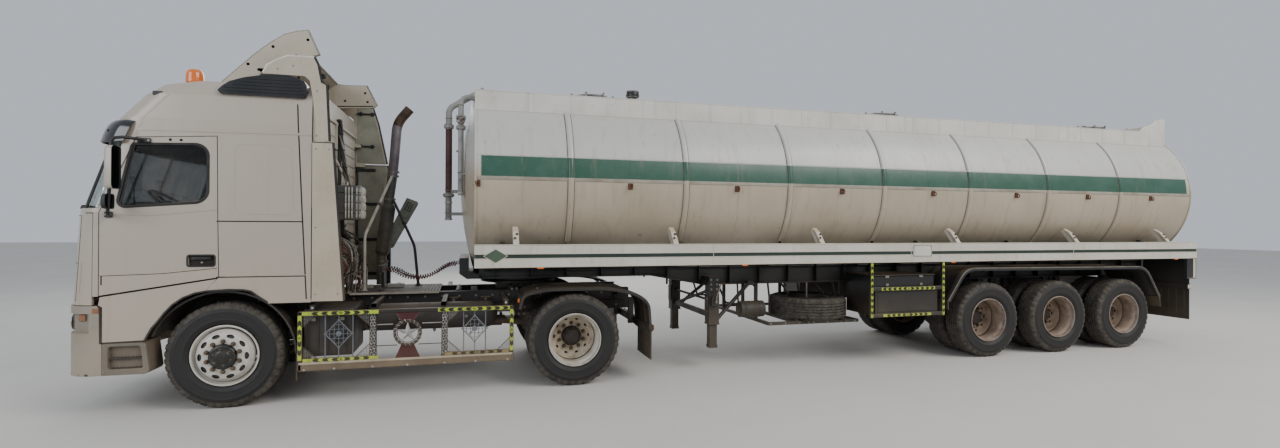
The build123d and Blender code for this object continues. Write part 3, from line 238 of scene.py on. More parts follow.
# ================================================================ mesh building
class Kit:
    """gathers faces of many small shapes into one joined mesh with several materials."""

    def __init__(self):
        self.v, self.f, self.m, self.s = [], [], [], []

    def add(self, verts, faces, mat=0, smooth=False):
        o = len(self.v)
        self.v.extend(tuple(v) for v in verts)
        self.f.extend(tuple(i + o for i in f) for f in faces)
        self.m.extend([mat] * len(faces))
        self.s.extend([smooth] * len(faces))

    def box(self, a, b, mat=0, c=0.0):
        """box between two corners; c cuts its edges."""
        lo = [min(p, q) for p, q in zip(a, b)]
        hi = [max(p, q) for p, q in zip(a, b)]
        if c <= 0:
            v = [(x, y, z) for z in (lo[2], hi[2]) for y in (lo[1], hi[1]) for x in (lo[0], hi[0])]
            self.add(v, [(0, 2, 3, 1), (4, 5, 7, 6), (0, 1, 5, 4), (2, 6, 7, 3), (0, 4, 6, 2), (1, 3, 7, 5)], mat)
            return
        c = min(c, *[(h - l) * 0.45 for l, h in zip(lo, hi)])
        self.rounded([(lo[0], lo[1]), (hi[0], lo[1]), (hi[0], hi[1]), (lo[0], hi[1])], lo[2], hi[2], c, mat)

    def rounded(self, poly, z0, z1, c, mat):
        """upright box whose edges are cut back by c, from its four corners seen from above."""
        (x0, y0), (x1, y1) = poly[0], poly[2]
        def ring(z, d):
            return [(x0 + c + 0, y0 + d, z), (x1 - c, y0 + d, z), (x1 - d, y0 + c, z), (x1 - d, y1 - c, z),
                    (x1 - c, y1 - d, z), (x0 + c, y1 - d, z), (x0 + d, y1 - c, z), (x0 + d, y0 + c, z)]
        rings = [ring(z0, c), ring(z0 + c, 0.0), ring(z1 - c, 0.0), ring(z1, c)]
        v = [p for r in rings for p in r]
        f = []
        for k in range(3):
            for i in range(8):
                j = (i + 1) % 8
                f.append((k * 8 + i, k * 8 + j, (k + 1) * 8 + j, (k + 1) * 8 + i))
        f.append(tuple(range(7, -1, -1)))
        f.append(tuple(24 + i for i in range(8)))
        self.add(v, f, mat)

    def sbox(self, s0, s1, y0, y1, z0, z1, mat=0, c=0.0):
        self.box(P(s0, y0, z0), P(s1, y1, z1), mat, c)

    def both(self, fn, *a, **k):
        """calls a builder once and mirrors what it added to the other side."""
        n, nf = len(self.v), len(self.f)
        fn(*a, **k)
        v = [(x, -y, z) for x, y, z in self.v[n:]]
        fs = [tuple(i - n for i in reversed(f)) for f in self.f[nf:]]
        ms, ss = self.m[nf:], self.s[nf:]
        o = len(self.v)
        self.v.extend(v)
        self.f.extend(tuple(i + o for i in f) for f in fs)
        self.m.extend(ms)
        self.s.extend(ss)

    def frame_of(self, axis):
        a = Vector(axis).normalized()
        t = Vector((0, 0, 1)) if abs(a.z) < 0.9 else Vector((1, 0, 0))
        u = a.cross(t).normalized()
        return a, u, a.cross(u).normalized()

    def lathe(self, o, axis, prof, n=32, mat=0, smooth=True, closed=False, mats=None):
        """prof is (along, radius) pairs; radius 0 closes an end."""
        a, u, w = self.frame_of(axis)
        o = Vector(o)
        rows, v = [], []
        for t, r in prof:
            if r < 1e-6:
                rows.append([len(v)])
                v.append(o + a * t)
            else:
                rows.append(list(range(len(v), len(v) + n)))
                for k in range(n):
                    q = 2 * math.pi * k / n
                    v.append(o + a * t + (u * math.cos(q) + w * math.sin(q)) * r)
        pairs = list(zip(rows, rows[1:])) + ([(rows[-1], rows[0])] if closed else [])
        for idx, (p, q) in enumerate(pairs):
            f = []
            for k in range(n):
                j = (k + 1) % n
                if len(p) == 1 and len(q) == 1:
                    continue
                if len(p) == 1:
                    f.append((p[0], q[j], q[k]))
                elif len(q) == 1:
                    f.append((p[k], p[j], q[0]))
                else:
                    f.append((p[k], p[j], q[j], q[k]))
            o2 = len(self.v)
            self.f.extend(tuple(i + o2 for i in g) for g in f)
            self.m.extend([mats[idx] if mats else mat] * len(f))
            self.s.extend([smooth] * len(f))
        self.v.extend(tuple(p) for p in v)

    def cyl(self, a, b, r, n=16, mat=0, r1=None, c=0.0, smooth=True):
        """rod between two points with cut end edges."""
        a, b = Vector(a), Vector(b)
        L = (b - a).length
        r1 = r if r1 is None else r1
        c = min(c, r * 0.5, L * 0.3)
        prof = [(0, 0), (0, r - c), (c, r), (L - c, r1), (L, r1 - c), (L, 0)] if c > 0 else [(0, 0), (0, r), (L, r1), (L, 0)]
        self.lathe(a, b - a, prof, n, mat, smooth)

    def tube(self, pts, r, n=10, mat=0, closed=False, smooth=True):
        """round bar along a line of points."""
        pts = [Vector(p) for p in pts]
        m = len(pts)
        t = []
        for i in range(m):
            if closed:
                d = pts[(i + 1) % m] - pts[i - 1]
            else:
                d = pts[min(i + 1, m - 1)] - pts[max(i - 1, 0)]
            t.append(d.normalized())
        up = Vector((0, 0, 1)) if abs(t[0].z) < 0.9 else Vector((0, 1, 0))
        u = t[0].cross(up).normalized()
        v, f = [], []
        for i in range(m):
            u = (u - t[i] * u.dot(t[i])).normalized()
            w = t[i].cross(u)
            rr = r[i] if isinstance(r, (list, tuple)) else r
            for k in range(n):
                q = 2 * math.pi * k / n
                v.append(pts[i] + (u * math.cos(q) + w * math.sin(q)) * rr)
        for i in range(m if closed else m - 1):
            a, b = i * n, ((i + 1) % m) * n
            for k in range(n):
                j = (k + 1) % n
                f.append((a + k, b + k, b + j, a + j))
        if not closed:
            f.append(tuple(range(n)))
            f.append(tuple(reversed(range((m - 1) * n, m * n))))
        self.add(v, f, mat, smooth)

    def prism(self, pts, a, b, plane="xz", mat=0):
        """flat outline swept from a to b: xz outlines are (s, z), yz are (y, z), xy are (s, y)."""
        mk = {"xz": lambda p, h: P(p[0], h, p[1]), "yz": lambda p, h: P(h, p[0], p[1]), "xy": lambda p, h: P(p[0], p[1], h)}[plane]
        n = len(pts)
        v = [mk(p, a) for p in pts] + [mk(p, b) for p in pts]
        f = [tuple(range(n)), tuple(reversed(range(n, 2 * n)))]
        for i in range(n):
            j = (i + 1) % n
            f.append((i, i + n, j + n, j))
        self.add(v, f, mat)

    def ribbon(self, pts, w, t, normal, mat=0):
        """flat strip of width w and thickness t along points, standing on faces with that normal."""
        pts = [Vector(p) for p in pts]
        nrm = Vector(normal).normalized()
        v, f = [], []
        for i, p in enumerate(pts):
            d = (pts[min(i + 1, len(pts) - 1)] - pts[max(i - 1, 0)]).normalized()
            side = d.cross(nrm).normalized() * (w / 2)
            v += [p - side, p + side, p + side * 0.86 + nrm * t, p - side * 0.86 + nrm * t]
        for i in range(len(pts) - 1):
            a, b = i * 4, i * 4 + 4
            for k in range(4):
                j = (k + 1) % 4
                f.append((a + k, a + j, b + j, b + k))
        f.append((3, 2, 1, 0))
        e = (len(pts) - 1) * 4
        f.append((e, e + 1, e + 2, e + 3))
        self.add(v, f, mat)

    def bolt(self, p, axis, r=0.012, h=0.008, mat=0, washer=True):
        a = Vector(axis).normalized()
        p = Vector(p)
        if washer:
            self.lathe(p, a, [(0, 0), (0, r * 1.55), (h * 0.25, r * 1.5), (h * 0.25, 0)], 12, mat, False)
        self.lathe(p, a, [(0, 0), (0, r), (h * 0.85, r), (h, r * 0.8), (h, 0)], 6, mat, False)

    def make(self, name, mats, body, slot=None, replaces=None, bevel=0.0, sharp=35.0, segs=2, subsurf=0):
        me = bpy.data.meshes.new(name)
        me.from_pydata(self.v, [], self.f)
        for mt in mats:
            me.materials.append(mt)
        me.polygons.foreach_set("material_index", self.m)
        me.polygons.foreach_set("use_smooth", self.s)
        me.validate()
        import bmesh
        bm = bmesh.new()
        bm.from_mesh(me)
        bmesh.ops.recalc_face_normals(bm, faces=bm.faces)
        lim = math.radians(sharp)
        for e in bm.edges:
            if len(e.link_faces) == 2:
                e.smooth = e.calc_face_angle(0.0) < lim
        bm.to_mesh(me)
        bm.free()
        me.update()
        ob = bpy.data.objects.new(name, me)
        bpy.context.scene.collection.objects.link(ob)
        if bevel > 0:
            md = ob.modifiers.new("bevel", "BEVEL")
            md.width = bevel
            md.segments = segs
            md.limit_method = "ANGLE"
            md.angle_limit = math.radians(40)
            md.harden_normals = False
        if subsurf:
            md = ob.modifiers.new("sub", "SUBSURF")
            md.levels = md.render_levels = subsurf
        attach(ob, body)
        if replaces:
            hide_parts(*([replaces] if isinstance(replaces, str) else replaces))
        return ob


def from_node(node, name, mats, body, bevel=0.004, segs=2, angle=32.0):
    """a copy of a CAD node with softened edges, which is shown in its place."""
    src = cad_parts[node]
    me = src.data.copy()
    me.name = name
    import bmesh
    bm = bmesh.new()
    bm.from_mesh(me)
    bmesh.ops.remove_doubles(bm, verts=bm.verts, dist=2e-5)
    bmesh.ops.dissolve_limit(bm, angle_limit=math.radians(1.0), verts=bm.verts, edges=bm.edges)
    lim = math.radians(angle)
    for e in bm.edges:
        e.smooth = len(e.link_faces) != 2 or e.calc_face_angle(0.0) < lim
    for f in bm.faces:
        f.smooth = True
        f.material_index = 0
    bm.to_mesh(me)
    bm.free()
    me.materials.clear()
    for mt in mats:
        me.materials.append(mt)
    ob = bpy.data.objects.new(name, me)
    bpy.context.scene.collection.objects.link(ob)
    if bevel > 0:
        md = ob.modifiers.new("bevel", "BEVEL")
        md.width = bevel
        md.segments = segs
        md.limit_method = "ANGLE"
        md.angle_limit = lim
        md.use_clamp_overlap = True
    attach(ob, body)
    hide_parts(node)
    return ob


# ================================================================ cords: the two coiled air lines
def spline_of(data, pts):
    sp = data.splines.new("NURBS")
    sp.points.add(len(pts) - 1)
    for q, p in zip(sp.points, pts):
        q.co = (p[0], p[1], p[2], 1.0)
    sp.order_u = 3
    sp.use_endpoint_u = True
    return sp


def read_route(name, pts):
    """points of the smooth line that has the route's points as its control points."""
    cu = bpy.data.curves.new(name, "CURVE")
    cu.dimensions = "3D"
    cu.resolution_u = 32
    spline_of(cu, pts)
    ob = bpy.data.objects.new(name, cu)
    me = bpy.data.meshes.new_from_object(ob)
    out = [v.co.copy() for v in me.vertices]
    bpy.data.objects.remove(ob)
    bpy.data.meshes.remove(me)
    bpy.data.curves.remove(cu)
    return out


ROUTE_A = [(1.331, 0.250, 1.300), (1.440, 0.248, 1.297), (1.570, 0.235, 1.205), (1.740, 0.222, 1.180),
           (1.900, 0.235, 1.228), (2.030, 0.248, 1.318), (2.120, 0.256, 1.352), (2.213, 0.260, 1.353)]
ROUTE_B = [(1.331, -0.150, 1.290), (1.440, -0.152, 1.287), (1.570, -0.165, 1.190), (1.740, -0.182, 1.160),
           (1.900, -0.172, 1.212), (2.030, -0.160, 1.308), (2.120, -0.153, 1.348), (2.213, -0.150, 1.349)]


def coiled_line(name, route, mat, dia=0.011, coil_r=0.0215, turns=31):
    line = read_route(name + "_route", [P(*p) for p in route])
    d = [0.0]
    for a, b in zip(line, line[1:]):
        d.append(d[-1] + (b - a).length)
    L = d[-1]
    lead = 0.045
    n = turns * 14
    pts = []
    u = None
    k = 0
    for i in range(n + 1):
        at = L * i / n
        while k < len(d) - 2 and d[k + 1] < at:
            k += 1
        f = (at - d[k]) / max(1e-9, d[k + 1] - d[k])
        p = line[k].lerp(line[k + 1], f)
        a = line[max(0, k - 2)]
        b = line[min(len(line) - 1, k + 3)]
        t = (b - a).normalized()
        if u is None:
            u = t.cross(Vector((0, 0, 1))).normalized()
        u = (u - t * u.dot(t)).normalized()
        w = t.cross(u)
        e = min(1.0, max(0.0, (min(at, L - at) - 0.012) / lead))
        r = coil_r * (e * e * (3 - 2 * e)) * (1.0 + 0.05 * math.sin(i * 0.173))
        q = 2 * math.pi * turns * i / n
        pts.append(p + (u * math.cos(q) + w * math.sin(q)) * r)
    cu = bpy.data.curves.new(name, "CURVE")
    cu.dimensions = "3D"
    cu.resolution_u = 2
    spline_of(cu, pts)
    tmp = bpy.data.objects.new(name + "_line", cu)
    me = bpy.data.meshes.new_from_object(tmp)
    path = [tuple(v.co) for v in me.vertices]
    bpy.data.meshes.remove(me)
    cu.bevel_depth = dia / 2
    cu.bevel_resolution = 2
    cu.use_fill_caps = True
    me = bpy.data.meshes.new_from_object(tmp)
    bpy.data.objects.remove(tmp)
    bpy.data.curves.remove(cu)
    me.name = name
    me.materials.clear()
    me.materials.append(mat)
    for f in me.polygons:
        f.use_smooth = True
    ob = bpy.data.objects.new(name, me)
    bpy.context.scene.collection.objects.link(ob)
    return ob, path, sum(math.dist(a, b) for a, b in zip(path, path[1:]))


hose_red = surface("coil_red", (104, 34, 26), rough=0.42, vary=0.3, scale=30, dust=0.0, up=0.55, grain=120, bump=0.1)
hose_black = surface("coil_black", (30, 28, 27), rough=0.42, vary=0.2, scale=30, dust=0.0, up=0.5, grain=120, bump=0.1)
for nm, route, mt, node, length in (("coiled_air_line_left", ROUTE_A, hose_red, "air_line_left", 4.06),
                                    ("coiled_air_line_right", ROUTE_B, hose_black, "air_line_right", 4.06)):
    ob, path, made = coiled_line(nm, route, mt)
    print("coiled line", nm, "length", round(made, 3))
    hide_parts(node)
    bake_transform(ob)

# ================================================================ wheels
rubber_side = surface("rubber_sidewall", (23, 22, 22), rough=0.62, vary=0.2, scale=5.0, dust=0.0, up=0.0, grain=90, bump=0.3,
                      dark=(38, 35, 32))
rubber_tread = surface("rubber_tread", (78, 72, 64), rough=0.85, vary=0.5, scale=14.0, dust=0.0, up=0.0, grain=45, bump=0.5,
                       dark=(43, 40, 37))
rim_white = surface("rim_white", (196, 192, 184), rough=0.45, vary=0.12, scale=7.0, dust=0.0, up=0.0, grain=70, bump=0.15,
                    dark=(150, 138, 122), chips=0.25)
disc_dusty = surface("disc_dusty", (204, 192, 172), rough=0.7, vary=0.30, scale=9.0, dust=0.0, up=0.0, grain=70, bump=0.3,
                     dark=(150, 132, 108), rust=0.25, chips=0.3)
rim_dusty = surface("rim_dusty", (196, 192, 182), rough=0.6, vary=0.25, scale=6.0, dust=0.0, up=0.0, grain=50, bump=0.3,
                    dark=(150, 138, 122), rust=0.25)
rim_rusty = surface("rim_rusty", (150, 132, 116), rough=0.75, vary=0.4, scale=6.0, dust=0.0, up=0.0, grain=50, bump=0.35,
                    dark=(98, 80, 68), rust=0.5)
disc_rusty = surface("disc_rusty", (158, 138, 118), rough=0.75, vary=0.4, scale=7.0, dust=0.0, up=0.0, grain=60, bump=0.35,
                     dark=(104, 86, 72), rust=0.5, chips=0.3)
ring_light = surface("rim_ring_light", (184, 180, 172), rough=0.5, vary=0.25, scale=9.0, dust=0.0, up=0.0, grain=60, bump=0.2,
                     dark=(140, 130, 116), chips=0.3)
ring_brown = surface("rim_ring_brown", (142, 130, 120), rough=0.55, vary=0.35, scale=9.0, dust=0.0, up=0.0, grain=60, bump=0.2,
                     dark=(104, 88, 78), rust=0.3, chips=0.3)
# black for the front hub, and painted shade on the rims' inward disc faces and hand-hole walls
hub_black_and_rim_shade = surface("hub_black_and_rim_shade", (26, 27, 26), rough=0.32, vary=0.25, scale=12.0, dust=0.0, up=0.35, grain=80, bump=0.12,
                    dark=(58, 54, 48))
hub_brown = surface("hub_brown", (58, 48, 41), rough=0.6, vary=0.35, scale=16.0, dust=0.0, up=0.3, grain=60, bump=0.3,
                    dark=(34, 30, 27))
steel_dark = surface("steel_dark", (60, 56, 52), rough=0.55, metal=0.4, vary=0.3, scale=10.0, dust=0.3, up=0.4, grain=60,
                     bump=0.25, rust=0.3)


def half_profile(kind):
    """(y, r, zone) from the tread's centre to the bead; zones: T tread top, G groove, S shoulder, W sidewall."""
    if kind == "block":
        tread = [(0.0, .525, "T"), (.018, .525, "T"), (.0185, .513, "G"), (.0285, .513, "G"), (.029, .525, "T"), (.060, .525, "T"),
                 (.0605, .512, "G"), (.0705, .512, "G"), (.071, .525, "T"), (.104, .5245, "S")]
    else:
        tread = [(0.0, .513, "G"), (.006, .513, "G"), (.0065, .525, "T"), (.030, .525, "T"), (.0305, .513, "G"),
                 (.0415, .513, "G"), (.042, .525, "T"), (.070, .525, "T"), (.0705, .513, "G"), (.0795, .513, "G"),
                 (.080, .525, "T"), (.104, .5245, "S")]
    side = [(.114, .520, "S"), (.123, .511, "S"), (.131, .496, "S"), (.1375, .478, "S"), (.1425, .466, "W"), (.1455, .455, "W"),
            (.1485, .440, "W"), (.1505, .436, "W"), (.1505, .430, "W"), (.149, .426, "W"), (.149, .405, "W"), (.148, .385, "W"),
            (.1455, .362, "W"), (.1465, .358, "W"), (.1465, .353, "W"), (.143, .349, "W"), (.138, .333, "W"), (.134, .326, "W"),
            (.128, .316, "W"), (.118, .308, "W"), (.113, .300, "W"), (.112, .286, "W")]
    return tread + side


def tyre(kit, s, yc, sign, kind, n=180):
    """a tyre with grooves, shoulder notches and a banded sidewall; sign is the vehicle's side."""
    half = half_profile(kind)
    prof = [(-y, r, z) for y, r, z in reversed(half[1:])] + half
    base = len(kit.v)
    c = P(s, sign * yc, 0.525)
    for k in range(n):
        q = 2 * math.pi * k / n
        tri = (0, 1, 0, -1)[k % 4]
        for y, r, z in prof:
            yy, rr = y, r
            if z in "TG" and abs(y) < 0.085:
                yy = y + 0.0035 * tri
            if z == "T" and kind == "block" and k % 4 == (0 if y < 0 else 2):
                rr = r - 0.012
            if z == "S" and k % 4 in ((0,) if kind == "rib" else (0, 1)):
                rr = r - (0.010 if r > 0.49 else 0.005)
                yy = y - math.copysign(0.004, y)
            if z == "W" and r > 0.45 and k % 2:
                yy = y - math.copysign(0.0018, y)
            kit.v.append(tuple(c + Vector((rr * math.cos(q), yy * sign, rr * math.sin(q)))))
    m = len(prof)
    for k in range(n):
        a, b = base + k * m, base + ((k + 1) % n) * m
        for j in range(m - 1):
            kit.f.append((a + j, b + j, b + j + 1, a + j + 1))
            r_mid = (prof[j][1] + prof[j + 1][1]) / 2
            kit.m.append(1 if r_mid > 0.462 else 0)
            kit.s.append(r_mid < 0.50)
    for k in range(n):
        a, b = base + k * m, base + ((k + 1) % n) * m
        kit.f.append((a, a + m - 1, b + m - 1, b))
        kit.m.append(0)
        kit.s.append(True)


def sector_disc(kit, o, axis, r1, r2, t_of, rc, ra, rb, mat, hole_mat, count=10, thick=0.012, phase=0.0, face=1):
    """ring of a wheel disc with oval hand holes, each in a sector of its own."""
    a, u, w = kit.frame_of(axis)
    o = Vector(o)
    pt = lambda r, q, d=0.0: o + a * (t_of(r) - face * d) + (u * math.cos(q) + w * math.sin(q)) * r
    h = math.pi / count
    N = 24
    for k in range(count):
        qc = phase + 2 * math.pi * k / count
        outer, inner = [], []
        for i in range(6):
            outer.append((r2, -h + 2 * h * i / 6))
        for i in range(6):
            outer.append((r2 + (r1 - r2) * i / 6, h))
        for i in range(6):
            outer.append((r1, h - 2 * h * i / 6))
        for i in range(6):
            outer.append((r1 + (r2 - r1) * i / 6, -h))
        for r, q in outer:
            th = math.atan2((r - rc) / (r2 - r1), q / (2 * h))
            inner.append((rc + ra * math.sin(th), rb * math.cos(th) / rc))
        vo = [pt(r, qc + q) for r, q in outer]
        vi = [pt(r, qc + q) for r, q in inner]
        vb = [pt(r, qc + q, thick) for r, q in inner]
        f = []
        for i in range(N):
            j = (i + 1) % N
            f.append((i, j, N + j, N + i))
        kit.add(vo + vi, f, mat, True)
        kit.add(vi + vb, f, hole_mat, False)


def rim(kit, s, yc, sign, face, holes, mats=(0, 1, 2, 3), nuts=True, big=False):
    """barrel and disc; face +1 has the disc on the outside. mats: disc, ring, barrel, dark; the dark slot is painted
    shade on the disc's inward face and its hand holes' walls.
    """
    o = P(s, sign * yc, 0.525)
    ax = (0, sign, 0)
    md, mr, mb, mk = mats
    L = lambda prof, mat, n=60: kit.lathe(o, ax, prof, n, mat, True)
    # flanges on both sides, barrel between them
    for e in (1, -1):
        L([(e * .112, .300), (e * .118, .3035), (e * .128, .3045), (e * .135, .3025), (e * .1375, .2975), (e * .1365, .291),
           (e * .130, .2865), (e * .120, .2845), (e * .104, .283), (e * .096, .2805)], mr)
    well = [(.096, .2805), (.090, .272), (.070, .266), (.045, .2615), (.02, .2595), (-.05, .2595), (-.075, .263), (-.096, .2805)]
    L([(face * t, r) for t, r in well], mb)
    L([(face * t, r + 0.010) for t, r in well], mk)
    # disc
    f = face
    prof_t = [(.262, .104), (.250, .128), (.238, .150), (.228, .1655), (.216, .1725), (.190, .175)]

    def t_of(r):
        pts = sorted(prof_t)
        if r <= pts[0][0]:
            return f * pts[0][1]
        for (ra, ta), (rb, tb) in zip(pts, pts[1:]):
            if r <= rb:
                q = (r - ra) / (rb - ra)
                return f * (ta + (tb - ta) * q)
        return f * pts[-1][1]

    # the disc's inward face and its hand holes' walls take the dark slot: painted shade
    m1, m2 = (md, mk) if f > 0 else (mk, md)
    L([(f * .088, .2625), (f * .104, .262), (t_of(.252), .252), (t_of(.240), .240), (t_of(.230), .230)], m1)
    sector_disc(kit, o, ax, .178, .230, t_of, .2045, holes[0], holes[1], m1, mk, face=f, thick=0.012)
    L([(t_of(.178), .178), (f * .1755, .172), (f * .1755, .10), (f * .1755, .07)], m1)
    # the disc's other face; where it faces inward it takes the dark slot, painted shade
    if f > 0:
        L([(f * .078, .258), (f * .092, .252), (f * .138, .232), (f * .160, .212), (f * .163, .10), (f * .163, .07)], m2)
    else:
        prof_b = [(.258, .078), (.252, .092), (.242, .120), (.232, .138), (.222, .150), (.212, .158), (.190, .162), (.170, .163)]

        def b_of(r):
            pts = sorted(prof_b)
            for (ra, ta), (rb, tb) in zip(pts, pts[1:]):
                if r <= rb:
                    return f * (ta + (tb - ta) * max(0.0, (r - ra) / (rb - ra)))
            return f * pts[-1][1]

        L([(b_of(r), r) for r in (.258, .252, .245, .238, .230)], m2)
        sector_disc(kit, o, ax, .178, .230, b_of, .2045, holes[0], holes[1], m2, mk, face=-f, thick=0.010)
        L([(b_of(.178), .178), (f * .1630, .170), (f * .1630, .10), (f * .163, .07)], m2)
    front = 1 if f > 0 else -1
    if nuts:
        tn = f * .1755 if f > 0 else f * .163
        a, u, w = kit.frame_of(ax)
        for k in range(10):
            q = 2 * math.pi * (k + 0.5) / 10
            p = o + a * tn + (u * math.cos(q) + w * math.sin(q)) * .149
            kit.lathe(p, ax, [(0, 0), (0, .024), (.004, .023), (.006, .018)], 14, 4, False)
            kit.lathe(p, ax, [(.004, .0185), (.024, .0185), (.027, .0165), (.027, .0115), (.029, .011), (.038, .011), (.040, .009), (.040, 0)], 6, 4, False)


for side, sg in (("left", 1), ("right", -1)):
    # front wheel
    k = Kit()
    tyre(k, 0.0, 1.046, sg, "rib")
    k.make(f"front_tyre_{side}_worn", [rubber_side, rubber_tread], f"front_wheel_{side}", slot=f"front_tyre_{side}",
           replaces=f"front_tyre_{side}", sharp=50)
    k = Kit()
    rim(k, 0.0, 1.046, sg, 1, (.0190, .036))
    o, ax = P(0.0, sg * 1.046, 0.525), (0, sg, 0)
    k.lathe(o, ax, [(.176, .126), (.182, .1265), (.186, .1235), (.196, .1225), (.2045, .1195), (.2105, .1135), (.2135, .106), (.2145, .094),
                    (.2105, .090), (.2105, .070), (.2165, .066), (.221, .058), (.2235, .040), (.2235, 0)], 48, 3)
    for q in range(6):
        an = math.radians(60 * q + 20)
        k.bolt(o + Vector((math.cos(an) * .080, sg * .2105, math.sin(an) * .080)), ax, .007, .006, 4, True)
    k.lathe(o, ax, [(-.086, .205), (.150, .205), (.162, .190), (.163, .13)], 48, 5)
    k.lathe(o, ax, [(-.086, .205), (-.086, .19), (.10, .19), (.10, .12), (-.05, .095), (-.05, .045)], 48, 5)
    k.make(f"front_rim_{side}_painted", [rim_white, rim_white, rim_white, hub_black_and_rim_shade, steel_dark, steel_dark],
           f"front_wheel_{side}", slot=f"front_rim_{side}", replaces=f"front_rim_{side}", sharp=40)
    # twin wheels
    twins = [(3.5, 1.083, "block", f"drive_wheels_{side}", [f"drive_tyres_{side}"], [f"drive_rims_{side}"], "drive", (disc_dusty, ring_light, rim_dusty))]
    for n, s in enumerate((9.405, 10.685, 11.965)):
        twins.append((s, 1.042, "rib", f"trailer_axle_{n + 1}_wheels_{side}", [f"trailer_wheels_{n + 1}_{side}"], [],
                      f"trailer_{n + 1}", (disc_rusty, ring_brown, rim_rusty)))
    for s, yc, kind, body, rep_t, rep_r, nm, paint in twins:
        k = Kit()
        tyre(k, s, yc, sg, kind, 156)
        tyre(k, s, yc - 0.350, sg, kind, 96)
        k.make(f"{nm}_tyres_{side}_worn", [rubber_side, rubber_tread], body, slot=rep_t[0], replaces=rep_t, sharp=50)
        k = Kit()
        rim(k, s, yc, sg, -1, (.012, .021))
        rim(k, s, yc - 0.350, sg, 1, (.012, .021), nuts=False)
        o = P(s, sg * yc, 0.525)
        k.lathe(o, ax, [(-.163, .118), (-.150, .118), (-.146, .114), (-.140, .112), (-.118, .110), (-.112, .105), (-.108, .094),
                        (-.094, .090), (-.088, .084), (-.085, .070), (-.085, .0)], 40, 6)
        for q in range(8):
            an = math.radians(45 * q + 10)
            k.bolt(o + Vector((math.cos(an) * .101, sg * -.112, math.sin(an) * .101)), ax, .008, .009, 4, False)
        k.lathe(o, ax, [(-.437, .205), (-.200, .205), (-.187, .190), (-.187, .13)], 40, 5)
        k.lathe(o, ax, [(-.437, .205), (-.437, .19), (-.25, .19), (-.25, .12), (-.44, .095), (-.44, .066)], 40, 5)
        k.make(f"{nm}_rims_{side}_painted", [paint[0], paint[1], paint[2], hub_black_and_rim_shade, steel_dark, steel_dark, hub_brown], body,
               slot=(rep_r or rep_t)[0], replaces=(rep_r or rep_t), sharp=40)

# ================================================================ shared finishes
cab_paint = surface("cab_paint", (168, 158, 146), rough=0.36, vary=0.06, scale=1.1, dust=0.20, dust_z=(0.6, 1.9), up=0.30, streak=0.10,
                    grain=34, bump=0.04, coat=0.35, dark=(156, 144, 128), chips=0.0)
cab_paint_dusty = surface("cab_paint_dusty", (176, 168, 152), rough=0.5, vary=0.12, scale=2.2, dust=0.22, dust_z=(0.9, 4.2), up=0.45,
                          streak=0.22, grain=34, bump=0.06, coat=0.1, dark=(146, 134, 114), chips=0.35)
# dark joints, seams and the exhaust tip's inside, and painted shade on the floors of the plate arm's holes
seam_dark_and_hole_shade = surface("seam_dark_and_hole_shade", (24, 22, 21), rough=0.85, vary=0.2, dust=0.08, dust_z=(0.5, 2.5), up=0.1, grain=70, bump=0.2)
rubber_black = surface("rubber_black", (24, 24, 24), rough=0.66, vary=0.2, scale=9, dust=0.18, dust_z=(0.4, 2.4), up=0.3, grain=90, bump=0.25)
plastic_black = surface("plastic_black", (24, 25, 27), rough=0.48, vary=0.16, scale=5, dust=0.12, dust_z=(0.3, 1.6), up=0.12, grain=110, bump=0.22)
plastic_gloss = surface("plastic_gloss_black", (14, 17, 20), rough=0.16, vary=0.12, scale=3, dust=0.0, up=0.16, grain=60, bump=0.02, coat=0.5)
plastic_grey = surface("plastic_grey", (98, 96, 88), rough=0.62, vary=0.12, scale=4, dust=0.22, dust_z=(0.3, 1.2), up=0.5, grain=130,
                       bump=0.28, dark=(86, 81, 75))
bumper_grey = surface("bumper_grey", (146, 139, 127), rough=0.55, vary=0.12, scale=3, dust=0.25, dust_z=(0.3, 1.2), up=0.4, grain=120,
                      bump=0.16, dark=(118, 110, 98), chips=0.2)
plastic_dark = surface("plastic_dark_grey", (62, 63, 64), rough=0.6, vary=0.14, scale=4, dust=0.35, dust_z=(0.3, 2.4), up=0.5, grain=120,
                       bump=0.25)
chassis_black = surface("chassis_black", (31, 31, 33), rough=0.58, vary=0.25, scale=4, dust=0.16, dust_z=(0.25, 1.2), up=0.18, grain=46,
                        bump=0.28, rust=0.15)
cast_dusty = surface("cast_dusty", (44, 40, 37), rough=0.78, vary=0.3, scale=7, dust=0.34, dust_z=(0.2, 1.1), up=0.45, grain=38, bump=0.5,
                     rust=0.45)
spring_steel = surface("spring_steel", (52, 46, 41), rough=0.7, metal=0.3, vary=0.3, scale=9, dust=0.6, dust_z=(0.2, 1.4), up=0.5, grain=50,
                       bump=0.35, rust=0.5)
engine_cast = surface("engine_cast", (92, 92, 90), rough=0.7, metal=0.25, vary=0.3, scale=8, dust=0.5, dust_z=(0.3, 1.6), up=0.6, grain=42,
                      bump=0.6, rust=0.25)
bright_steel = surface("bright_steel", (168, 168, 166), rough=0.34, metal=0.85, vary=0.2, scale=14, dust=0.15, dust_z=(0.3, 1.5), up=0.3,
                       grain=90, bump=0.1)
zinc = surface("zinc_bolts", (142, 138, 130), rough=0.48, metal=0.7, vary=0.3, scale=30, dust=0.3, dust_z=(0.3, 1.8), up=0.4, grain=90,
               bump=0.2, rust=0.35)
exhaust_steel = surface("exhaust_steel", (74, 69, 64), rough=0.6, metal=0.35, vary=0.35, scale=3.5, dust=0.0, up=0.35, streak=0.35, grain=50,
                        bump=0.25, rust=0.5, dark=(50, 42, 36))
scorched = surface("scorched_steel", (86, 66, 50), rough=0.55, metal=0.4, vary=0.6, scale=9, dust=0.0, up=0.2, grain=50, bump=0.25, rust=0.9,
                   dark=(42, 34, 30))
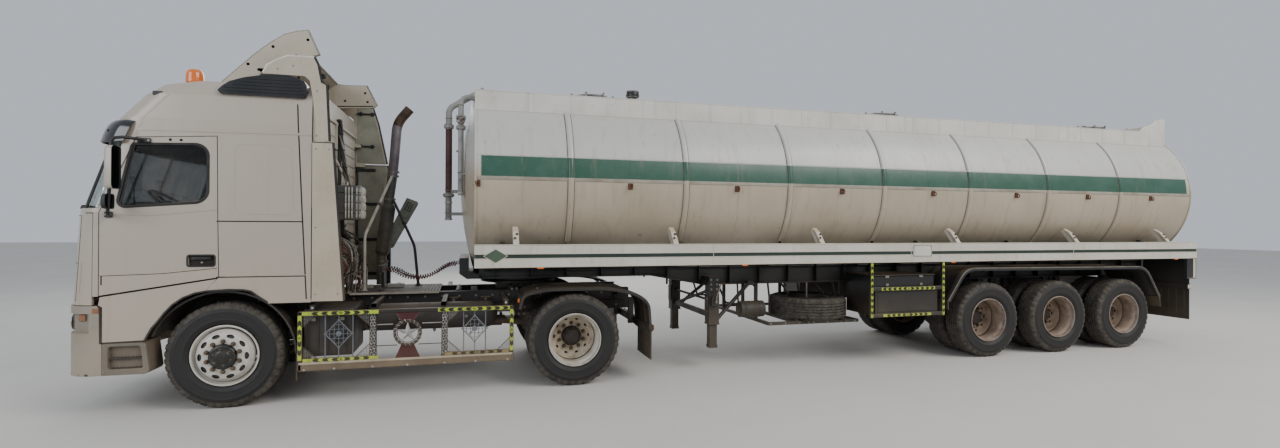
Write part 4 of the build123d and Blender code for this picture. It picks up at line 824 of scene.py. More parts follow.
frame_grease = surface("frame_grease", (36, 32, 27), rough=0.34, metal=0.35, vary=0.5, scale=8, dust=0.0, up=0.30, grain=30, bump=0.35,
                       dark=(18, 16, 14), rust=0.3)
trailer_black = surface("trailer_black", (26, 28, 29), rough=0.55, vary=0.25, scale=3, dust=0.15, dust_z=(0.3, 1.4), up=0.20, grain=40,
                        bump=0.25, rust=0.3)
white_worn = surface("white_worn", (198, 194, 184), rough=0.55, vary=0.18, scale=3, dust=0.4, dust_z=(0.9, 1.9), up=0.4, streak=0.25,
                     grain=40, bump=0.12, rust=0.35, dark=(164, 154, 136))
board_paint = surface("board_paint", (203, 201, 194), rough=0.5, vary=0.12, scale=2, dust=0.0, up=0.35, streak=0.28, grain=40, bump=0.1,
                      rust=0.22, dark=(168, 162, 150))
pipe_grey = surface("pipe_grey", (148, 148, 144), rough=0.5, vary=0.2, scale=5, dust=0.0, up=0.3, streak=0.3, grain=50, bump=0.18, rust=0.35)
manhole_grey = surface("manhole_grey", (122, 122, 118), rough=0.5, metal=0.3, vary=0.25, scale=7, dust=0.0, up=0.4, streak=0.2, grain=50,
                       bump=0.2, rust=0.5)
inside_dark = surface("inside_dark", (40, 41, 43), rough=0.68, vary=0.14, scale=6, dust=0.0, up=0.16, grain=150, bump=0.3)
inside_grey = surface("inside_grey", (88, 88, 88), rough=0.66, vary=0.12, scale=6, dust=0.0, up=0.14, grain=150, bump=0.25)
red_paint = surface("red_paint", (150, 34, 30), rough=0.42, vary=0.2, scale=8, dust=0.35, dust_z=(0.3, 1.2), up=0.4, grain=60, bump=0.1, chips=0.3)
blue_grey = surface("blue_grey", (84, 98, 114), rough=0.5, vary=0.2, scale=8, dust=0.35, dust_z=(0.3, 1.2), up=0.4, grain=60, bump=0.1, chips=0.3)
green_paint = surface("green_paint", (34, 78, 62), rough=0.42, vary=0.2, scale=4, dust=0.3, dust_z=(0.9, 2.0), up=0.3, grain=60, bump=0.08, chips=0.3)
amber_dull = surface("amber_dull", (140, 82, 46), rough=0.3, vary=0.2, scale=20, dust=0.2, dust_z=(0.3, 1.6), up=0.25, grain=80, bump=0.05, coat=0.5)
amber = surface("amber_lens", (226, 112, 22), rough=0.22, vary=0.1, scale=20, dust=0.15, dust_z=(0.3, 1.6), up=0.25, grain=80, bump=0.05, coat=0.6)
red_lens = surface("red_lens", (150, 18, 16), rough=0.22, vary=0.1, scale=20, dust=0.2, dust_z=(0.3, 1.2), up=0.25, grain=80, bump=0.05, coat=0.6)
white_lens = surface("white_lens", (214, 214, 208), rough=0.2, vary=0.06, scale=20, dust=0.2, dust_z=(0.3, 1.2), up=0.2, grain=80, bump=0.05, coat=0.6)
sill_dusty = surface("sill_dusty", (176, 168, 152), rough=0.65, vary=0.25, scale=5, dust=0.5, dust_z=(0.25, 1.0), up=0.6, grain=60, bump=0.2,
                     rust=0.3)
glass_side = glass("glass_side", (8, 12, 12), 0.03, 0.66)
glass_front = glass("glass_front", (150, 184, 172), 0.02, 0.30)
lens_clear = glass("lens_clear", (214, 222, 224), 0.05, 0.30)


def tape_mat(name, a, b, period=0.12, slope=(1.0, 0.0, 1.0), width=0.5):
    """reflective tape: slanted bars of two colours with a fine honeycomb grain, dust and scuffs."""
    g = Graph(name)
    v = g.scale(g.pos, slope)
    x, y, z = g.xyz(v)
    t = g.math("FRACT", g.math("DIVIDE", g.math("ADD", g.math("ADD", x, y), z), period))
    bar = g.ramp(t, width - 0.012, width + 0.012, 0.0, 1.0)
    edge = g.ramp(t, 0.012, 0.0, 0.0, 1.0)
    f = g.math("MULTIPLY", bar, g.math("SUBTRACT", 1.0, edge))
    col = g.mix(f, srgb(*a), srgb(*b))
    wear = g.ramp(g.noise(26.0, 6.0, 0.7, shift=4.0), 0.5, 0.75, 0.0, 0.55)
    col = g.mix(wear, col, srgb(150, 132, 104))
    g.set(color=col, rough=g.ramp(wear, 0.0, 0.5, 0.3, 0.7), spec=0.6)
    cell = g.t.nodes.new("ShaderNodeTexVoronoi")
    g.put(cell.inputs["Vector"], g.pos)
    cell.inputs["Scale"].default_value = 260.0
    g.bump(cell.outputs["Distance"], 0.25, 0.0008)
    return g.mat


tape_guard = tape_mat("tape_yellow_black", (196, 190, 60), (30, 30, 24), 0.105)
tape_red = tape_mat("tape_red_white", (190, 40, 34), (208, 204, 196), 0.30, (1.0, 0.0, 0.0))
tape_red_z = tape_mat("tape_red_white_upright", (190, 40, 34), (208, 204, 196), 0.24, (0.0, 0.0, 1.0))


def tank_material():
    """cool off-white above, a green band at half height, warmer and darker below as painted shade, rust runs under the
    seams.
    """
    g = Graph("tank_paint_and_shade")
    x, y, z = g.xyz(g.pos)
    big = g.noise(0.9, 5.0, 0.6)
    fine = g.noise(26.0, 4.0, 0.6, shift=3.0)
    # painted shade: the lower half's warmer, darker tones stand for the shade below the tank's widest line
    upper = g.mix(g.ramp(big, 0.3, 0.75, 0.0, 0.45), srgb(188, 188, 183), srgb(168, 167, 160))
    lower = g.mix(g.ramp(big, 0.3, 0.75, 0.0, 0.6), srgb(176, 164, 145), srgb(152, 138, 116))
    col = g.mix(g.ramp(z, 2.66, 2.34), upper, lower)
    # painted shade: a deep, greenish darkening towards the underside
    under = g.ramp(g.math("ADD", z, g.math("MULTIPLY", g.noise(1.6, 5.0, 0.6, shift=9.0), 0.35)), 1.98, 1.52, 0.0, 0.75)
    col = g.mix(under, col, srgb(112, 108, 88))
    # runs that fade downwards
    run = g.ramp(g.noise(11.0, 4.0, 0.62, stretch=(1.0, 0.6, 0.045), shift=7.0), 0.50, 0.76, 0.0, 0.55)
    col = g.mix(g.math("MULTIPLY", run, g.ramp(z, 3.45, 1.6, 0.35, 1.0)), col, srgb(138, 126, 104))
    run2 = g.ramp(g.noise(30.0, 3.0, 0.6, stretch=(1.0, 0.6, 0.03), shift=17.0), 0.60, 0.80, 0.0, 0.45)
    col = g.mix(run2, col, srgb(112, 98, 80))
    # the green band, with worn edges
    edge = g.math("MULTIPLY", g.math("SUBTRACT", g.noise(40.0, 4.0, 0.7, shift=13.0), 0.5), 0.010)
    zz = g.math("ADD", z, edge)
    band = g.math("MULTIPLY", g.ramp(zz, 2.380, 2.386), g.ramp(zz, 2.618, 2.612))
    ends = g.math("MULTIPLY", g.ramp(x, FRONT_AXLE_X - 13.40, FRONT_AXLE_X - 13.38), g.ramp(x, FRONT_AXLE_X - 2.44, FRONT_AXLE_X - 2.46))
    band = g.math("MULTIPLY", band, ends)
    green = g.mix(g.ramp(g.noise(5.0, 6.0, 0.65, shift=19.0), 0.35, 0.75, 0.0, 0.55), srgb(36, 80, 64), srgb(66, 98, 84))
    green = g.mix(g.ramp(run, 0.1, 0.5, 0.0, 0.35), green, srgb(118, 112, 94))
    chip = g.ramp(g.noise(55.0, 6.0, 0.72, shift=29.0), 0.655, 0.68, 1.0, 0.15)
    col = g.mix(g.math("MULTIPLY", band, chip), col, green)
    # rust
    spot = g.ramp(g.noise(6.0, 9.0, 0.74, shift=31.0), 0.635, 0.70, 0.0, 0.85)
    col = g.mix(spot, col, RUST)
    rr = g.ramp(g.noise(17.0, 4.0, 0.62, stretch=(1.0, 0.6, 0.05), shift=41.0), 0.70, 0.80, 0.0, 0.6)
    col = g.mix(g.math("MULTIPLY", rr, g.ramp(z, 2.95, 2.2, 0.2, 1.0)), col, srgb(126, 80, 50))
    top = g.ramp(g.xyz(g.nor)[2], 0.55, 0.98, 0.0, 0.45)
    col = g.mix(top, col, srgb(178, 164, 138))
    g.set(color=col, rough=g.ramp(big, 0.3, 0.8, 0.34, 0.52), spec=0.5, coat=0.12)
    g.bsdf.inputs["Coat Roughness"].default_value = 0.2
    g.bump(g.math("ADD", g.math("MULTIPLY", fine, 0.4), g.math("MULTIPLY", g.noise(1.8, 3.0, 0.5, shift=5.0), 2.2)), 0.25, 0.004)
    return g.mat


tank_paint_and_shade = tank_material()


def rail_material():
    """off-white side rail with a painted green line in its groove."""
    g = Graph("rail_paint")
    x, y, z = g.xyz(g.pos)
    big = g.noise(1.2, 5.0, 0.6)
    col = g.mix(g.ramp(big, 0.3, 0.75, 0.0, 0.6), srgb(202, 198, 188), srgb(172, 164, 148))
    run = g.ramp(g.noise(16.0, 4.0, 0.62, stretch=(1.0, 1.0, 0.10), shift=7.0), 0.52, 0.78, 0.0, 0.5)
    col = g.mix(run, col, srgb(134, 120, 98))
    line = g.math("MULTIPLY", g.ramp(z, 1.464, 1.467), g.ramp(z, 1.511, 1.508))
    col = g.mix(g.math("MULTIPLY", line, 0.92), col, srgb(30, 54, 46))
    spot = g.ramp(g.noise(8.0, 8.0, 0.74, shift=31.0), 0.62, 0.70, 0.0, 0.8)
    col = g.mix(spot, col, RUST)
    top = g.ramp(g.xyz(g.nor)[2], 0.55, 0.98, 0.0, 0.6)
    col = g.mix(top, col, SAND)
    g.set(color=col, rough=g.ramp(big, 0.3, 0.8, 0.42, 0.6))
    g.bump(g.noise(40.0, 4.0, 0.6, shift=3.0), 0.12, 0.002)
    return g.mat


rail_paint = rail_material()


def checker_plate():
    """raised lozenges on the deck plate, with dust between them."""
    g = Graph("checker_plate")
    v = g.scale(g.pos, (26.0, 26.0, 26.0))
    x, y, z = g.xyz(v)
    a = g.math("FRACT", g.math("ADD", x, y))
    b = g.math("FRACT", g.math("SUBTRACT", x, y))
    bar = g.math("MULTIPLY", g.ramp(g.math("ABSOLUTE", g.math("SUBTRACT", a, 0.5)), 0.30, 0.16), g.ramp(g.math("ABSOLUTE", g.math("SUBTRACT", b, 0.5)), 0.42, 0.34))
    col = g.mix(g.noise(6.0, 5.0, 0.6), srgb(28, 28, 28), srgb(46, 44, 40))
    col = g.mix(g.ramp(bar, 0.2, 0.9, 0.12, 0.02), col, SAND)
    g.set(color=col, rough=0.58, metal=0.1)
    g.bump(bar, 0.8, 0.003)
    return g.mat


deck_plate = checker_plate()

# every CAD node that stays visible gets a finish here
NODE_MATS = {
    "cab_shell": cab_paint, "door_left": cab_paint, "door_right": cab_paint, "door_glass_left": glass_side, "door_glass_right": glass_side,
    "windscreen": glass_front, "front_panel": cab_paint, "front_bumper": bumper_grey, "roof_deflector": cab_paint_dusty,
    "side_fairings": cab_paint_dusty, "step_panels": plastic_grey, "mirror_left": cab_paint, "mirror_right": cab_paint,
    "visor_and_intakes": plastic_gloss, "front_lamps": lens_clear, "cab_interior": inside_dark, "seats_and_bunk": inside_grey,
    "steering_wheel": plastic_black, "chassis_frame": chassis_black, "engine_block": engine_cast, "front_axle": cast_dusty,
    "drive_axle": cast_dusty, "steering_knuckle_left": cast_dusty, "steering_knuckle_right": cast_dusty, "tie_rod": cast_dusty,
    "side_tanks": chassis_black, "side_guards": chassis_black, "mudguards": plastic_black, "fifth_wheel": frame_grease,
    "exhaust_stack": exhaust_steel, "air_cleaner": plastic_dark, "deck_brackets": chassis_black, "trailer_frame": trailer_black,
    "side_rails": rail_paint, "tank_shell": tank_paint_and_shade, "walkway_and_ladder": board_paint, "manholes": manhole_grey,
    "front_pipes": pipe_grey, "landing_legs": trailer_black, "spare_tyre": rubber_side, "spare_carrier": trailer_black,
    "trailer_guards": trailer_black, "trailer_axles": cast_dusty, "rear_bumper": trailer_black,
}
for nm, mt in NODE_MATS.items():
    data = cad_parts[nm].data
    if len(data.materials) == 0:
        data.materials.append(mt)
    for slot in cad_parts[nm].material_slots:
        slot.material = mt

# ================================================================ cab: surface functions and helpers
CAB = [(1.040, 1.245, -1.385, .075, .290, .245), (1.940, 1.245, -1.335, .075, .290, .245), (2.850, 1.228, -1.030, .075, .300, .240),
       (3.090, 1.208, -.830, .075, .300, .235), (3.200, 1.165, -.690, .070, .290, .230), (3.258, 1.080, -.480, .060, .270, .220)]


def cab_sec(z):
    z = min(max(z, CAB[0][0]), CAB[-1][0])
    for a, b in zip(CAB, CAB[1:]):
        if z <= b[0]:
            f = (z - a[0]) / (b[0] - a[0])
            return [p + (q - p) * f for p, q in zip(a[1:], b[1:])]
    return list(CAB[-1][1:])


def cab_y(s, z):
    """half width of the cab's outside at distance s and height z."""
    hw, sf, bulge, cs, cy = cab_sec(z)
    if s >= sf + bulge + cs:
        return hw
    t = min(1.0, (sf + bulge + cs - s) / cs)
    return hw - cy + cy * math.sqrt(1 - t * t)


def cab_par(par, z):
    """point of the cab's front: par 0 is the middle, 0.8 the start of the corner, 1 a point 84 degrees round it."""
    hw, sf, bulge, cs, cy = cab_sec(z)
    a = abs(par)
    sg = 1.0 if par >= 0 else -1.0
    if a <= 0.8:
        return P(sf + bulge * (a / 0.8) ** 2, sg * (hw - cy) * a / 0.8, z)
    q = (a - 0.8) / 0.2 * math.radians(84)
    return P(sf + bulge + cs - cs * math.cos(q), sg * (hw - cy + cy * math.sin(q)), z)


def cab_par_n(par, z, off=0.0):
    p = cab_par(par, z)
    u = cab_par(par + 0.004, z) - cab_par(par - 0.004, z)
    v = cab_par(par, z + 0.01) - cab_par(par, z - 0.01)
    n = u.cross(v).normalized()
    if n.x < 0 and abs(par) < 0.9:
        n = -n
    if n.y * par < 0 and abs(par) >= 0.9:
        n = -n
    return p + n * off, n


def side_pt(s, z, off=0.0, sg=1):
    y = cab_y(s, z)
    n = Vector((0, 1, (cab_y(s, z - 0.02) - cab_y(s, z + 0.02)) / 0.04)).normalized()
    dy = (cab_y(s + 0.01, z) - cab_y(s - 0.01, z)) / 0.02
    n = Vector((dy, n.y, n.z)).normalized()
    p = P(s, y, z) + n * off
    if sg < 0:
        p.y, n = -p.y, Vector((n.x, -n.y, n.z))
    return p, n


def band(kit, pts, nrm, w, t, mat=0, closed=False, edge=0.8):
    """a flat strip of width w that stands t proud, with its own normal at each point."""
    m = len(pts)
    v, f = [], []
    for i in range(m):
        if closed:
            d = pts[(i + 1) % m] - pts[i - 1]
        else:
            d = pts[min(i + 1, m - 1)] - pts[max(i - 1, 0)]
        side = d.cross(nrm[i]).normalized() * (w / 2)
        p, n = pts[i], nrm[i]
        v += [p - side - n * t * 0.5, p + side - n * t * 0.5, p + side * edge + n * t, p - side * edge + n * t]
    for i in range(m if closed else m - 1):
        a, b = i * 4, ((i + 1) % m) * 4
        for k in range(4):
            j = (k + 1) % 4
            f.append((a + k, a + j, b + j, b + k))
    if not closed:
        f.append((3, 2, 1, 0))
        e = (m - 1) * 4
        f.append((e, e + 1, e + 2, e + 3))
    kit.add(v, f, mat)


def side_line(kit, line, w, t, mat=0, step=0.08, sg=1):
    """a strip along a line of (s, z) points on the cab's side."""
    pts, nrm = [], []
    for (s0, z0), (s1, z1) in zip(line, line[1:]):
        n = max(1, int(math.hypot(s1 - s0, z1 - z0) / step))
        for i in range(n + (1 if (s1, z1) == line[-1] else 0)):
            p, q = side_pt(s0 + (s1 - s0) * i / n, z0 + (z1 - z0) * i / n, 0.0, sg)
            pts.append(p)
            nrm.append(q)
    band(kit, pts, nrm, w, t, mat)


def round_poly(pts, radii, n=7):
    """corner points of a flat outline with its corners rounded."""
    out = []
    m = len(pts)
    for i in range(m):
        p = Vector((*pts[i], 0))
        a = (Vector((*pts[i - 1], 0)) - p).normalized()
        b = (Vector((*pts[(i + 1) % m], 0)) - p).normalized()
        half = a.angle(b) / 2
        r = radii[i]
        if r <= 0:
            out.append((p.x, p.y))
            continue
        d = r / math.tan(half)
        c = p + (a + b).normalized() * (r / math.sin(half))
        p0, p1 = p + a * d - c, p + b * d - c
        ang = p0.angle(p1)
        ax = p0.cross(p1).normalized()
        for k in range(n + 1):
            q = Matrix.Rotation(ang * k / n, 3, ax) @ p0 + c
            out.append((q.x, q.y))
    return out


def mirrored(kit):
    k = Kit()
    k.v = [(x, -y, z) for x, y, z in kit.v]
    k.f = [tuple(reversed(f)) for f in kit.f]
    k.m, k.s = list(kit.m), list(kit.s)
    return k


def pair(kit, names, mats, bodies, slots=None, replaces=None, **kw):
    """one piece on the left and its mirror image on the right."""
    for i, k in enumerate((kit, mirrored(kit))):
        k.make(names[i], mats, bodies[i], slots[i] if slots else None, replaces[i] if replaces else None, **kw)


BOTH_CAB = ("tractor", "tractor")
DOORS = ("driver_door", "passenger_door")

# ---------------------------------------------------------------- seams, gutter and small parts of the cab's sides
k = Kit()
for sg in (1, -1):
    side_line(k, [(-0.055, 1.858), (0.700, 1.858)], 0.013, 0.0008, 0, sg=sg)
    side_line(k, [(-0.055, 1.309), (0.728, 1.309)], 0.014, 0.0010, 0, sg=sg)
    side_line(k, [(-0.76, 2.716), (0.775, 2.730)], 0.009, 0.0012, 1, sg=sg)
    side_line(k, [(-0.74, 2.734), (0.775, 2.748)], 0.022, 0.004, 1, sg=sg)
    side_line(k, [(0.641, 3.100), (0.700, 1.900), (0.740, 1.075)], 0.014, 0.0012, 0, sg=sg)
    side_line(k, [(0.02, 1.318), (0.735, 1.318)], 0.010, 0.003, 1, sg=sg)
    # small shallow panel in the sleeper's side
    pts, nrm = [], []
    for s, z in round_poly([(0.10, 1.93), (0.10, 2.62), (0.60, 2.62), (0.62, 1.93)], [0.05] * 4, 5):
        p, q = side_pt(s, z, 0.0, sg)
        pts.append(p)
        nrm.append(q)
    band(k, pts, nrm, 0.006, 0.0015, 1, closed=True)
k.make("cab_seams", [seam_dark_and_hole_shade, cab_paint], "tractor", "cab_shell", sharp=30)

# windscreen surround and wipers
k = Kit()


def screen_ring(z0, z1, p0, p1, n=26):
    pts, nrm = [], []
    path = [(-p0 + 2 * p0 * i / n, z0) for i in range(n)] + [(p0 + (p1 - p0) * i / 8, z0 + (z1 - z0) * i / 8) for i in range(8)]
    path += [(p1 - 2 * p1 * i / n, z1) for i in range(n)] + [(-p1 + (p1 - p0) * i / 8, z1 + (z0 - z1) * i / 8) for i in range(8)]
    for a, z in path:
        p, q = cab_par_n(a, z, 0.001)
        pts.append(p)
        nrm.append(q)
    return pts, nrm


pts, nrm = screen_ring(1.988, 2.776, 0.925, 0.905)
band(k, pts, nrm, 0.042, 0.006, 0, closed=True)
pts, nrm = screen_ring(1.935, 1.936, 0.93, 0.93)
for a in (-0.62, -0.16, 0.30):
    foot, nf = cab_par_n(a, 1.955, 0.012)
    k.lathe(foot - nf * 0.01, nf, [(0, 0), (0, .026), (.018, .024), (.030, .014), (.032, 0)], 14, 0)
    mid, nm_ = cab_par_n(a + 0.20, 2.20, 0.030)
    tip, nt_ = cab_par_n(a + 0.36, 2.33, 0.022)
    k.tube([foot + nf * 0.02, foot.lerp(mid, 0.5) + nf * 0.022, mid, tip], [0.011, 0.010, 0.008, 0.006], 8, 0)
    bl = []
    for i in range(9):
        p, q = cab_par_n(a + 0.26 + 0.0 * i, 2.02 + 0.075 * i, 0.010)
        bl.append(p)
    band(k, bl, [cab_par_n(a + 0.26, 2.02 + 0.075 * i)[1] for i in range(9)], 0.016, 0.014, 0)
    p, q = cab_par_n(a + 0.26, 2.32, 0.022)
    k.tube([tip, p], 0.006, 8, 0)
k.make("windscreen_surround", [rubber_black], "tractor", "cab_shell", sharp=40)

# grille mesh behind the slots and in the bumper, blank badge plate
k = Kit()
for z0 in (1.130, 1.210, 1.290, 1.370):
    row = [cab_par(-0.70 + 1.40 * i / 24, z0 + 0.021) + Vector((-0.034, 0, 0)) for i in range(25)]
    band(k, row, [Vector((1, 0, 0))] * 25, 0.052, 0.003, 0)
    for i in range(61):
        c = cab_par(-0.60 + 1.20 * i / 60, z0 + 0.021) + Vector((-0.026, 0, 0))
        k.box(c + Vector((-0.004, -0.004, -0.022)), c + Vector((0.004, 0.004, 0.022)), 1)
    for dz in (0.011, 0.031):
        k.tube([cab_par(-0.62 + 1.24 * i / 20, z0 + dz) + Vector((-0.023, 0, 0)) for i in range(21)], 0.0028, 6, 1)
    band(k, [cab_par(-0.615 + 1.23 * i / 24, z0 - 0.004) + Vector((0.0, 0, 0)) for i in range(25)], [cab_par_n(-0.615 + 1.23 * i / 24, z0)[1] for i in range(25)], 0.008, 0.003, 1)
for y in [v * 0.04 for v in range(-13, 14)]:
    k.sbox(-1.372, -1.362, y - .004, y + .004, .745, .857, 1)
for z in (.775, .80, .825):
    k.sbox(-1.370, -1.364, -.555, .555, z - .003, z + .003, 1)
k.sbox(-1.330, -1.322, -.56, .56, .742, .858, 0)
k.make("grille_mesh", [seam_dark_and_hole_shade, plastic_black], "tractor", "front_panel")
k = Kit()
oval = [(0.11 * math.cos(a), 1.56 + 0.045 * math.sin(a)) for a in [math.radians(v) for v in range(0, 360, 12)]]
k.prism(oval, -1.3655, -1.372, "yz", 0)
oval = [(0.092 * math.cos(a), 1.56 + 0.032 * math.sin(a)) for a in [math.radians(v) for v in range(0, 360, 12)]]
k.prism(oval, -1.370, -1.3745, "yz", 1)
k.prism([(-.26, .905), (.26, .905), (.26, 1.02), (-.26, 1.02)], -1.392, -1.397, "yz", 2)
for y in (-.22, .22):
    k.bolt(P(-1.397, y, .962), (1, 0, 0), .006, .004, 0, False)
k.make("front_blank_badge", [bright_steel, cab_paint, white_worn], "tractor", "front_panel", bevel=0.0012)

# front panel: lid seam, handles, lower air intake lip, corner slots
k = Kit()
for z in (1.455, 1.905):
    pts = [cab_par_n(-0.9 + 1.8 * i / 40, z, 0.0) for i in range(41)]
    band(k, [p for p, n in pts], [n for p, n in pts], 0.008, 0.001, 0)
for sg in (1, -1):
    pts = [cab_par_n(sg * 0.905, 1.10 + 0.8 * i / 12, 0.0) for i in range(13)]
    band(k, [p for p, n in pts], [n for p, n in pts], 0.008, 0.001, 0)
    pts = [cab_par_n(sg * 0.945, 1.19 + 0.26 * i / 6, 0.0) for i in range(7)]
    band(k, [p for p, n in pts], [n for p, n in pts], 0.030, 0.002, 0)
    pts = [cab_par_n(sg * 0.945, 1.175 + 0.29 * i / 6, 0.0) for i in range(7)]
    band(k, [p + (cab_par(sg * 0.93, 1.3) - cab_par(sg * 0.945, 1.3)) for p, n in pts], [n for p, n in pts], 0.012, 0.006, 1)
    pts = [cab_par_n(sg * (0.30 + 0.05 * i), 1.93, 0.0) for i in range(8)]
    band(k, [p for p, n in pts], [n for p, n in pts], 0.020, 0.018, 2)
k.make("front_panel_trim", [seam_dark_and_hole_shade, cab_paint, plastic_black], "tractor", "front_panel", sharp=30)

# ---------------------------------------------------------------- doors
WIN = round_poly([(-.880, 1.985), (-.758, 2.590), (-.133, 2.611), (-.130, 2.045)], [.060, .030, .110, .120], 8)
k = Kit()
pts, nrm = [], []
for s, z in WIN:
    p, q = side_pt(s, z, 0.0)
    pts.append(p)
    nrm.append(q)
band(k, pts, nrm, 0.030, 0.005, 0, closed=True, edge=0.7)
# corner strip between the small front pane and the main glass
side_line(k, [(-.845, 2.02), (-.735, 2.585)], 0.012, 0.004, 0)
# raised moulding under the window and press lines
side_line(k, [(-1.000, 1.925), (-.60, 1.915), (-.05, 1.975)], 0.016, 0.004, 1)
side_line(k, [(-1.000, 1.345), (-.50, 1.360), (-.050, 1.405)], 0.010, 0.003, 1)
side_line(k, [(-1.000, 1.337), (-.50, 1.352), (-.050, 1.397)], 0.006, 0.0008, 2)
# bolts on the strip above the window
for s in (-.45, -.36):
    p, q = side_pt(s, 2.642, 0.0)
    k.bolt(p, q, .009, .005, 2)
# handle: cup, rim and bar
k.sbox(-.291, -.075, 1.2172, 1.2200, 1.427, 1.518, 2)
k.box(P(-.291, 1.2200, 1.427), P(-.075, 1.2445, 1.4295), 2)
k.box(P(-.291, 1.2200, 1.5155), P(-.075, 1.2445, 1.518), 2)
ring = round_poly([(-.300, 1.418), (-.300, 1.527), (-.066, 1.527), (-.066, 1.418)], [.020] * 4, 5)
band(k, [P(s, 1.2450, z) for s, z in ring], [Vector((0, 1, 0))] * len(ring), 0.016, 0.003, 3, closed=True)
bar = [(-.285, 1.226), (-.268, 1.243), (-.235, 1.249), (-.130, 1.249), (-.105, 1.243), (-.095, 1.226)]
k.prism([(s, y) for s, y in bar] + [(s * 1.0, y - .010) for s, y in reversed(bar)], 1.484, 1.510, "xy", 3)
k.lathe(P(-.184, 1.2195, 1.452), (0, 1, 0), [(0, 0), (0, .012), (.006, .012), (.008, .009), (.008, 0)], 16, 4)
# grab slot and hinge covers on the front edge
for z in (1.30, 1.80):
    p, q = side_pt(-.995, z, -0.002)
    k.box(p + Vector((-.012, -.02, -.05)), p + Vector((.004, .002, .05)), 1, 0.002)
pair(k, ("door_trim_left", "door_trim_right"), [rubber_black, cab_paint, seam_dark_and_hole_shade, plastic_black, zinc], DOORS, ("door_left", "door_right"), bevel=0.0015, segs=1)

# inner door panels with arm rest
k = Kit()
k.prism(round_poly([(-.93, 1.36), (-.93, 1.93), (-.20, 1.98), (-.12, 1.44)], [.05] * 4, 4), 1.176, 1.168, "xz", 0)
k.prism(round_poly([(-.75, 1.66), (-.75, 1.73), (-.25, 1.75), (-.25, 1.66)], [.02] * 4, 4), 1.168, 1.115, "xz", 1)
k.prism(round_poly([(-.80, 1.39), (-.80, 1.50), (-.25, 1.53), (-.22, 1.42)], [.03] * 4, 4), 1.168, 1.135, "xz", 1)
k.tube([P(-.88, 1.168, 1.70), P(-.88, 1.135, 1.72), P(-.86, 1.130, 1.86), P(-.84, 1.160, 1.92)], .012, 10, 1)
pair(k, ("door_lining_left", "door_lining_right"), [inside_grey, inside_dark], DOORS, ("door_left", "door_right"), bevel=0.006)

# ---------------------------------------------------------------- mirrors
k = Kit()


def housing(kit, s0, s1, y0, y1, z0, z1, mat, mat2, mat3):
    """rounded shell, open to the rear, with a black rim and the mirror glass inside."""
    ring = round_poly([(y0, z0), (y0, z1), (y1, z1), (y1, z0)], [.030, .030, .045, .045], 6)
    cy, cz = (y0 + y1) / 2, (z0 + z1) / 2
    rows = []
    for s, f in ((s1, 1.0), (s1 - .012, 1.0), (s0 + .018, .97), (s0 + .005, .84), (s0, .62)):
        rows.append([P(s, cy + (y - cy) * f, cz + (z - cz) * (1 - (1 - f) * .35)) for y, z in ring])
    n = len(ring)
    v = [p for r in rows for p in r]
    f = []
    for i in range(len(rows) - 1):
        for j in range(n):
            q = (j + 1) % n
            f.append((i * n + j, i * n + q, (i + 1) * n + q, (i + 1) * n + j))
    f.append(tuple(range((len(rows) - 1) * n, len(rows) * n)))
    kit.add(v, f, mat, True)
    inner = [P(s1, cy + (y - cy) * .90, cz + (z - cz) * .955) for y, z in ring]
    deep = [P(s1 - .010, cy + (y - cy) * .88, cz + (z - cz) * .95) for y, z in ring]
    o = len(kit.v)
    kit.add(rows[0] + inner + deep, [(j, n + j, n + (j + 1) % n, (j + 1) % n) for j in range(n)]
            + [(n + j, 2 * n + j, 2 * n + (j + 1) % n, n + (j + 1) % n) for j in range(n)], mat2)
    kit.add(deep, [tuple(range(n))], mat3)


housing(k, -.862, -.797, 1.335, 1.500, 2.150, 2.548, 0, 1, 2)
housing(k, -.889, -.846, 1.335, 1.496, 1.965, 2.105, 1, 1, 2)
arm = [P(-.660, 1.236, 2.628), P(-.700, 1.300, 2.632), P(-.770, 1.372, 2.634), P(-.820, 1.400, 2.622), P(-.842, 1.408, 2.590), P(-.846, 1.410, 2.30),
       P(-.862, 1.412, 1.955), P(-.868, 1.402, 1.925), P(-.885, 1.360, 1.916), P(-.925, 1.262, 1.915)]
k.tube(arm, .0145, 12, 1)
k.sbox(-.715, -.605, 1.231, 1.252, 2.604, 2.648, 1, .006)
k.sbox(-.965, -.900, 1.245, 1.264, 1.887, 1.944, 1, .006)
for s, z, y in ((-.700, 2.626, 1.252), (-.620, 2.626, 1.252), (-.953, 1.915, 1.264), (-.912, 1.915, 1.264)):
    k.bolt(P(s, y, z), (0, 1, 0), .007, .005, 3)
mirror_glass = surface("mirror_glass", (30, 34, 38), rough=0.06, metal=0.9, vary=0.1, scale=6, dust=0.0, up=0.1, grain=60, bump=0.01)
pair(k, ("mirror_unit_left", "mirror_unit_right"), [cab_paint, plastic_black, mirror_glass, zinc], DOORS, ("mirror_left", "mirror_right"),
     ("mirror_left", "mirror_right"), sharp=50)

# ---------------------------------------------------------------- sun visor and roof side intakes
k = Kit()
prof = [(2.588, .052), (2.598, .064), (2.650, .064), (2.705, .063), (2.755, .056), (2.790, .043), (2.812, .026), (2.820, .010),
        (2.812, .016), (2.786, .034), (2.750, .048), (2.703, .056), (2.650, .057), (2.604, .053), (2.596, .048)]
rows = []
NP = 60
for i in range(NP + 1):
    par = -0.985 + 1.97 * i / NP
    fade = min(1.0, (0.985 - abs(par)) / 0.04 + 0.45)
    rows.append([cab_par_n(par, 2.706 + (z - 2.706) * (0.80 + 0.20 * fade), o * (0.55 + 0.45 * fade))[0] for z, o in prof])
n = len(prof)
v = [p for r in rows for p in r]
f = []
for i in range(NP):
    for j in range(n):
        q = (j + 1) % n
        f.append((i * n + j, i * n + q, (i + 1) * n + q, (i + 1) * n + j))
f.append(tuple(range(n)))
f.append(tuple(reversed(range(NP * n, NP * n + n))))
k.add(v, f, 0, True)
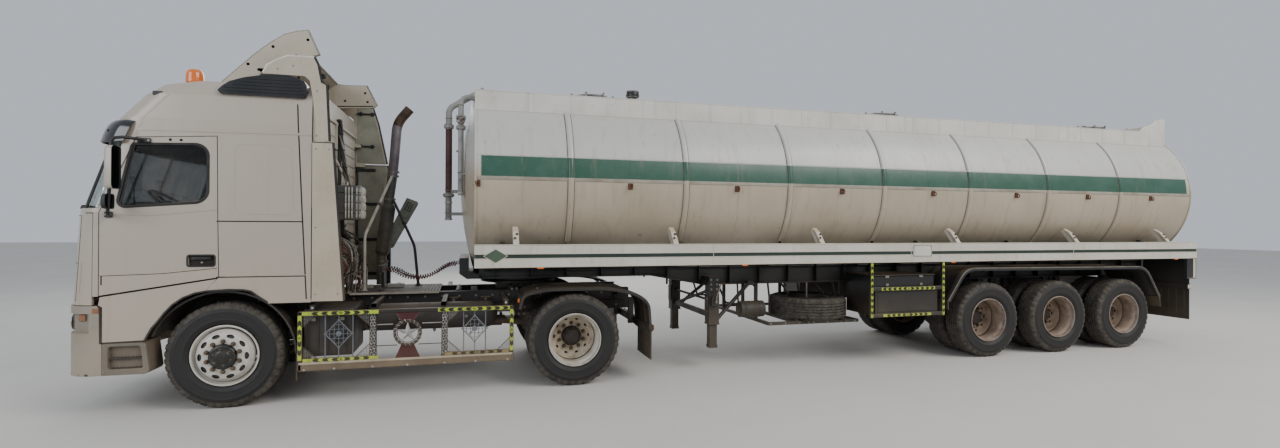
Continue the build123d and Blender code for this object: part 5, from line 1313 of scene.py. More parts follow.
for par in (-.90, -.5, -.06, .06, .5, .90):
    a, na = cab_par_n(par, 2.72, -0.002)
    b, nb = cab_par_n(par, 2.70, 0.060)
    k.tube([a, a.lerp(b, .5) + Vector((0, 0, .010)), b], .009, 8, 1)
    k.bolt(b + nb * .003, nb, .009, .004, 1)
# intakes: rounded panel with ribs
outline = [(-.065, 3.150), (-.02, 3.200), (.04, 3.245), (.17, 3.292), (.33, 3.326), (.46, 3.336), (.578, 3.333), (.65, 3.316), (.700, 3.288), (.728, 3.245),
           (.738, 3.190), (.730, 3.140), (.716, 3.112), (-.038, 3.116)]
cs_, cz_ = .34, 3.21


def intake(kit):
    lay = [(1.120, 1.0), (1.222, 1.0), (1.232, .985), (1.236, .955)]
    n = len(outline)
    v = [P(cs_ + (s - cs_) * f, y, cz_ + (z - cz_) * f) for y, f in lay for s, z in outline]
    fc = []
    for i in range(len(lay) - 1):
        for j in range(n):
            q = (j + 1) % n
            fc.append((i * n + j, i * n + q, (i + 1) * n + q, (i + 1) * n + j))
    fc.append(tuple(range((len(lay) - 1) * n, len(lay) * n)))
    kit.add(v, fc, 0)
    for i in range(5):
        z = 3.145 + .033 * i
        s0, s1 = (-.005 + .075 * max(0, i - 1), .705 - .012 * i)
        kit.prism([(s0, z), (s0 + .02, z + .014), (s1, z + .014), (s1 - .004, z)], 1.234, 1.243, "xz", 0)
        kit.prism([(s0, z - .005), (s0, z - .001), (s1, z - .001), (s1, z - .005)], 1.2345, 1.2372, "xz", 1)


k.both(intake, k)
k.make("visor_and_roof_intakes", [plastic_gloss, plastic_black], "tractor", "visor_and_intakes", "visor_and_intakes", bevel=0.002, sharp=40)

# ---------------------------------------------------------------- lamps
k = Kit()
k.both(lambda: [k.lathe(cab_par(0.80, .892) + Vector((-.024, dy, 0)), (1, .12 + dy * .8, 0), [(0, 0), (.002, .025), (.010, .055), (.018, .070), (.020, .074), (.014, .074)], 28, 0)
                for dy in (-.14, .03)])
for sg in (1, -1):
    lens = []
    for j, z in enumerate((.806, .812, .890, .972, .979)):
        off = -.012 if j in (0, 4) else .0
        lens.append([cab_par_n(sg * (0.640 + .33 * i / 14), 1.045)[0] + Vector((0, 0, z - 1.045)) + cab_par_n(sg * (0.640 + .33 * i / 14), 1.045)[1] * (off - .004) for i in range(15)])
    v = [p for r in lens for p in r]
    k.add(v, [(i * 15 + j, i * 15 + j + 1, (i + 1) * 15 + j + 1, (i + 1) * 15 + j) for i in range(4) for j in range(14)], 1, True)
    bx = [cab_par_n(sg * (0.640 + .33 * i / 14), 1.045)[0] + cab_par_n(sg * (0.640 + .33 * i / 14), 1.045)[1] * -.024 + Vector((0, 0, .892 - 1.045)) for i in range(15)]
    band(k, bx, [cab_par_n(sg * (0.640 + .33 * i / 14), 1.045)[1] for i in range(15)], .172, .002, 2)
    amb = [cab_par_n(sg * (0.930 + .035 * i / 4), 1.045)[0] + cab_par_n(sg * (0.930 + .035 * i / 4), 1.045)[1] * -.006 + Vector((0, 0, .945 - 1.045)) for i in range(5)]
    band(k, amb, [cab_par_n(sg * (0.930 + .035 * i / 4), 1.045)[1] for i in range(5)], .062, .004, 5)


def side_lamp():
    k.box(P(-1.062, 1.2385, .983), P(-1.003, 1.2430, 1.037), 4, .001)
    k.box(P(-1.058, 1.2430, .987), P(-1.007, 1.2480, 1.033), 5, .002)


k.both(side_lamp)
# beacon
b = P(-.420, .780, 3.250)
k.lathe(b, (0, 0, 1), [(-.045, 0), (-.045, .070), (0, .078), (.004, .088), (.022, .090), (.032, .084), (.036, .074)], 32, 4)
k.lathe(b, (0, 0, 1), [(.036, 0), (.036, .077), (.046, .080), (.058, .0788), (.070, .0802), (.082, .0786), (.094, .0798), (.106, .0780), (.118, .0786), (.130, .0758), (.140, .0760),
                      (.152, .071), (.166, .063), (.178, .047), (.184, .0)], 32, 3)
# small black lamp on the roof's edge
k.box(P(-.615, 1.135, 3.072), P(-.525, 1.199, 3.114), 4, .006)
k.box(P(-.620, 1.145, 3.082), P(-.615, 1.190, 3.106), 1, .001)
k.make("lamp_units", [bright_steel, lens_clear, plastic_black, amber, plastic_black, amber_dull], "tractor", "front_lamps", "front_lamps", sharp=40)

# ---------------------------------------------------------------- bumper details: fog lamps, lower lip, seam lines and the rubber lip along the wheel opening
k = Kit()
for sg in (1, -1):
    c, n_ = cab_par_n(sg * .70, 1.045)
    c = c + Vector((0, 0, .620 - 1.045))
    k.lathe(c - n_ * .030, n_, [(0, 0), (.004, .045), (.020, .055), (.034, .058), (.036, .064), (.030, .066)], 26, 0)
    k.lathe(c - n_ * .010, n_, [(0, .054), (.018, .054), (.026, .045), (.030, .0)], 26, 1)
    pts = [cab_par_n(sg * (.20 + .78 * i / 20), 1.045) for i in range(21)]
    band(k, [p + Vector((0, 0, .412 - 1.045)) for p, n in pts], [n for p, n in pts], .022, .010, 2)
    band(k, [p + Vector((0, 0, .700 - 1.045)) for p, n in pts], [n for p, n in pts], .008, .001, 3)
    band(k, [p + Vector((0, 0, 1.040 - 1.045)) for p, n in pts], [n for p, n in pts], .010, .001, 3)


def arch_lip():
    # rubber lip along the wheel opening of the lower panel
    line = [(-.645, .712), (-.622, .765), (-.588, .832), (-.540, .893), (-.480, .980), (-.417, 1.054), (-.335, 1.115), (-.235, 1.158), (-.143, 1.175), (.050, 1.186), (.180, 1.180), (.245, 1.165), (.300, 1.120), (.392, 1.052)]
    pts = []
    for (s0, z0), (s1, z1) in zip(line, line[1:]):
        for i in range(4):
            pts.append(P(s0 + (s1 - s0) * i / 4, 1.243, z0 + (z1 - z0) * i / 4))
    pts.append(P(line[-1][0], 1.243, line[-1][1]))
    band(k, pts, [Vector((0, 1, 0))] * len(pts), .018, .010, 2)


k.both(arch_lip)
k.make("bumper_and_step_trim", [bright_steel, lens_clear, plastic_black, seam_dark_and_hole_shade, chassis_black, plastic_dark, zinc], "tractor", "step_panels", sharp=35)

# ---------------------------------------------------------------- roof deflector: edges, ribs, bolts, braces
W_LEFT = [(-.170, 3.266), (.163, 3.616), (.304, 3.742), (.435, 3.841), (.556, 3.885), (.659, 3.905), (.771, 3.652), (.557, 3.567), (.437, 3.571),
          (.306, 3.507), (.235, 3.435), (.105, 3.266)]
W_RIGHT = [(-.170, 3.266), (.163, 3.520), (.464, 3.690), (.600, 3.722), (.715, 3.712), (.970, 3.722), (1.100, 3.460), (1.053, 3.425), (.640, 3.400),
           (.306, 3.350), (.105, 3.266)]
# painted shade: a grey-green that stands for the shade on the deflector's and fairings' inner faces and in the middle
# sheet's channels
wing_inner_painted_shade = surface("wing_inner_painted_shade", (140, 142, 128), rough=.6, vary=.22, scale=4, dust=.2, dust_z=(1.0, 4.0), up=.5, grain=50, bump=.15, streak=.2)
wing_edge = surface("wing_edge_light", (206, 202, 190), rough=.5, vary=.15, scale=6, dust=0.0, up=.2, grain=50, bump=.1, chips=.3)
k = Kit()
for line, y in ((W_LEFT, .886), (W_RIGHT, -.886)):
    top = line[:6]
    pts, nrm = [], []
    for i, (s, z) in enumerate(top):
        a, b = top[max(0, i - 1)], top[min(len(top) - 1, i + 1)]
        pts.append(P(s, y, z - .001))
        nrm.append(Vector((b[1] - a[1], 0, b[0] - a[0])).normalized())
    band(k, pts, nrm, .034, .0035, 0)
    rear = line[5:8]
    k.tube([P(s - .004, y, z) for s, z in rear], .016, 8, 0)
    sg = 1 if y > 0 else -1
    for s, z in ((.10, 3.50), (.33, 3.70), (.55, 3.62), (.66, 3.80), (.20, 3.45)) if sg > 0 else ((.10, 3.40), (.40, 3.60), (.70, 3.50), (.95, 3.62), (.98, 3.50)):
        k.bolt(P(s, sg * .900, z), (0, sg, 0), .010, .006, 1)
        k.bolt(P(s, sg * .872, z), (0, -sg, 0), .010, .006, 1)
    # pressed edge along the inner face's foot, in the painted shade colour
    foot = [line[-1]] + list(reversed(line[7:-1]))
    k.tube([P(s, sg * .8715, z + .022) for s, z in foot], .0065, 6, 3)
# the middle sheet's channels, in the painted shade colour, and rolled rear edge
for y in (-.60, -.30, 0.0, .30, .60):
    band(k, [P(s, y, z) for s, z in [(-.12, 3.303), (.150, 3.501), (.36, 3.616), (.54, 3.714)]], [Vector((.55, 0, .83)).normalized()] * 4, .030, .007, 3, edge=.5)
k.tube([P(.594, -.872 + 1.744 * i / 20, 3.728) for i in range(21)], .014, 8, 0)
for sg in (1, -1):
    k.tube([P(.50, sg * .62, 3.262), P(.52, sg * .68, 3.50), P(.52, sg * .74, 3.668)], .012, 8, 2)
    k.tube([P(.18, sg * .80, 3.262), P(.18, sg * .80, 3.475)], .012, 8, 2)
k.tube([P(.50, -.86, 3.660), P(.50, .86, 3.660)], .014, 8, 2)
# notch at the left wing's lower edge with its hinge
for s, z in ((.245, 3.445), (.448, 3.578)):
    k.box(P(s - .035, .898, z - .018), P(s + .035, .912, z + .018), 2, .004)
    k.bolt(P(s, .912, z), (0, 1, 0), .010, .005, 1)
k.make("deflector_trim", [wing_edge, zinc, chassis_black, wing_inner_painted_shade], "tractor", "roof_deflector", sharp=40)

# ---------------------------------------------------------------- rear wall: pressed ribs, centre channel and its cables
for i in range(15):
    z = 1.20 + .128 * i
    if z > 2.98:
        break
    for y0, y1 in ((.16, .62), (.64, 1.10), (-.62, -.16), (-1.10, -.64)):
        k.sbox(.779, .786, y0, y1, z, z + .108, 0, .0035)
for y0, y1 in ((-.145, -.125), (.125, .145)):
    k.sbox(.779, .806, y0, y1, 1.10, 3.02, 0, .004)
k.sbox(.779, .783, -.125, .125, 1.10, 3.02, 1)
for i in range(7):
    k.sbox(.783, .798, -.125, .125, 1.25 + .27 * i, 1.275 + .27 * i, 2, .002)
for i, y in enumerate((-.085, -.055, -.028, .0, .03, .060, .088)):
    r = (.011, .008, .013, .009, .012, .008, .010)[i]
    k.tube([P(.799, y + .006 * math.sin(2.1 * j + i), 1.08 + .096 * j) for j in range(20)], r, 8, 3)
k.sbox(.779, .800, -1.16, 1.16, 3.02, 3.06, 0, .006)
k.sbox(.779, .800, -1.16, 1.16, 1.06, 1.10, 2, .006)
k.make("rear_wall_ribs", [surface("rear_wall_white", (184, 182, 172), rough=.6, vary=.2, scale=2.0, dust=.6, dust_z=(1.0, 3.6), up=.7, streak=.3, grain=40, bump=.2,
                                  dark=(142, 136, 122)), seam_dark_and_hole_shade, chassis_black, rubber_black], "tractor", "cab_shell", sharp=35)

# ---------------------------------------------------------------- side fairings: inner stiffeners, hinges, edges
LOWS = {1: [(1.082, 1.050), (.972, 2.672)], -1: [(1.190, 1.050), (1.150, 2.260), (1.215, 2.560), (1.192, 2.672)]}
LEAVES = {1: [(.932, 2.690), (.905, 3.264), (.858, 3.287), (.824, 3.470), (.790, 3.540)], -1: [(1.190, 2.690), (1.078, 3.231), (1.009, 3.463), (.800, 3.539)]}
k = Kit()
for sg in (1, -1):
    for line, y in ((LOWS[sg], 1.229), (LEAVES[sg], 1.196)):
        pts = []
        for (s0, z0), (s1, z1) in zip(line, line[1:]):
            n = max(1, int(math.hypot(s1 - s0, z1 - z0) / .12))
            for i in range(n):
                pts.append(P(s0 + (s1 - s0) * i / n, sg * y, z0 + (z1 - z0) * i / n))
        pts.append(P(line[-1][0], sg * y, line[-1][1]))
        k.tube(pts, .0178, 8, 0)
    # inner faces, in the grey-green painted shade
    low = [(.800, 1.06)] + [(s - .02, z) for s, z in LOWS[sg]] + [(.800, 2.66)]
    k.prism(low, sg * 1.2128, sg * 1.2100, "xz", 1)
    leaf = [(.800, 2.70)] + [(s - .02, z) for s, z in LEAVES[sg][:-1]] + [(.800, 3.50)]
    k.prism(leaf, sg * 1.1798, sg * 1.1770, "xz", 1)
    # frame bars, hinge rods and eyes
    far = LOWS[sg][0][0] - .06
    for z in (1.12, 1.60, 2.10, 2.58):
        k.box(P(.800, sg * 1.196, z), P(far - .06 * (z - 1.1), sg * 1.210, z + .040), 2, .003)
    k.tube([P(.806, sg * 1.196, 1.08), P(.806, sg * 1.196, 2.66)], .011, 8, 2)
    for z in (1.20, 1.52, 1.95, 2.32, 2.60):
        k.cyl(P(.806, sg * 1.196, z - .035), P(.806, sg * 1.196, z + .035), .017, 12, 2)
    e = (.90 if sg > 0 else 1.03)
    for z in (3.36 if sg > 0 else 3.385, 2.93):
        k.tube([P(.80, sg * 1.166, z), P(e, sg * 1.166, z)], .012, 8, 2)
        for s in (.85, e - .03):
            k.box(P(s - .018, sg * 1.160, z - .026), P(s + .018, sg * 1.178, z + .026), 2, .004)
    # joint between the leaves, screws
    k.box(P(.788, sg * 1.2445, 2.664), P(.968, sg * 1.2465, 2.673), 0)
    for s, z in ((.82, 1.12), (.82, 1.80), (.82, 2.60), (.94, 2.60), (1.03, 1.12)):
        k.bolt(P(s, sg * 1.245, z), (0, sg, 0), .008, .004, 4, False)
    for s, z in ((.82, 2.74), (.82, 3.20), (.60, 3.44), (.46, 3.40)):
        k.bolt(P(s, sg * 1.212, z), (0, sg, 0), .008, .004, 4, False)
    # upright seam between the cab and the fairing, dark and a little open
    for z0, z1 in ((1.075, 2.70), (2.70, 3.09)):
        side_line(k, [(.7835, z0), (.7835, z1)], .010, .0012, 3, sg=sg)
    # rolled upper edge over the intake
    k.tube([P(s, sg * 1.196, z) for s, z in ((.330, 3.352), (.367, 3.433), (.460, 3.494), (.549, 3.536), (.786, 3.538))], .0175, 8, 5)
k.make("fairing_details", [rubber_black, wing_inner_painted_shade, chassis_black, seam_dark_and_hole_shade, zinc, wing_edge], "tractor", "side_fairings", sharp=35)

# ---------------------------------------------------------------- lower side panels and step units, in place of the plain ones
k = Kit()
LOWER = [(-1.004, 1.138), (-1.016, 1.057), (-.985, 1.050), (-.985, .711), (-.645, .718), (-.622, .765), (-.588, .832), (-.540, .893), (-.480, .980),
         (-.417, 1.054), (-.335, 1.115), (-.235, 1.158), (-.143, 1.173), (-.050, 1.292)]


def lower_side():
    n = len(LOWER)
    c = (-.62, .98)
    lay = [(1.210, 1.0), (1.240, 1.0), (1.2445, .994), (1.246, .985)]
    v = [P(c[0] + (s - c[0]) * f, y, c[1] + (z - c[1]) * f) for y, f in lay for s, z in LOWER]
    fc = [(i * n + j, i * n + (j + 1) % n, (i + 1) * n + (j + 1) % n, (i + 1) * n + j) for i in range(3) for j in range(n)]
    fc += [tuple(range(3 * n, 4 * n)), tuple(reversed(range(n)))]
    k.add(v, fc, 0)
    # black joint against the bumper and dark line above the step
    k.prism([(-1.022, 1.060), (-1.004, 1.060), (-.981, 1.040), (-.981, .700), (-1.002, .700), (-1.006, 1.030)], 1.236, 1.2475, "xz", 1)
    k.prism([(-.985, .700), (-.985, .712), (-.640, .719), (-.640, .705)], 1.230, 1.2475, "xz", 1)


k.both(lower_side)


def step_unit():
    outer = round_poly([(-.985, .400), (-.982, .702), (-.636, .702), (-.600, .400)], [.020, .020, .035, .040], 5)
    inner = round_poly([(-.935, .455), (-.935, .668), (-.678, .668), (-.655, .455)], [.025] * 4, 5)
    n = len(outer)
    # match the inner outline to the outer one by angle, as both have the same count
    rows = [([P(s, 1.205, z) for s, z in outer]), ([P(s, 1.243, z) for s, z in outer]),
            ([P(-.79 + (s + .79) * .985, 1.247, .551 + (z - .551) * .975) for s, z in outer]),
            ([P(-.79 + (s + .79) * 1.03, 1.247, .56 + (z - .56) * 1.05) for s, z in inner]), ([P(s, 1.240, z) for s, z in inner]),
            ([P(-.79 + (s + .79) * .97, 1.10, .56 + (z - .56) * .97) for s, z in inner])]
    v = [p for r in rows for p in r]
    fc = [(i * n + j, i * n + (j + 1) % n, (i + 1) * n + (j + 1) % n, (i + 1) * n + j) for i in range(5) for j in range(n)]
    k.add(v, fc, 2)
    k.add([P(-.79 + (s + .79) * .97, 1.10, .56 + (z - .56) * .97) for s, z in inner], [tuple(range(n))], 3)
    # body behind the frame
    k.prism(outer, 1.206, .962, "xz", 3)
    # tread plates: two steps with slots
    for z in (.462, .560):
        k.sbox(-.925, -.668, 1.085, 1.236, z - .012, z, 4, .003)
        for i in range(8):
            k.sbox(-.915 + .031 * i, -.900 + .031 * i, 1.100, 1.230, z, z + .006, 4, .001)
    # upper hanger to the cab
    k.sbox(-.960, -.700, .962, 1.215, .705, .738, 3, .004)
    k.sbox(-.960, -.700, .962, .998, .738, 1.325, 3, .004)
    for s, z in ((-.965, .43), (-.965, .68), (-.640, .68)):
        k.bolt(P(s, 1.2465, z), (0, 1, 0), .007, .004, 5, False)


k.both(step_unit)
k.make("steps_and_lower_panels", [cab_paint, seam_dark_and_hole_shade, plastic_grey, plastic_dark, chassis_black, zinc], "tractor", "step_panels", "step_panels", sharp=40)

# ================================================================ tractor behind and below the cab
tape_yellow = surface("tape_yellow", (176, 194, 52), rough=.34, vary=.22, scale=14, dust=.15, dust_z=(.3, 1.2), up=.1, grain=240, bump=.2, bump_d=.0006,
                      dark=(132, 142, 52), chips=.25)
tape_black = surface("tape_black", (22, 24, 16), rough=.4, vary=.2, scale=14, dust=.12, dust_z=(.3, 1.2), up=.1, grain=240, bump=.2, bump_d=.0006)
tape_olive = surface("tape_olive", (112, 104, 54), rough=.6, vary=.3, scale=14, dust=.4, dust_z=(.3, 1.2), up=.1, grain=240, bump=.2, bump_d=.0006,
                     dark=(80, 70, 44), chips=.3)
guard_black = surface("guard_black", (30, 30, 30), rough=.5, vary=.25, scale=6, dust=.18, dust_z=(.3, 1.1), up=.4, grain=60, bump=.22, rust=.25)
mesh_pale = surface("mesh_pale", (142, 140, 136), rough=.45, metal=.5, vary=.25, scale=12, dust=.25, dust_z=(.3, 1.1), up=.3, grain=80, bump=.2)
silver_trim = surface("silver_trim", (190, 186, 182), rough=.3, metal=.8, vary=.2, scale=20, dust=.12, dust_z=(.3, 1.1), up=.25, grain=80, bump=.1)
rope_red = surface("rope_ring", (108, 76, 74), rough=.5, metal=.35, vary=.35, scale=30, dust=.15, dust_z=(.3, 1.1), up=.25, grain=90, bump=.25,
                   dark=(62, 34, 34))
star_red = surface("panel_dark_red", (72, 17, 22), rough=.45, vary=.25, scale=8, dust=.10, dust_z=(.3, 1.1), up=.35, grain=60, bump=.12, chips=.35,
                   dark=(66, 22, 26))


def loft(k, rings, mat=0, caps=True, smooth=True, closed=True):
    """skin over rings that all have the same number of points."""
    n = len(rings[0])
    v = [p for r in rings for p in r]
    f = []
    for i in range(len(rings) - 1):
        for j in range(n if closed else n - 1):
            q = (j + 1) % n
            f.append((i * n + j, i * n + q, (i + 1) * n + q, (i + 1) * n + j))
    k.add(v, f, mat, smooth)
    if caps:
        k.add(rings[0], [tuple(range(n))], mat)
        k.add(rings[-1], [tuple(reversed(range(n)))], mat)


def rrect(a0, a1, b0, b1, r, n=5):
    """rounded rectangle as a list of (a, b)."""
    return round_poly([(a0, b0), (a1, b0), (a1, b1), (a0, b1)], [r] * 4, n)


def chevron_tape(k, p0, p1, w, nrm, yel, blk, pitch=.090, t=.0012):
    """strip with dark arrow marks that point away from a diamond in its middle."""
    p0, p1 = Vector(p0), Vector(p1)
    d = p1 - p0
    L = d.length
    d.normalize()
    nr = Vector(nrm).normalized()
    u = d.cross(nr).normalized() * (w / 2)

    def slab(pts, mat, h0, h1):
        m = len(pts)
        v = [p0 + d * a + u * b + nr * h0 for a, b in pts] + [p0 + d * a + u * b + nr * h1 for a, b in pts]
        f = [tuple(range(m)), tuple(reversed(range(m, 2 * m)))] + [(i, i + m, (i + 1) % m + m, (i + 1) % m) for i in range(m)]
        k.add(v, f, mat)

    slab([(0, -1), (L, -1), (L, 1), (0, 1)], yel, -.0010, t)
    q = w * .52
    th = pitch * .56
    mid = L / 2
    slab([(mid - q * .95, 0), (mid, .80), (mid + q * .95, 0), (mid, -.80)], blk, t * .5, t + .0006)
    slab([(mid - q * .42, 0), (mid, .36), (mid + q * .42, 0), (mid, -.36)], yel, t * .5, t + .0011)
    a = mid - q * 1.25 - th
    while a - q > .004:
        slab([(a - q, 0), (a, .90), (a + th, .90), (a + th - q, 0), (a + th, -.90), (a, -.90)], blk, t * .5, t + .0006)
        b = L - a
        slab([(b + q, 0), (b, .90), (b - th, .90), (b - th + q, 0), (b - th, -.90), (b, -.90)], blk, t * .5, t + .0006)
        a -= pitch


def chain(k, s, y, z0, z1, r, mat, n):
    """upright twisted chain of oval links."""
    step = (z1 - z0) / n
    for i in range(n):
        zc = z0 + step * (i + .5)
        turn = 0 if i % 2 else math.pi / 2
        pts = []
        for j in range(12):
            q = 2 * math.pi * j / 12
            a, b = r * math.cos(q), step * .72 * math.sin(q)
            pts.append(P(s + a * (1.0 if turn == 0 else .42), y + (a * .35 if turn else a * .10), zc + b))
        k.tube(pts, r * .22, 6, mat, closed=True)


def corner_mesh(k, s, z, ds, dz, y, mat, edge):
    """right-angled corner plate of crossed wires; s, z is its corner."""
    tri = [(s, z), (s + ds, z), (s, z + dz)]
    k.prism([(s, z + dz), (s + ds, z), (s + ds * .93, z), (s, z + dz * .93)], y - .004, y + .004, "xz", edge)
    n = 9
    for i in range(1, n):
        f = i / n
        k.prism([(s + ds * f, z), (s + ds * f + .0032, z), (s + ds * f + .0032, z + dz * (1 - f) - .001 * (1 if dz > 0 else -1)), (s + ds * f, z + dz * (1 - f))], y - .0012, y + .0016, "xz", mat)
        k.prism([(s, z + dz * f), (s, z + dz * f + .0032), (s + ds * (1 - f), z + dz * f + .0032), (s + ds * (1 - f), z + dz * f)], y - .0028, y - .0006, "xz", mat)


def lattice(k, s, z, w, h, y, mat):
    """diamond of crossed flat bars with curled tips, on a frame."""
    half = [(s - w, z), (s, z + h), (s + w, z), (s, z - h)]
    for a, b in zip(half, half[1:] + half[:1]):
        k.tube([P(a[0], y, a[1]), P(b[0], y, b[1])], .0058, 8, mat)
    for i in (-2, -1, 0, 1, 2):
        f = i / 3.0
        k.tube([P(s - w * (1 - abs(f)) * 1.0 + w * f * 0 + 0, y, z + h * f), P(s + w * (1 - abs(f)), y, z + h * f)], .0034, 6, mat)
        k.tube([P(s + w * f, y, z - h * (1 - abs(f))), P(s + w * f, y, z + h * (1 - abs(f)))], .0034, 6, mat)
    for sa, sb in ((1, 1), (1, -1)):
        for f in (.5, -.5):
            p0 = (s - w * .5 + w * f * .5, z + h * (-.5 * sa) - h * f * sa * -.5)
        k.tube([P(s - w * .5, y, z - h * .5 * sa), P(s + w * .5, y, z + h * .5 * sa)], .0040, 6, mat)
    for a in half:
        k.lathe(P(a[0], y - .006, a[1]), (0, 1, 0), [(0, 0), (0, .012), (.009, .012), (.012, .006), (.012, 0)], 10, mat)
    k.lathe(P(s, y - .008, z), (0, 1, 0), [(0, 0), (0, .030), (.010, .026), (.016, .010), (.016, 0)], 12, mat)


k = Kit()


def guards():
    y0, y1 = 1.200, 1.240
    yc = 1.220
    # outer frame: a bent bar over the top and down both ends, the sill, the posts
    top = rrect(y0, y1, .905, .945, .011, 3)
    loft(k, [[P(.668, y, z) for y, z in top], [P(2.796, y, z) for y, z in top]], 0, smooth=False)
    for s0, s1 in ((.657, .700), (2.764, 2.807)):
        sec = rrect(s0, s1, y0, y1, .011, 3)
        loft(k, [[P(s, y, .345) for s, y in sec], [P(s, y, .934) for s, y in sec]], 0, smooth=False)
    sec = rrect(y0, y1, .335, .425, .014, 4)
    loft(k, [[P(.664, y, z) for y, z in sec], [P(2.800, y, z) for y, z in sec]], 11, smooth=False)
    k.sbox(.668, 2.796, y0 + .012, y1 + .0012, .404, .4262, 8, .003)
    for s0, s1 in ((.700, 1.330), (2.110, 2.764)):
        k.sbox(s0, s1, y0 + .004, y1 - .003, .425, .463, 0, .006)
    for s0, s1 in ((1.330, 1.400), (2.045, 2.110)):
        k.sbox(s0, s1, y0 + .004, y0 + .016, .425, .905, 0, .003)
        for e in (s0 + .006, s1 - .006):
            k.sbox(e - .006, e + .006, y0 + .004, y0 + .026, .425, .905, 0, .003)
        for i, ds in enumerate((.021, .049)):
            chain(k, s0 + ds, y0 + .027, .432 + .012 * i, .898, .0115, 4, 15)
        k.sbox(s0 - .006, s1 + .006, y0 + .002, y1 - .002, .418, .436, 0, .004)
    # tape: arrows
    e = y1 + .0002
    chevron_tape(k, P(.700, e, .922), P(1.420, e, .922), .038, (0, 1, 0), 1, 2)
    chevron_tape(k, P(2.010, e, .922), P(2.764, e, .922), .038, (0, 1, 0), 1, 2)
    chevron_tape(k, P(.708, e - .003, .446), P(1.420, e - .003, .446), .034, (0, 1, 0), 1, 2)
    chevron_tape(k, P(2.080, e - .003, .446), P(2.760, e - .003, .446), .032, (0, 1, 0), 9, 2)
    chevron_tape(k, P(.679, e, .450), P(.679, e, .905), .036, (0, 1, 0), 1, 2)
    chevron_tape(k, P(2.785, e, .450), P(2.785, e, .905), .036, (0, 1, 0), 1, 2)
    # the two open panels: corner mesh, rods, lattice diamonds
    for s0, s1, sc, ra, rb in ((.700, 1.330, 1.037, .910, 1.171), (2.110, 2.764, 2.390, 2.274, 2.505)):
        for cs, d in ((s0, 1), (s1, -1)):
            corner_mesh(k, cs, .463, .135 * d, .130, yc, 3, 0)
            corner_mesh(k, cs, .905, .135 * d, -.130, yc, 3, 0)
        for r in (ra, rb):
            k.tube([P(r, yc - .006, .440), P(r, yc - .006, .910)], .0062, 8, 7)
            k.tube([P(r, yc - .006, .90), P(r, yc - .006, .912)], .010, 8, 7)
        k.tube([P(sc, yc - .006, .845), P(sc, yc - .006, .908)], .0050, 8, 7)
        k.tube([P(sc, yc - .006, .440), P(sc, yc - .006, .570)], .0050, 8, 7)
        lattice(k, sc, .704, .128, .142, yc, 7)
    # the middle field: rods, red plates with slots, rope ring, star
    k.tube([P(1.395, yc - .004, .783), P(1.560, yc - .004, .783)], .0055, 8, 4)
    k.tube([P(1.850, yc - .004, .783), P(2.050, yc - .004, .783)], .0055, 8, 4)
    k.tube([P(1.395, yc - .008, .560), P(1.600, yc - .008, .560)], .0050, 8, 0)
    k.tube([P(1.812, yc - .008, .560), P(2.050, yc - .008, .560)], .0050, 8, 0)
    up = [(1.585, .905), (1.825, .905), (1.765, .815), (1.645, .815)]
    lo = [(1.585, .425), (1.825, .425), (1.765, .565), (1.645, .565)]
    for q in (up, lo):
        k.prism(q, 1.212, 1.2225, "xz", 5)
        for a, b in zip(q, q[1:] + q[:1]):
            k.tube([P(a[0], 1.2245, a[1]), P(b[0], 1.2245, b[1])], .0042, 6, 5)
    for i in range(7):
        s = 1.645 + .020 * i
        k.sbox(s - .0035, s + .0035, 1.221, 1.2265, .838, .892, 5, .001)
        k.sbox(s - .0035, s + .0035, 1.221, 1.2265, .440, .548, 5, .001)
    for i in range(2):
        k.sbox(1.600 + .200 * i, 1.612 + .200 * i, 1.221, 1.2265, .440, .468, 5, .001)
    cx, cz = 1.705, .690
    ring = [P(cx + .128 * math.cos(q), yc, cz + .128 * math.sin(q)) for q in [2 * math.pi * i / 40 for i in range(40)]]
    k.tube(ring, .0145, 8, 0, closed=True)
    for i in range(36):
        q = 2 * math.pi * i / 36
        a, b = q - .055, q + .055
        k.tube([P(cx + .113 * math.cos(a), yc + .013, cz + .113 * math.sin(a)), P(cx + .129 * math.cos(q), yc + .019, cz + .129 * math.sin(q)),
                P(cx + .144 * math.cos(b), yc + .011, cz + .144 * math.sin(b))], .0058, 6, 6 if i % 2 else 10)
    # star: raised facets
    pts = []
    for i in range(10):
        q = math.pi / 2 + math.pi * i / 5
        r = .116 if i % 2 == 0 else .040
        pts.append((cx + r * math.cos(q), cz + r * math.sin(q)))
    v = [P(s, yc + .004, z) for s, z in pts] + [P(cx, yc + .017, cz), P(cx, yc - .008, cz)] + [P(s, yc - .006, z) for s, z in pts]
    f = [(i, (i + 1) % 10, 10) for i in range(10)] + [(12 + (i + 1) % 10, 12 + i, 11) for i in range(10)] + [(i, 12 + i, 12 + (i + 1) % 10, (i + 1) % 10) for i in range(10)]
    k.add(v, f, 4)
    k.tube([P(cx + .105 * math.cos(q), yc - .004, cz + .105 * math.sin(q)) for q in [2 * math.pi * i / 28 for i in range(28)]], .004, 6, 0, closed=True)
    # hangers to the frame brackets
    for s in (.760, 2.700):
        k.sbox(s, s + .050, 1.180, 1.204, .905, 1.000, 0, .004)
        k.bolt(P(s + .025, 1.204, .975), (0, 1, 0), .009, .006, 4)
    for s in (.72, 1.00, 1.365, 1.705, 2.078, 2.40, 2.74):
        k.bolt(P(s, 1.2395, .352), (0, 1, 0), .008, .005, 4)


k.both(guards)
k.make("side_guard_set", [guard_black, tape_yellow, tape_black, mesh_pale, silver_trim, star_red, rope_red, blue_grey, sill_dusty, tape_olive, mesh_pale,
                           surface("sill_brown", (84, 74, 62), rough=.7, vary=.3, scale=5, dust=.30, dust_z=(.25, .9), up=.3, grain=60, bump=.25, rust=.4)],
       "tractor", "side_guards", "side_guards", sharp=38)

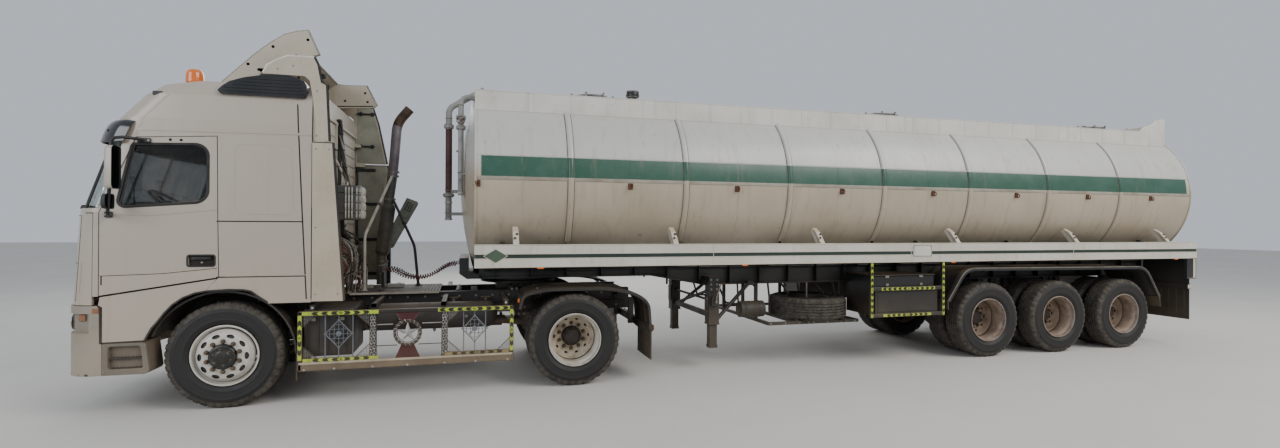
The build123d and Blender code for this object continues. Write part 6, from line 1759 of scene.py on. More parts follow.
# ---------------------------------------------------------------- battery box, air tank, fuel tank
tank_metal = surface("fuel_tank_metal", (150, 150, 148), rough=.38, metal=.75, vary=.25, scale=4, dust=.35, dust_z=(.3, 1.0), up=.5, grain=60, bump=.12, streak=.2)
k = Kit()
# battery box with a lid that overlaps it, ribs and two strap latches (left)
sec = rrect(.690, 1.160, .484, 1.150, .030, 4)
loft(k, [[P(s + (s - .925) * -.02 * t, y, z) for s, y in sec] for t, z in ((1, .470), (0, .50), (0, .880))], 0, smooth=False)
lid = rrect(.682, 1.168, .480, 1.156, .036, 4)
loft(k, [[P(s, y, z) for s, y in lid] for z in (.868, .935)] + [[P(.925 + (s - .925) * .96, .82 + (y - .82) * .97, .954) for s, y in lid]], 0, smooth=False)
for i in range(5):
    s = .745 + .09 * i
    k.sbox(s - .008, s + .008, 1.146, 1.158, .500, .860, 0, .004)
for s in (.790, 1.060):
    k.sbox(s - .016, s + .016, 1.155, 1.164, .800, .925, 3, .003)
    k.sbox(s - .022, s + .022, 1.158, 1.172, .835, .872, 4, .004)
for s in (.720, 1.120):
    k.sbox(s - .02, s + .02, .430, .500, .480, .960, 3, .004)
    k.bolt(P(s, .500, .92), (0, 1, 0), .010, .008, 4)
# air tank with domed ends, welded seams, two bands and brackets (left)
prof = [(0, 0), (.008, .055), (.030, .105), (.062, .138), (.100, .150), (.106, .1515), (.114, .1515), (.120, .150), (1.310, .150), (1.316, .1515), (1.324, .1515), (1.330, .150),
        (1.368, .138), (1.400, .105), (1.422, .055), (1.430, 0)]
k.lathe(P(1.220, .780, .800), (-1, 0, 0), prof, 40, 1)
for s in (1.320, 2.520):
    k.lathe(P(s - .020, .780, .800), (-1, 0, 0), [(0, .1505), (0, .1545), (.040, .1545), (.040, .1505)], 40, 3, closed=True)
    k.sbox(s - .020, s + .020, .425, .640, .905, .958, 3, .004)
    k.sbox(s - .020, s + .020, .425, .447, .760, .958, 3, .004)
    k.prism([(.440, .770), (.640, .910), (.640, .930), (.440, .905)], s - .006, s + .006, "yz", 3)
    k.bolt(P(s, .700, .960), (0, 0, 1), .009, .010, 4)
for s, y, z, ax in ((1.60, .93, .80, (0, 1, 0)), (2.30, .93, .80, (0, 1, 0)), (1.95, .78, .650, (0, 0, -1))):
    k.cyl(P(s, y, z) - Vector(ax) * .01, P(s, y, z) + Vector(ax) * .022, .017, 12, 4)
    k.cyl(P(s, y, z) + Vector(ax) * .020, P(s, y, z) + Vector(ax) * .036, .011, 6, 4, smooth=False)
# fuel tank with rounded section, pressed ends, straps and a cap (right)
sec = rrect(-1.150, -.520, .430, .955, .095, 7)


def ring_at(s, f):
    return [P(s, -.835 + (y + .835) * f, .6925 + (z - .6925) * f) for y, z in sec]


loft(k, [ring_at(.7265, .90), ring_at(.724, .952), ring_at(.720, .985), ring_at(.724, 1.0), ring_at(.740, 1.0), ring_at(2.600, 1.0), ring_at(2.616, 1.0), ring_at(2.620, .985),
         ring_at(2.616, .952), ring_at(2.6135, .90)], 2)
for s in (.98, 1.67, 2.36):
    loft(k, [[P(a, -.835 + (y + .835) * f, .6925 + (z - .6925) * f) for y, z in sec] for a, f in ((s - .025, .998), (s - .025, 1.010), (s + .025, 1.010), (s + .025, .998))], 3, caps=False, smooth=False)
    k.sbox(s - .030, s + .030, -.530, -.425, .455, .500, 3, .004)
    k.sbox(s - .030, s + .030, -.470, -.425, .455, .960, 3, .004)
    k.bolt(P(s, -1.157, .75), (0, -1, 0), .009, .008, 4)
k.lathe(P(.86, -1.02, .935), (0, -.25, 1), [(0, .052), (.022, .052), (.026, .046), (.034, .046), (.036, .050), (.056, .050), (.062, .042), (.062, 0)], 28, 0)
k.sbox(1.25, 1.45, -1.150, -.90, .955, .966, 3, .003)
for i in range(9):
    k.sbox(1.262 + .02 * i, 1.270 + .02 * i, -1.140, -.910, .966, .971, 3, .001)
k.make("boxes_and_tanks", [plastic_black, chassis_black, tank_metal, chassis_black, zinc], "tractor", "side_tanks", "side_tanks", sharp=32)

# ---------------------------------------------------------------- frame: bolts, air lines, deck plate
k = Kit()


def frame_side():
    for i in range(28):
        s = -1.10 + .195 * i
        for z in (.815, .975):
            k.bolt(P(s, .425, z), (0, 1, 0), .009, .008, 0)
    for s0, z in ((.45, .90), (.45, .870)):
        k.tube([P(s0, .434, z), P(1.9, .434, z), P(4.25, .434, z)], .0085 if z > .88 else .007, 8, 1)
    for i in range(9):
        s = .55 + .45 * i
        k.sbox(s - .010, s + .010, .425, .446, .856, .914, 2, .002)
    # small valves on the web
    for s in (2.15, 2.52):
        k.sbox(s - .06, s + .06, .426, .500, .900, .965, 3, .008)
        k.cyl(P(s, .500, .93), P(s, .530, .93), .022, 14, 0)
    # brackets' ribs and end plates
    for s in (.760, 1.340, 2.040, 2.700):
        k.prism([(.427, .880), (.427, .962), (.560, .962)], s + .020, s + .028, "yz", 2)
        k.sbox(s - .004, s + .054, 1.172, 1.180, .950, 1.004, 2, .002)
        k.bolt(P(s + .025, .470, 1.0), (0, 0, 1), .009, .007, 0)
    # suspension hangers over the drive axle
    for s in (2.985, 3.825):
        k.prism([(s - .10, .764), (s + .10, .764), (s + .06, .690), (s - .06, .690)], .428, .446, "xz", 2)
        for ds in (-.06, 0, .06):
            k.bolt(P(s + ds, .446, .735), (0, 1, 0), .010, .008, 0)


k.both(frame_side)
# deck plate with raised lozenges, folded edge
k.sbox(1.010, 1.980, -.485, .485, 1.0380, 1.0405, 4, .0)
for e in (-.485, .485):
    k.sbox(1.010, 1.980, e - .003, e + .003, 1.020, 1.0425, 5, .001)
for e in (1.010, 1.980):
    k.sbox(e - .003, e + .003, -.485, .485, 1.020, 1.0425, 5, .001)
for i in range(27):
    for j in range(27):
        s, y = 1.028 + .0358 * i, -.467 + .0358 * j
        a, b = (.0135, .0042) if (i + j) % 2 else (.0042, .0135)
        v = [P(s - a, y, 1.0405), P(s, y - b, 1.0405), P(s + a, y, 1.0405), P(s, y + b, 1.0405), P(s - a * .6, y, 1.0425), P(s, y - b * .6, 1.0425), P(s + a * .6, y, 1.0425), P(s, y + b * .6, 1.0425)]
        k.add(v, [(4, 5, 6, 7), (0, 1, 5, 4), (1, 2, 6, 5), (2, 3, 7, 6), (3, 0, 4, 7)], 4)
for s in (1.04, 1.50, 1.95):
    for y in (-.455, .455):
        k.bolt(P(s, y, 1.0405), (0, 0, 1), .010, .007, 0)
# second, lower shelf edge behind the deck and the cross tubes seen over the frame
k.tube([P(2.20, -.34, 1.010), P(2.20, .34, 1.010)], .035, 14, 2)
k.tube([P(4.05, -.34, .960), P(4.05, .34, .960)], .040, 14, 2)
k.make("frame_fittings", [zinc, plastic_black, chassis_black, cast_dusty, deck_plate, sill_dusty], "tractor", "chassis_frame", sharp=35)

# ---------------------------------------------------------------- front springs: leaves, U-bolts, shackles, dampers
k = Kit()


def springs():
    for i in range(4):
        pts = []
        L = (.80, .76, .64, .50)[i]
        for j in range(17):
            s = -L + 2 * L * j / 16
            f = (s / .82) ** 2
            top = .610 + (.742 - .610) * f
            pts.append((s, top - .0145 * i - .002))
        v, fc = [], []
        for s, z in pts:
            v += [P(s, .3435, z), P(s, .4265, z), P(s, .4265, z - .011), P(s, .3435, z - .011)]
        for j in range(16):
            a, b = j * 4, j * 4 + 4
            fc += [(a + q, a + (q + 1) % 4, b + (q + 1) % 4, b + q) for q in range(4)]
        fc += [(3, 2, 1, 0), (64, 65, 66, 67)]
        k.add(v, fc, 0)
    for s in (-.062, .062):
        for y in (.337, .433):
            k.tube([P(s, y, .452), P(s, y, .625)], .010, 8, 1)
            k.cyl(P(s, y, .448), P(s, y, .468), .017, 6, 1, smooth=False)
        k.tube([P(s, .337, .622), P(s, .345, .634), P(s, .385, .638), P(s, .425, .634), P(s, .433, .622)], .010, 8, 1)
    for s in (-.815, .815):
        k.cyl(P(s, .334, .722), P(s, .436, .722), .034, 20, 0)
        k.cyl(P(s, .330, .722), P(s, .440, .722), .016, 10, 1)
    for s in (-.40, .40):
        k.sbox(s - .02, s + .02, .338, .432, .608 + .0, .668, 1, .003)
    # damper
    k.cyl(P(-.20, .470, .500), P(-.34, .470, .800), .030, 18, 2)
    k.cyl(P(-.30, .470, .715), P(-.38, .470, .885), .038, 18, 2)


k.both(springs)
k.make("front_springs", [spring_steel, zinc, chassis_black], "tractor", "front_axle", sharp=35)

# ---------------------------------------------------------------- drive axle: bellows folds, rods, hub flange bolts, brake chambers
k = Kit()


def rear_susp():
    for s in (3.080, 3.920):
        prof = [(0, 0), (0, .085), (.012, .098)]
        for i in range(3):
            z = .012 + .064 * i
            prof += [(z + .014, .110), (z + .032, .1125), (z + .050, .110), (z + .062, .101)]
        prof += [(.216, .098), (.220, .085), (.222, 0)]
        k.lathe(P(s, .375, .541), (0, 0, 1), prof, 28, 0)
    k.cyl(P(3.34, .47, .52), P(3.20, .47, .82), .030, 16, 1)
    k.cyl(P(3.24, .47, .735), P(3.16, .47, .905), .038, 16, 1)
    k.cyl(P(3.62, .36, .620), P(3.80, .36, .640), .070, 22, 1, c=.012)
    k.cyl(P(3.595, .36, .618), P(3.615, .36, .620), .078, 22, 2, c=.003)


k.both(rear_susp)
for i in range(12):
    q = 2 * math.pi * i / 12
    k.bolt(P(3.262, .15 * math.cos(q), .530 + .15 * math.sin(q)), (1, 0, 0), .010, .012, 2)
k.tube([P(3.72, -.30, .62), P(3.72, .30, .66)], .026, 14, 1)
k.make("drive_axle_fittings", [rubber_black, cast_dusty, zinc], "tractor", "drive_axle", sharp=35)

# ---------------------------------------------------------------- mudguards: folded lips, ribs, stays, lamps
k = Kit()
R_ARC = [(2.860, .900), (2.900, 1.060), (3.150, 1.118), (3.900, 1.118), (4.230, 1.040), (4.390, .930), (4.410, .660)]


def fine(line, step=.05):
    out = []
    for (s0, z0), (s1, z1) in zip(line, line[1:]):
        n = max(1, int(math.hypot(s1 - s0, z1 - z0) / step))
        out += [(s0 + (s1 - s0) * i / n, z0 + (z1 - z0) * i / n) for i in range(n)]
    return out + [line[-1]]


def rounded_line(line, r, n=5):
    """rounds the inner corners of an open line."""
    out = [line[0]]
    for a, b, c in zip(line, line[1:], line[2:]):
        u, v = Vector((a[0] - b[0], a[1] - b[1])), Vector((c[0] - b[0], c[1] - b[1]))
        d = min(r, u.length * .45, v.length * .45)
        p, q = Vector(b) + u.normalized() * d, Vector(b) + v.normalized() * d
        for i in range(n + 1):
            t = i / n
            w = p * (1 - t) ** 2 + Vector(b) * 2 * t * (1 - t) + q * t * t
            out.append((w.x, w.y))
    return out + [line[-1]]


def guard_sheet(line, y0, y1, t, lip, mat):
    """curved wheel cover with rolled edges, from its upper line."""
    pts = rounded_line(line, .16, 8)
    m = len(pts)
    nr = []
    for i in range(m):
        a, b = pts[max(0, i - 1)], pts[min(m - 1, i + 1)]
        d = Vector((b[0] - a[0], b[1] - a[1])).normalized()
        nr.append(Vector((-d.y, d.x)) if d.x >= 0 else Vector((-d.y, d.x)))
    cols = [(y1, -lip), (y1 + .000, -.006), (y1 - .006, 0.0), (y1 - .030, .0), (y1 - .040, .006), (y1 - .100, .006), (y1 - .110, 0.0), ((y0 + y1) / 2 + .05, 0.0),
            ((y0 + y1) / 2 + .04, .005), ((y0 + y1) / 2 - .04, .005), ((y0 + y1) / 2 - .05, 0.0), (y0 + .11, 0.0), (y0 + .10, .006), (y0 + .04, .006), (y0 + .03, 0.0), (y0, -.004), (y0, -lip)]
    grid = []
    for y, h in cols:
        grid.append([P(p[0] + n.x * h, y, p[1] + n.y * h) for p, n in zip(pts, nr)])
    inner = []
    for y, h in cols:
        yy = y - .004 if y == y1 else (y + .004 if y == y0 else y)
        inner.append([P(p[0] + n.x * (h - t if abs(h) < .02 else h), yy, p[1] + n.y * (h - t if abs(h) < .02 else h)) for p, n in zip(pts, nr)])
    rows = grid + inner[::-1]
    v = [p for r in rows for p in r]
    R = len(rows)
    f = []
    for i in range(R):
        for j in range(m - 1):
            a, b = i * m, ((i + 1) % R) * m
            f.append((a + j, a + j + 1, b + j + 1, b + j))
    f.append(tuple(i * m for i in range(R)))
    f.append(tuple(reversed([i * m + m - 1 for i in range(R)])))
    k.add(v, f, mat, True)


def rear_guards():
    guard_sheet(R_ARC, .560, 1.235, .005, .030, 0)
    # stays from the frame and clamps
    for s, z in ((3.080, 1.088), (4.140, 1.040)):
        k.tube([P(s, .425, .960), P(s, .56, .962), P(s, .60, .985), P(s, .62, z - .02), P(s, 1.16, z - .004)], .016, 10, 1)
        for y in (.70, 1.10):
            k.sbox(s - .028, s + .028, y - .018, y + .018, z - .024, z + .008, 1, .004)
            k.bolt(P(s, y, z + (.026 if s < 3.5 else .022)), (0, 0, 1), .008, .006, 3)
        k.sbox(s - .03, s + .03, .425, .437, .915, 1.005, 1, .003)
    # flap with ribs and its clamp bar
    k.prism(round_poly([(4.409, .240), (4.423, .240), (4.423, .575), (4.409, .575)], [.003] * 4, 2), .600, 1.180, "xz", 2)
    for i in range(7):
        y = .64 + .083 * i
        k.sbox(4.4225, 4.4275, y - .006, y + .006, .262, .540, 2, .002)
    k.sbox(4.404, 4.408, .60, 1.18, .545, .600, 1, .001)
    for y in (.66, .80, .95, 1.10):
        k.bolt(P(4.4275, y, .560), (-1, 0, 0), .008, .006, 3)
    # front wheel inner arch with its lip
    pts = [(.645 * math.cos(math.radians(a)), .525 + .645 * math.sin(math.radians(a))) for a in range(0, 161, 8)]
    rows = []
    for y, r in ((1.205, .630), (1.205, .648), (1.198, .650), (1.15, .650), (1.14, .656), (1.06, .656), (1.05, .650), (.80, .650), (.79, .656), (.70, .656), (.69, .650), (.640, .650), (.640, .645),
                 (1.195, .645), (1.197, .630)):
        rows.append([P(r * math.cos(math.radians(a)), y, .525 + r * math.sin(math.radians(a))) for a in range(0, 161, 8)])
    m = len(rows[0])
    v = [p for r in rows for p in r]
    f = [(i * m + j, i * m + j + 1, ((i + 1) % len(rows)) * m + j + 1, ((i + 1) % len(rows)) * m + j) for i in range(len(rows)) for j in range(m - 1)]
    f += [tuple(i * m for i in range(len(rows))), tuple(reversed([i * m + m - 1 for i in range(len(rows))]))]
    k.add(v, f, 0, True)
    k.prism(round_poly([(.639, .240), (.651, .240), (.651, .535), (.639, .535)], [.003] * 4, 2), .640, 1.205, "xz", 2)
    for i in range(5):
        k.sbox(.6505, .6545, .70 + .11 * i, .712 + .11 * i, .262, .500, 2, .001)


k.both(rear_guards)
# tail bar with lamp units, blank plate, brackets
sec = rrect(4.400, 4.440, .560, .660, .010, 3)
loft(k, [[P(s, -1.150, z) for s, z in sec], [P(s, 1.150, z) for s, z in sec]], 1, smooth=False)


def tail_lamps():
    k.sbox(4.330, 4.404, .382, .425, .560, .900, 1, .006)
    k.sbox(4.440, 4.462, .700, 1.130, .572, .648, 2, .008)
    for y0, y1, mt in ((.708, .806, 4), (.812, .904, 6), (.910, .990, 5), (.996, 1.122, 4)):
        sec = rrect(y0, y1, .580, .640, .010, 3)
        c = ((y0 + y1) / 2, .610)
        loft(k, [[P(s, c[0] + (y - c[0]) * f, c[1] + (z - c[1]) * f) for y, z in sec] for s, f in ((4.460, 1), (4.468, 1), (4.474, .88))], mt)
    k.tube([P(4.448, .72, .570), P(4.43, .60, .53), P(4.36, .45, .60)], .008, 8, 2)


k.both(tail_lamps)
k.sbox(4.440, 4.446, -.26, .26, .555, .668, 7, .002)
for y in (-.22, .22):
    k.bolt(P(4.446, y, .65), (-1, 0, 0), .006, .004, 3)
# small amber markers on the guards' front corners
for sg in (1, -1):
    k.lathe(P(2.872, sg * 1.18, .985), (1, 0, 0), [(0, 0), (0, .026), (.010, .026), (.018, .018), (.021, 0)], 18, 5)
k.make("mudguard_set", [plastic_black, chassis_black, rubber_black, zinc, red_lens, amber, white_lens, white_worn], "tractor", "mudguards", "mudguards", sharp=40)

# ---------------------------------------------------------------- fifth wheel: plate edges, jaw, handle, pivots
k = Kit()
for sg in (1, -1):
    k.cyl(P(2.950, sg * .330, 1.068), P(2.950, sg * .424, 1.068), .052, 22, 0, c=.006)
    for ds in (-.11, -.05, .05, .11):
        k.bolt(P(2.950 + ds, sg * .424, 1.045), (0, sg, 0), .011, .010, 1)
    for i in range(6):
        a = math.radians(115 + 22 * i) if sg > 0 else math.radians(-115 - 22 * i)
        k.tube([P(2.950 + .30 * math.cos(a), .30 * math.sin(a), 1.1812), P(2.950 + .44 * math.cos(a), .44 * math.sin(a), 1.1812)], .0035, 6, 2)
k.tube([P(2.85, .30, 1.095), P(2.82, .47, 1.095), P(2.80, .62, 1.092)], .013, 10, 0)
k.tube([P(2.80, .60, 1.092), P(2.795, .66, 1.092), P(2.83, .69, 1.092), P(2.87, .66, 1.092), P(2.86, .62, 1.092)], .010, 8, 0)
ring = [P(2.950 + .483 * math.cos(math.radians(a)), .483 * math.sin(math.radians(a)), 1.150) for a in range(24, 337, 8)]
k.tube(ring, .010, 8, 0)
k.make("coupling_fittings", [frame_grease, zinc, frame_grease], "tractor", "fifth_wheel", sharp=35)

# ================================================================ behind the cab: exhaust, air cleaner, plate arm, looms
exhaust_violet = surface("exhaust_upper", (126, 118, 122), rough=.5, metal=.45, vary=.35, scale=5, dust=0.0, up=.15, grain=60, bump=.2, rust=.3, streak=.3,
                         dark=(88, 80, 84))
exhaust_low = surface("exhaust_lower", (92, 92, 88), rough=.6, metal=.3, vary=.4, scale=5, dust=.25, dust_z=(1.0, 2.4), up=.2, grain=60, bump=.3, rust=.5, streak=.3,
                      dark=(60, 58, 54))
stay_light = surface("stay_light", (182, 178, 168), rough=.5, vary=.25, scale=7, dust=.1, dust_z=(1.0, 2.0), up=.2, grain=60, bump=.15, chips=.4, dark=(142, 134, 120))
# a dark stay, and painted shade on the walls of the plate arm's holes
stay_dark_and_hole_shade = surface("stay_dark_and_hole_shade", (72, 66, 62), rough=.55, metal=.3, vary=.3, scale=7, dust=.1, dust_z=(1.0, 2.0), up=.2, grain=60, bump=.2, rust=.3)


def smooth_path(pts, rad, n=7):
    """a line of points with its inner corners rounded."""
    pts = [Vector(p) for p in pts]
    out = [pts[0]]
    for i in range(1, len(pts) - 1):
        a, b, c = pts[i - 1], pts[i], pts[i + 1]
        r = rad[i - 1] if isinstance(rad, (list, tuple)) else rad
        d = min(r, (a - b).length * .45, (c - b).length * .45)
        p, q = b + (a - b).normalized() * d, b + (c - b).normalized() * d
        for j in range(n + 1):
            t = j / n
            out.append(p * (1 - t) ** 2 + b * 2 * t * (1 - t) + q * t * t)
    out.append(pts[-1])
    return out


def fine_path(pts, step):
    out = []
    for a, b in zip(pts, pts[1:]):
        n = max(1, int((b - a).length / step))
        out += [a + (b - a) * (i / n) for i in range(n)]
    return out + [pts[-1]]


EY = -.600
k = Kit()
line = fine_path(smooth_path([P(1.205, EY, 1.040), P(1.205, EY, 1.500), P(1.345, EY, 2.560), P(1.390, EY, 3.190), P(1.545, EY, 3.385)], [.20, .25, .17], 9), .045)
low = [p for p in line if p.z < 2.50]
mid = [p for p in line if 2.46 < p.z < 3.16]
tip = [p for p in line if p.z > 3.13]
k.tube(low, .0622, 28, 1)
k.tube(mid, .0625, 28, 0)
k.tube(tip, .0626, 28, 2)
# rolled lip and the dark inside of the tip
d = (line[-1] - line[-2]).normalized()
k.lathe(line[-1], d, [(-.020, .0626), (-.004, .0650), (.002, .0625), (.001, .0585), (-.060, .0570), (-.060, 0)], 28, 2, mats=[2, 2, 2, 6, 6])
# welded silencer body with cone ends, seam rings
sa, sb = P(1.208, EY, 1.420), P(1.292, EY, 2.110)
ax = (sb - sa).normalized()
L = (sb - sa).length
k.lathe(sa, ax, [(0, .060), (.010, .066), (.045, .086), (.055, .0880), (.060, .0890), (.068, .0880), (.330, .0878), (.336, .0886), (.342, .0878), (L - .068, .0880), (L - .060, .0890), (L - .055, .0880),
                 (L - .045, .086), (L - .010, .066), (L, .060)], 36, 1)
# clamps
for z in (1.36, 1.47, 2.16, 2.475, 2.515):
    i = min(range(len(line)), key=lambda j: abs(line[j].z - z))
    dd = (line[min(i + 1, len(line) - 1)] - line[i - 1]).normalized()
    k.lathe(line[i] - dd * .014, dd, [(0, .0625), (0, .0672), (.028, .0672), (.028, .0625)], 28, 5, closed=True)
    k.sbox(6.160 - line[i].x + .058, 6.160 - line[i].x + .082, EY - .014, EY + .014, line[i].z - .013, line[i].z + .013, 5, .003)
# stays with flattened, bolted ends and clamp knuckles
for pts, mt in (([(1.340, -.580, 2.500), (1.120, .200, 1.700), (1.120, .200, 1.038)], 3), ([(1.340, -.580, 2.180), (1.640, -.300, 1.560), (1.690, -.300, 1.046)], 4)):
    q = [P(*p) for p in pts]
    k.tube(smooth_path(q, .06, 6), .0178, 14, mt)
    d0 = (q[1] - q[0]).normalized()
    c = q[0] + (q[1] - q[0]) * .52
    k.lathe(c - d0 * .022, d0, [(0, .0178), (0, .0235), (.004, .0255), (.040, .0255), (.044, .0235), (.044, .0178)], 16, 4, closed=True)
    k.bolt(c + Vector((-.020, .012, .004)), (-1, .5, 0), .008, .010, 5)
    k.lathe(q[2], (0, 0, 1), [(0, .0), (0, .044), (.006, .044), (.008, .030), (.022, .026), (.026, .018), (.026, 0)], 20, mt)
    for a in range(3):
        k.bolt(q[2] + Vector((.034 * math.cos(2.1 * a), .034 * math.sin(2.1 * a), .005)), (0, 0, 1), .006, .006, 5, False)
k.make("exhaust_and_stays", [exhaust_violet, exhaust_low, scorched, stay_light, stay_dark_and_hole_shade, zinc, seam_dark_and_hole_shade], "tractor", "exhaust_stack", "exhaust_stack", sharp=40)

# ---------------------------------------------------------------- air cleaner: rounded body, upright ribs around its rear
cleaner_dark = surface("cleaner_dark", (70, 72, 74), rough=.5, vary=.2, scale=5, dust=.12, dust_z=(1.4, 2.4), up=.35, grain=100, bump=.2)
cleaner_light = surface("cleaner_ribs", (176, 176, 166), rough=.5, vary=.22, scale=7, dust=.12, dust_z=(1.4, 2.4), up=.25, grain=80, bump=.15, dark=(128, 126, 116), chips=.25)
k = Kit()
sec = rrect(.814, 1.148, .332, .698, .050, 7)
loft(k, [[P(.981 + (s - .981) * f, .515 + (y - .515) * f, z) for s, y in sec] for f, z in ((.90, 1.882), (.97, 1.888), (1.0, 1.905), (1.0, 2.245), (.97, 2.262), (.90, 2.268))], 0)
# ribs stand round the rear corners and the rear face, in four rows
path = [(s, .698) for s in (1.000, 1.032, 1.064)] + [(1.110, .690), (1.136, .668), (1.148, .632)] + [(1.148, .632 - .0425 * i) for i in range(1, 6)]
path += [(1.148, .398), (1.136, .362), (1.110, .340)] + [(s, .332) for s in (1.064, 1.032, 1.000)]
for s, y in path:
    nx, ny = s - 1.085, y - .515
    if abs(y - .515) > .175 and s < 1.09:
        n2 = (0.0, math.copysign(1.0, ny))
    elif s > 1.147:
        n2 = (1.0, 0.0)
    else:
        m_ = math.hypot(s - 1.098, abs(y - .515) - .133)
        n2 = ((s - 1.098) / m_, math.copysign((abs(y - .515) - .133) / m_, ny))
    for i in range(4):
        z0 = 1.905 + .087 * i
        pts = []
        for t in range(7):
            u = t / 6
            h = .0115 * math.sin(math.pi * u) ** .35
            pts.append(P(s + n2[0] * (h - .006), y + n2[1] * (h - .006), z0 + .080 * u))
        k.tube(pts, .0085 if n2[0] < .9 else .0115, 8, 1)
# top cover, strap bands, intake elbow, mounting feet
loft(k, [[P(.981 + (s - .981) * f, .515 + (y - .515) * f, z) for s, y in sec] for f, z in ((.94, 2.262), (.94, 2.2695))], 2, smooth=False)
for z in (1.960, 2.190):
    band_pts = [P(s, y + .0, z) for s, y in rrect(.812, 1.150, .330, .700, .052, 7)]
    k.tube(band_pts, .0040, 6, 3, closed=True)
for y in (.40, .63):
    k.sbox(.783, .816, y - .03, y + .03, 1.90, 1.93, 3, .003)
    k.sbox(.783, .816, y - .03, y + .03, 2.20, 2.23, 3, .003)
    for z in (1.915, 2.215):
        k.bolt(P(.800, y, z), (0, 1, 0), .006, .034, 4, False)
el = fine_path(smooth_path([P(.900, .44, 1.890), P(.900, .44, 1.780), P(.900, .20, 1.700), P(.900, .05, 1.690)], .10, 8), .012)
k.tube(el, [.040 + .0035 * (i % 2) for i in range(len(el))], 16, 5)
k.sbox(.782, .812, .340, .690, 1.895, 2.255, 3, .008)
k.make("air_cleaner_ribbed", [cleaner_dark, cleaner_light, cleaner_dark, chassis_black, zinc, rubber_black], "tractor", "air_cleaner", "air_cleaner", sharp=42)

# ---------------------------------------------------------------- plate arm: folded edge, perforated end plate, bolts
arm_green = surface("arm_green_grey", (152, 154, 141), rough=.6, vary=.25, scale=5, dust=.15, dust_z=(1.0, 2.2), up=.3, grain=60, bump=.2, rust=.2, dark=(98, 98, 88))
k = Kit()
arm = [(1.195, 1.545), (1.325, 1.520), (1.640, 2.112), (1.626, 2.148), (1.508, 2.192)]
dv, pv = Vector((.470, .883)), Vector((.883, -.470))
for yy, nn in ((-.690, 1), (-.790, -1)):
    q = [(1.415 + (s - 1.415) * .985, 1.84 + (z - 1.84) * .99) for s, z in arm]
    k.prism(q, yy, yy + nn * .0025, "xz", 0)
    c0 = Vector((1.534, 2.074))
    CELL = .032
    for i in range(-2, 2):
        for j in range(-1, 2):
            c = c0 + dv * (CELL * (i + .5)) + pv * (CELL * j)
            sq, ho = [], []
            for a in range(8):
                q8 = math.pi / 4 * a
                m_ = CELL / 2 / max(abs(math.cos(q8)), abs(math.sin(q8)))
                sq.append(c + dv * (math.cos(q8) * m_) + pv * (math.sin(q8) * m_))
                ho.append(c + dv * (math.cos(q8) * .0105) + pv * (math.sin(q8) * .0105))
            h0, h1 = yy + nn * .0030, yy + nn * .0085
            v = [P(p.x, h1, p.y) for p in sq] + [P(p.x, h1, p.y) for p in ho] + [P(p.x, h0, p.y) for p in ho]
            k.add(v, [(a, (a + 1) % 8, 8 + (a + 1) % 8, 8 + a) for a in range(8)], 0)
            # painted shade: each hole's walls are darker than the plate, and a near-black disc closes its floor
            k.add(v, [(8 + a, 8 + (a + 1) % 8, 16 + (a + 1) % 8, 16 + a) for a in range(8)], 1)
            k.add([P(p.x, h0 + nn * .0002, p.y) for p in ho], [tuple(range(8))], 2)
    # the perforated plate's outer edge
    e = [c0 + dv * (CELL * 2.0 * a) + pv * (CELL * 1.5 * b) for a, b in ((-1, -1), (1, -1), (1, 1), (-1, 1))]
    for a, b in zip(e, e[1:] + e[:1]):
        k.tube([P(a.x, yy + nn * .0058, a.y), P(b.x, yy + nn * .0058, b.y)], .0030, 6, 0)
for a, b in zip(arm, arm[1:] + arm[:1]):
    for yy in (-.690, -.790):
        k.tube([P(a[0], yy, a[1]), P(b[0], yy, b[1])], .0048, 8, 0)
for t in (.12, .32, .52, .72):
    c = Vector((1.26, 1.56)) + dv * (.60 * t)
    k.bolt(P(c.x, -.6875, c.y), (0, 1, 0), .009, .007, 3)
k.bolt(P(1.635, -.700, 2.13), (-1, 0, .4), .010, .016, 3)
# stand on the deck: feet plates, channels, a small rod with a hook
for s0, s1, y0, y1, z in ((1.020, 1.190, -.030, .030, 1.046), (1.345, 1.540, -.130, -.070, 1.046)):
    k.sbox(s0, s1, y0, y1, z + .034, z + .046, 4, .003)
    k.sbox(s0, s1, y0, y0 + .006, z + .002, z + .036, 4, .001)
    k.sbox(s0, s1, y1 - .006, y1, z + .002, z + .036, 4, .001)
k.tube(smooth_path([P(1.118, 0, 1.09), P(1.118, 0, 1.300), P(1.100, .05, 1.330), P(1.090, .06, 1.290)], .03, 4), .0075, 8, 4)
for s in (1.296, 1.324):
    for y in (-.225, .295):
        k.bolt(P(s, y, 1.341), (0, 0, 1), .007, .006, 3)
k.make("plate_arm_and_stand_fittings", [arm_green, stay_dark_and_hole_shade, seam_dark_and_hole_shade, zinc, stay_light], "tractor", "deck_brackets", sharp=35)

# ---------------------------------------------------------------- fixed looms, held to the wall and the frame by clamps and end fittings
hose_brown = surface("hose_red_brown", (112, 66, 58), rough=.45, vary=.3, scale=12, dust=.2, dust_z=(1.0, 2.0), up=.3, grain=80, bump=.15, dark=(74, 44, 40))
hose_grey = surface("hose_grey", (128, 126, 120), rough=.5, vary=.3, scale=12, dust=.2, dust_z=(1.0, 2.0), up=.3, grain=80, bump=.15, dark=(84, 82, 78))
hose_pale = surface("hose_pale", (182, 178, 166), rough=.5, vary=.25, scale=12, dust=.1, dust_z=(1.0, 2.0), up=.2, grain=80, bump=.12)
k = Kit()


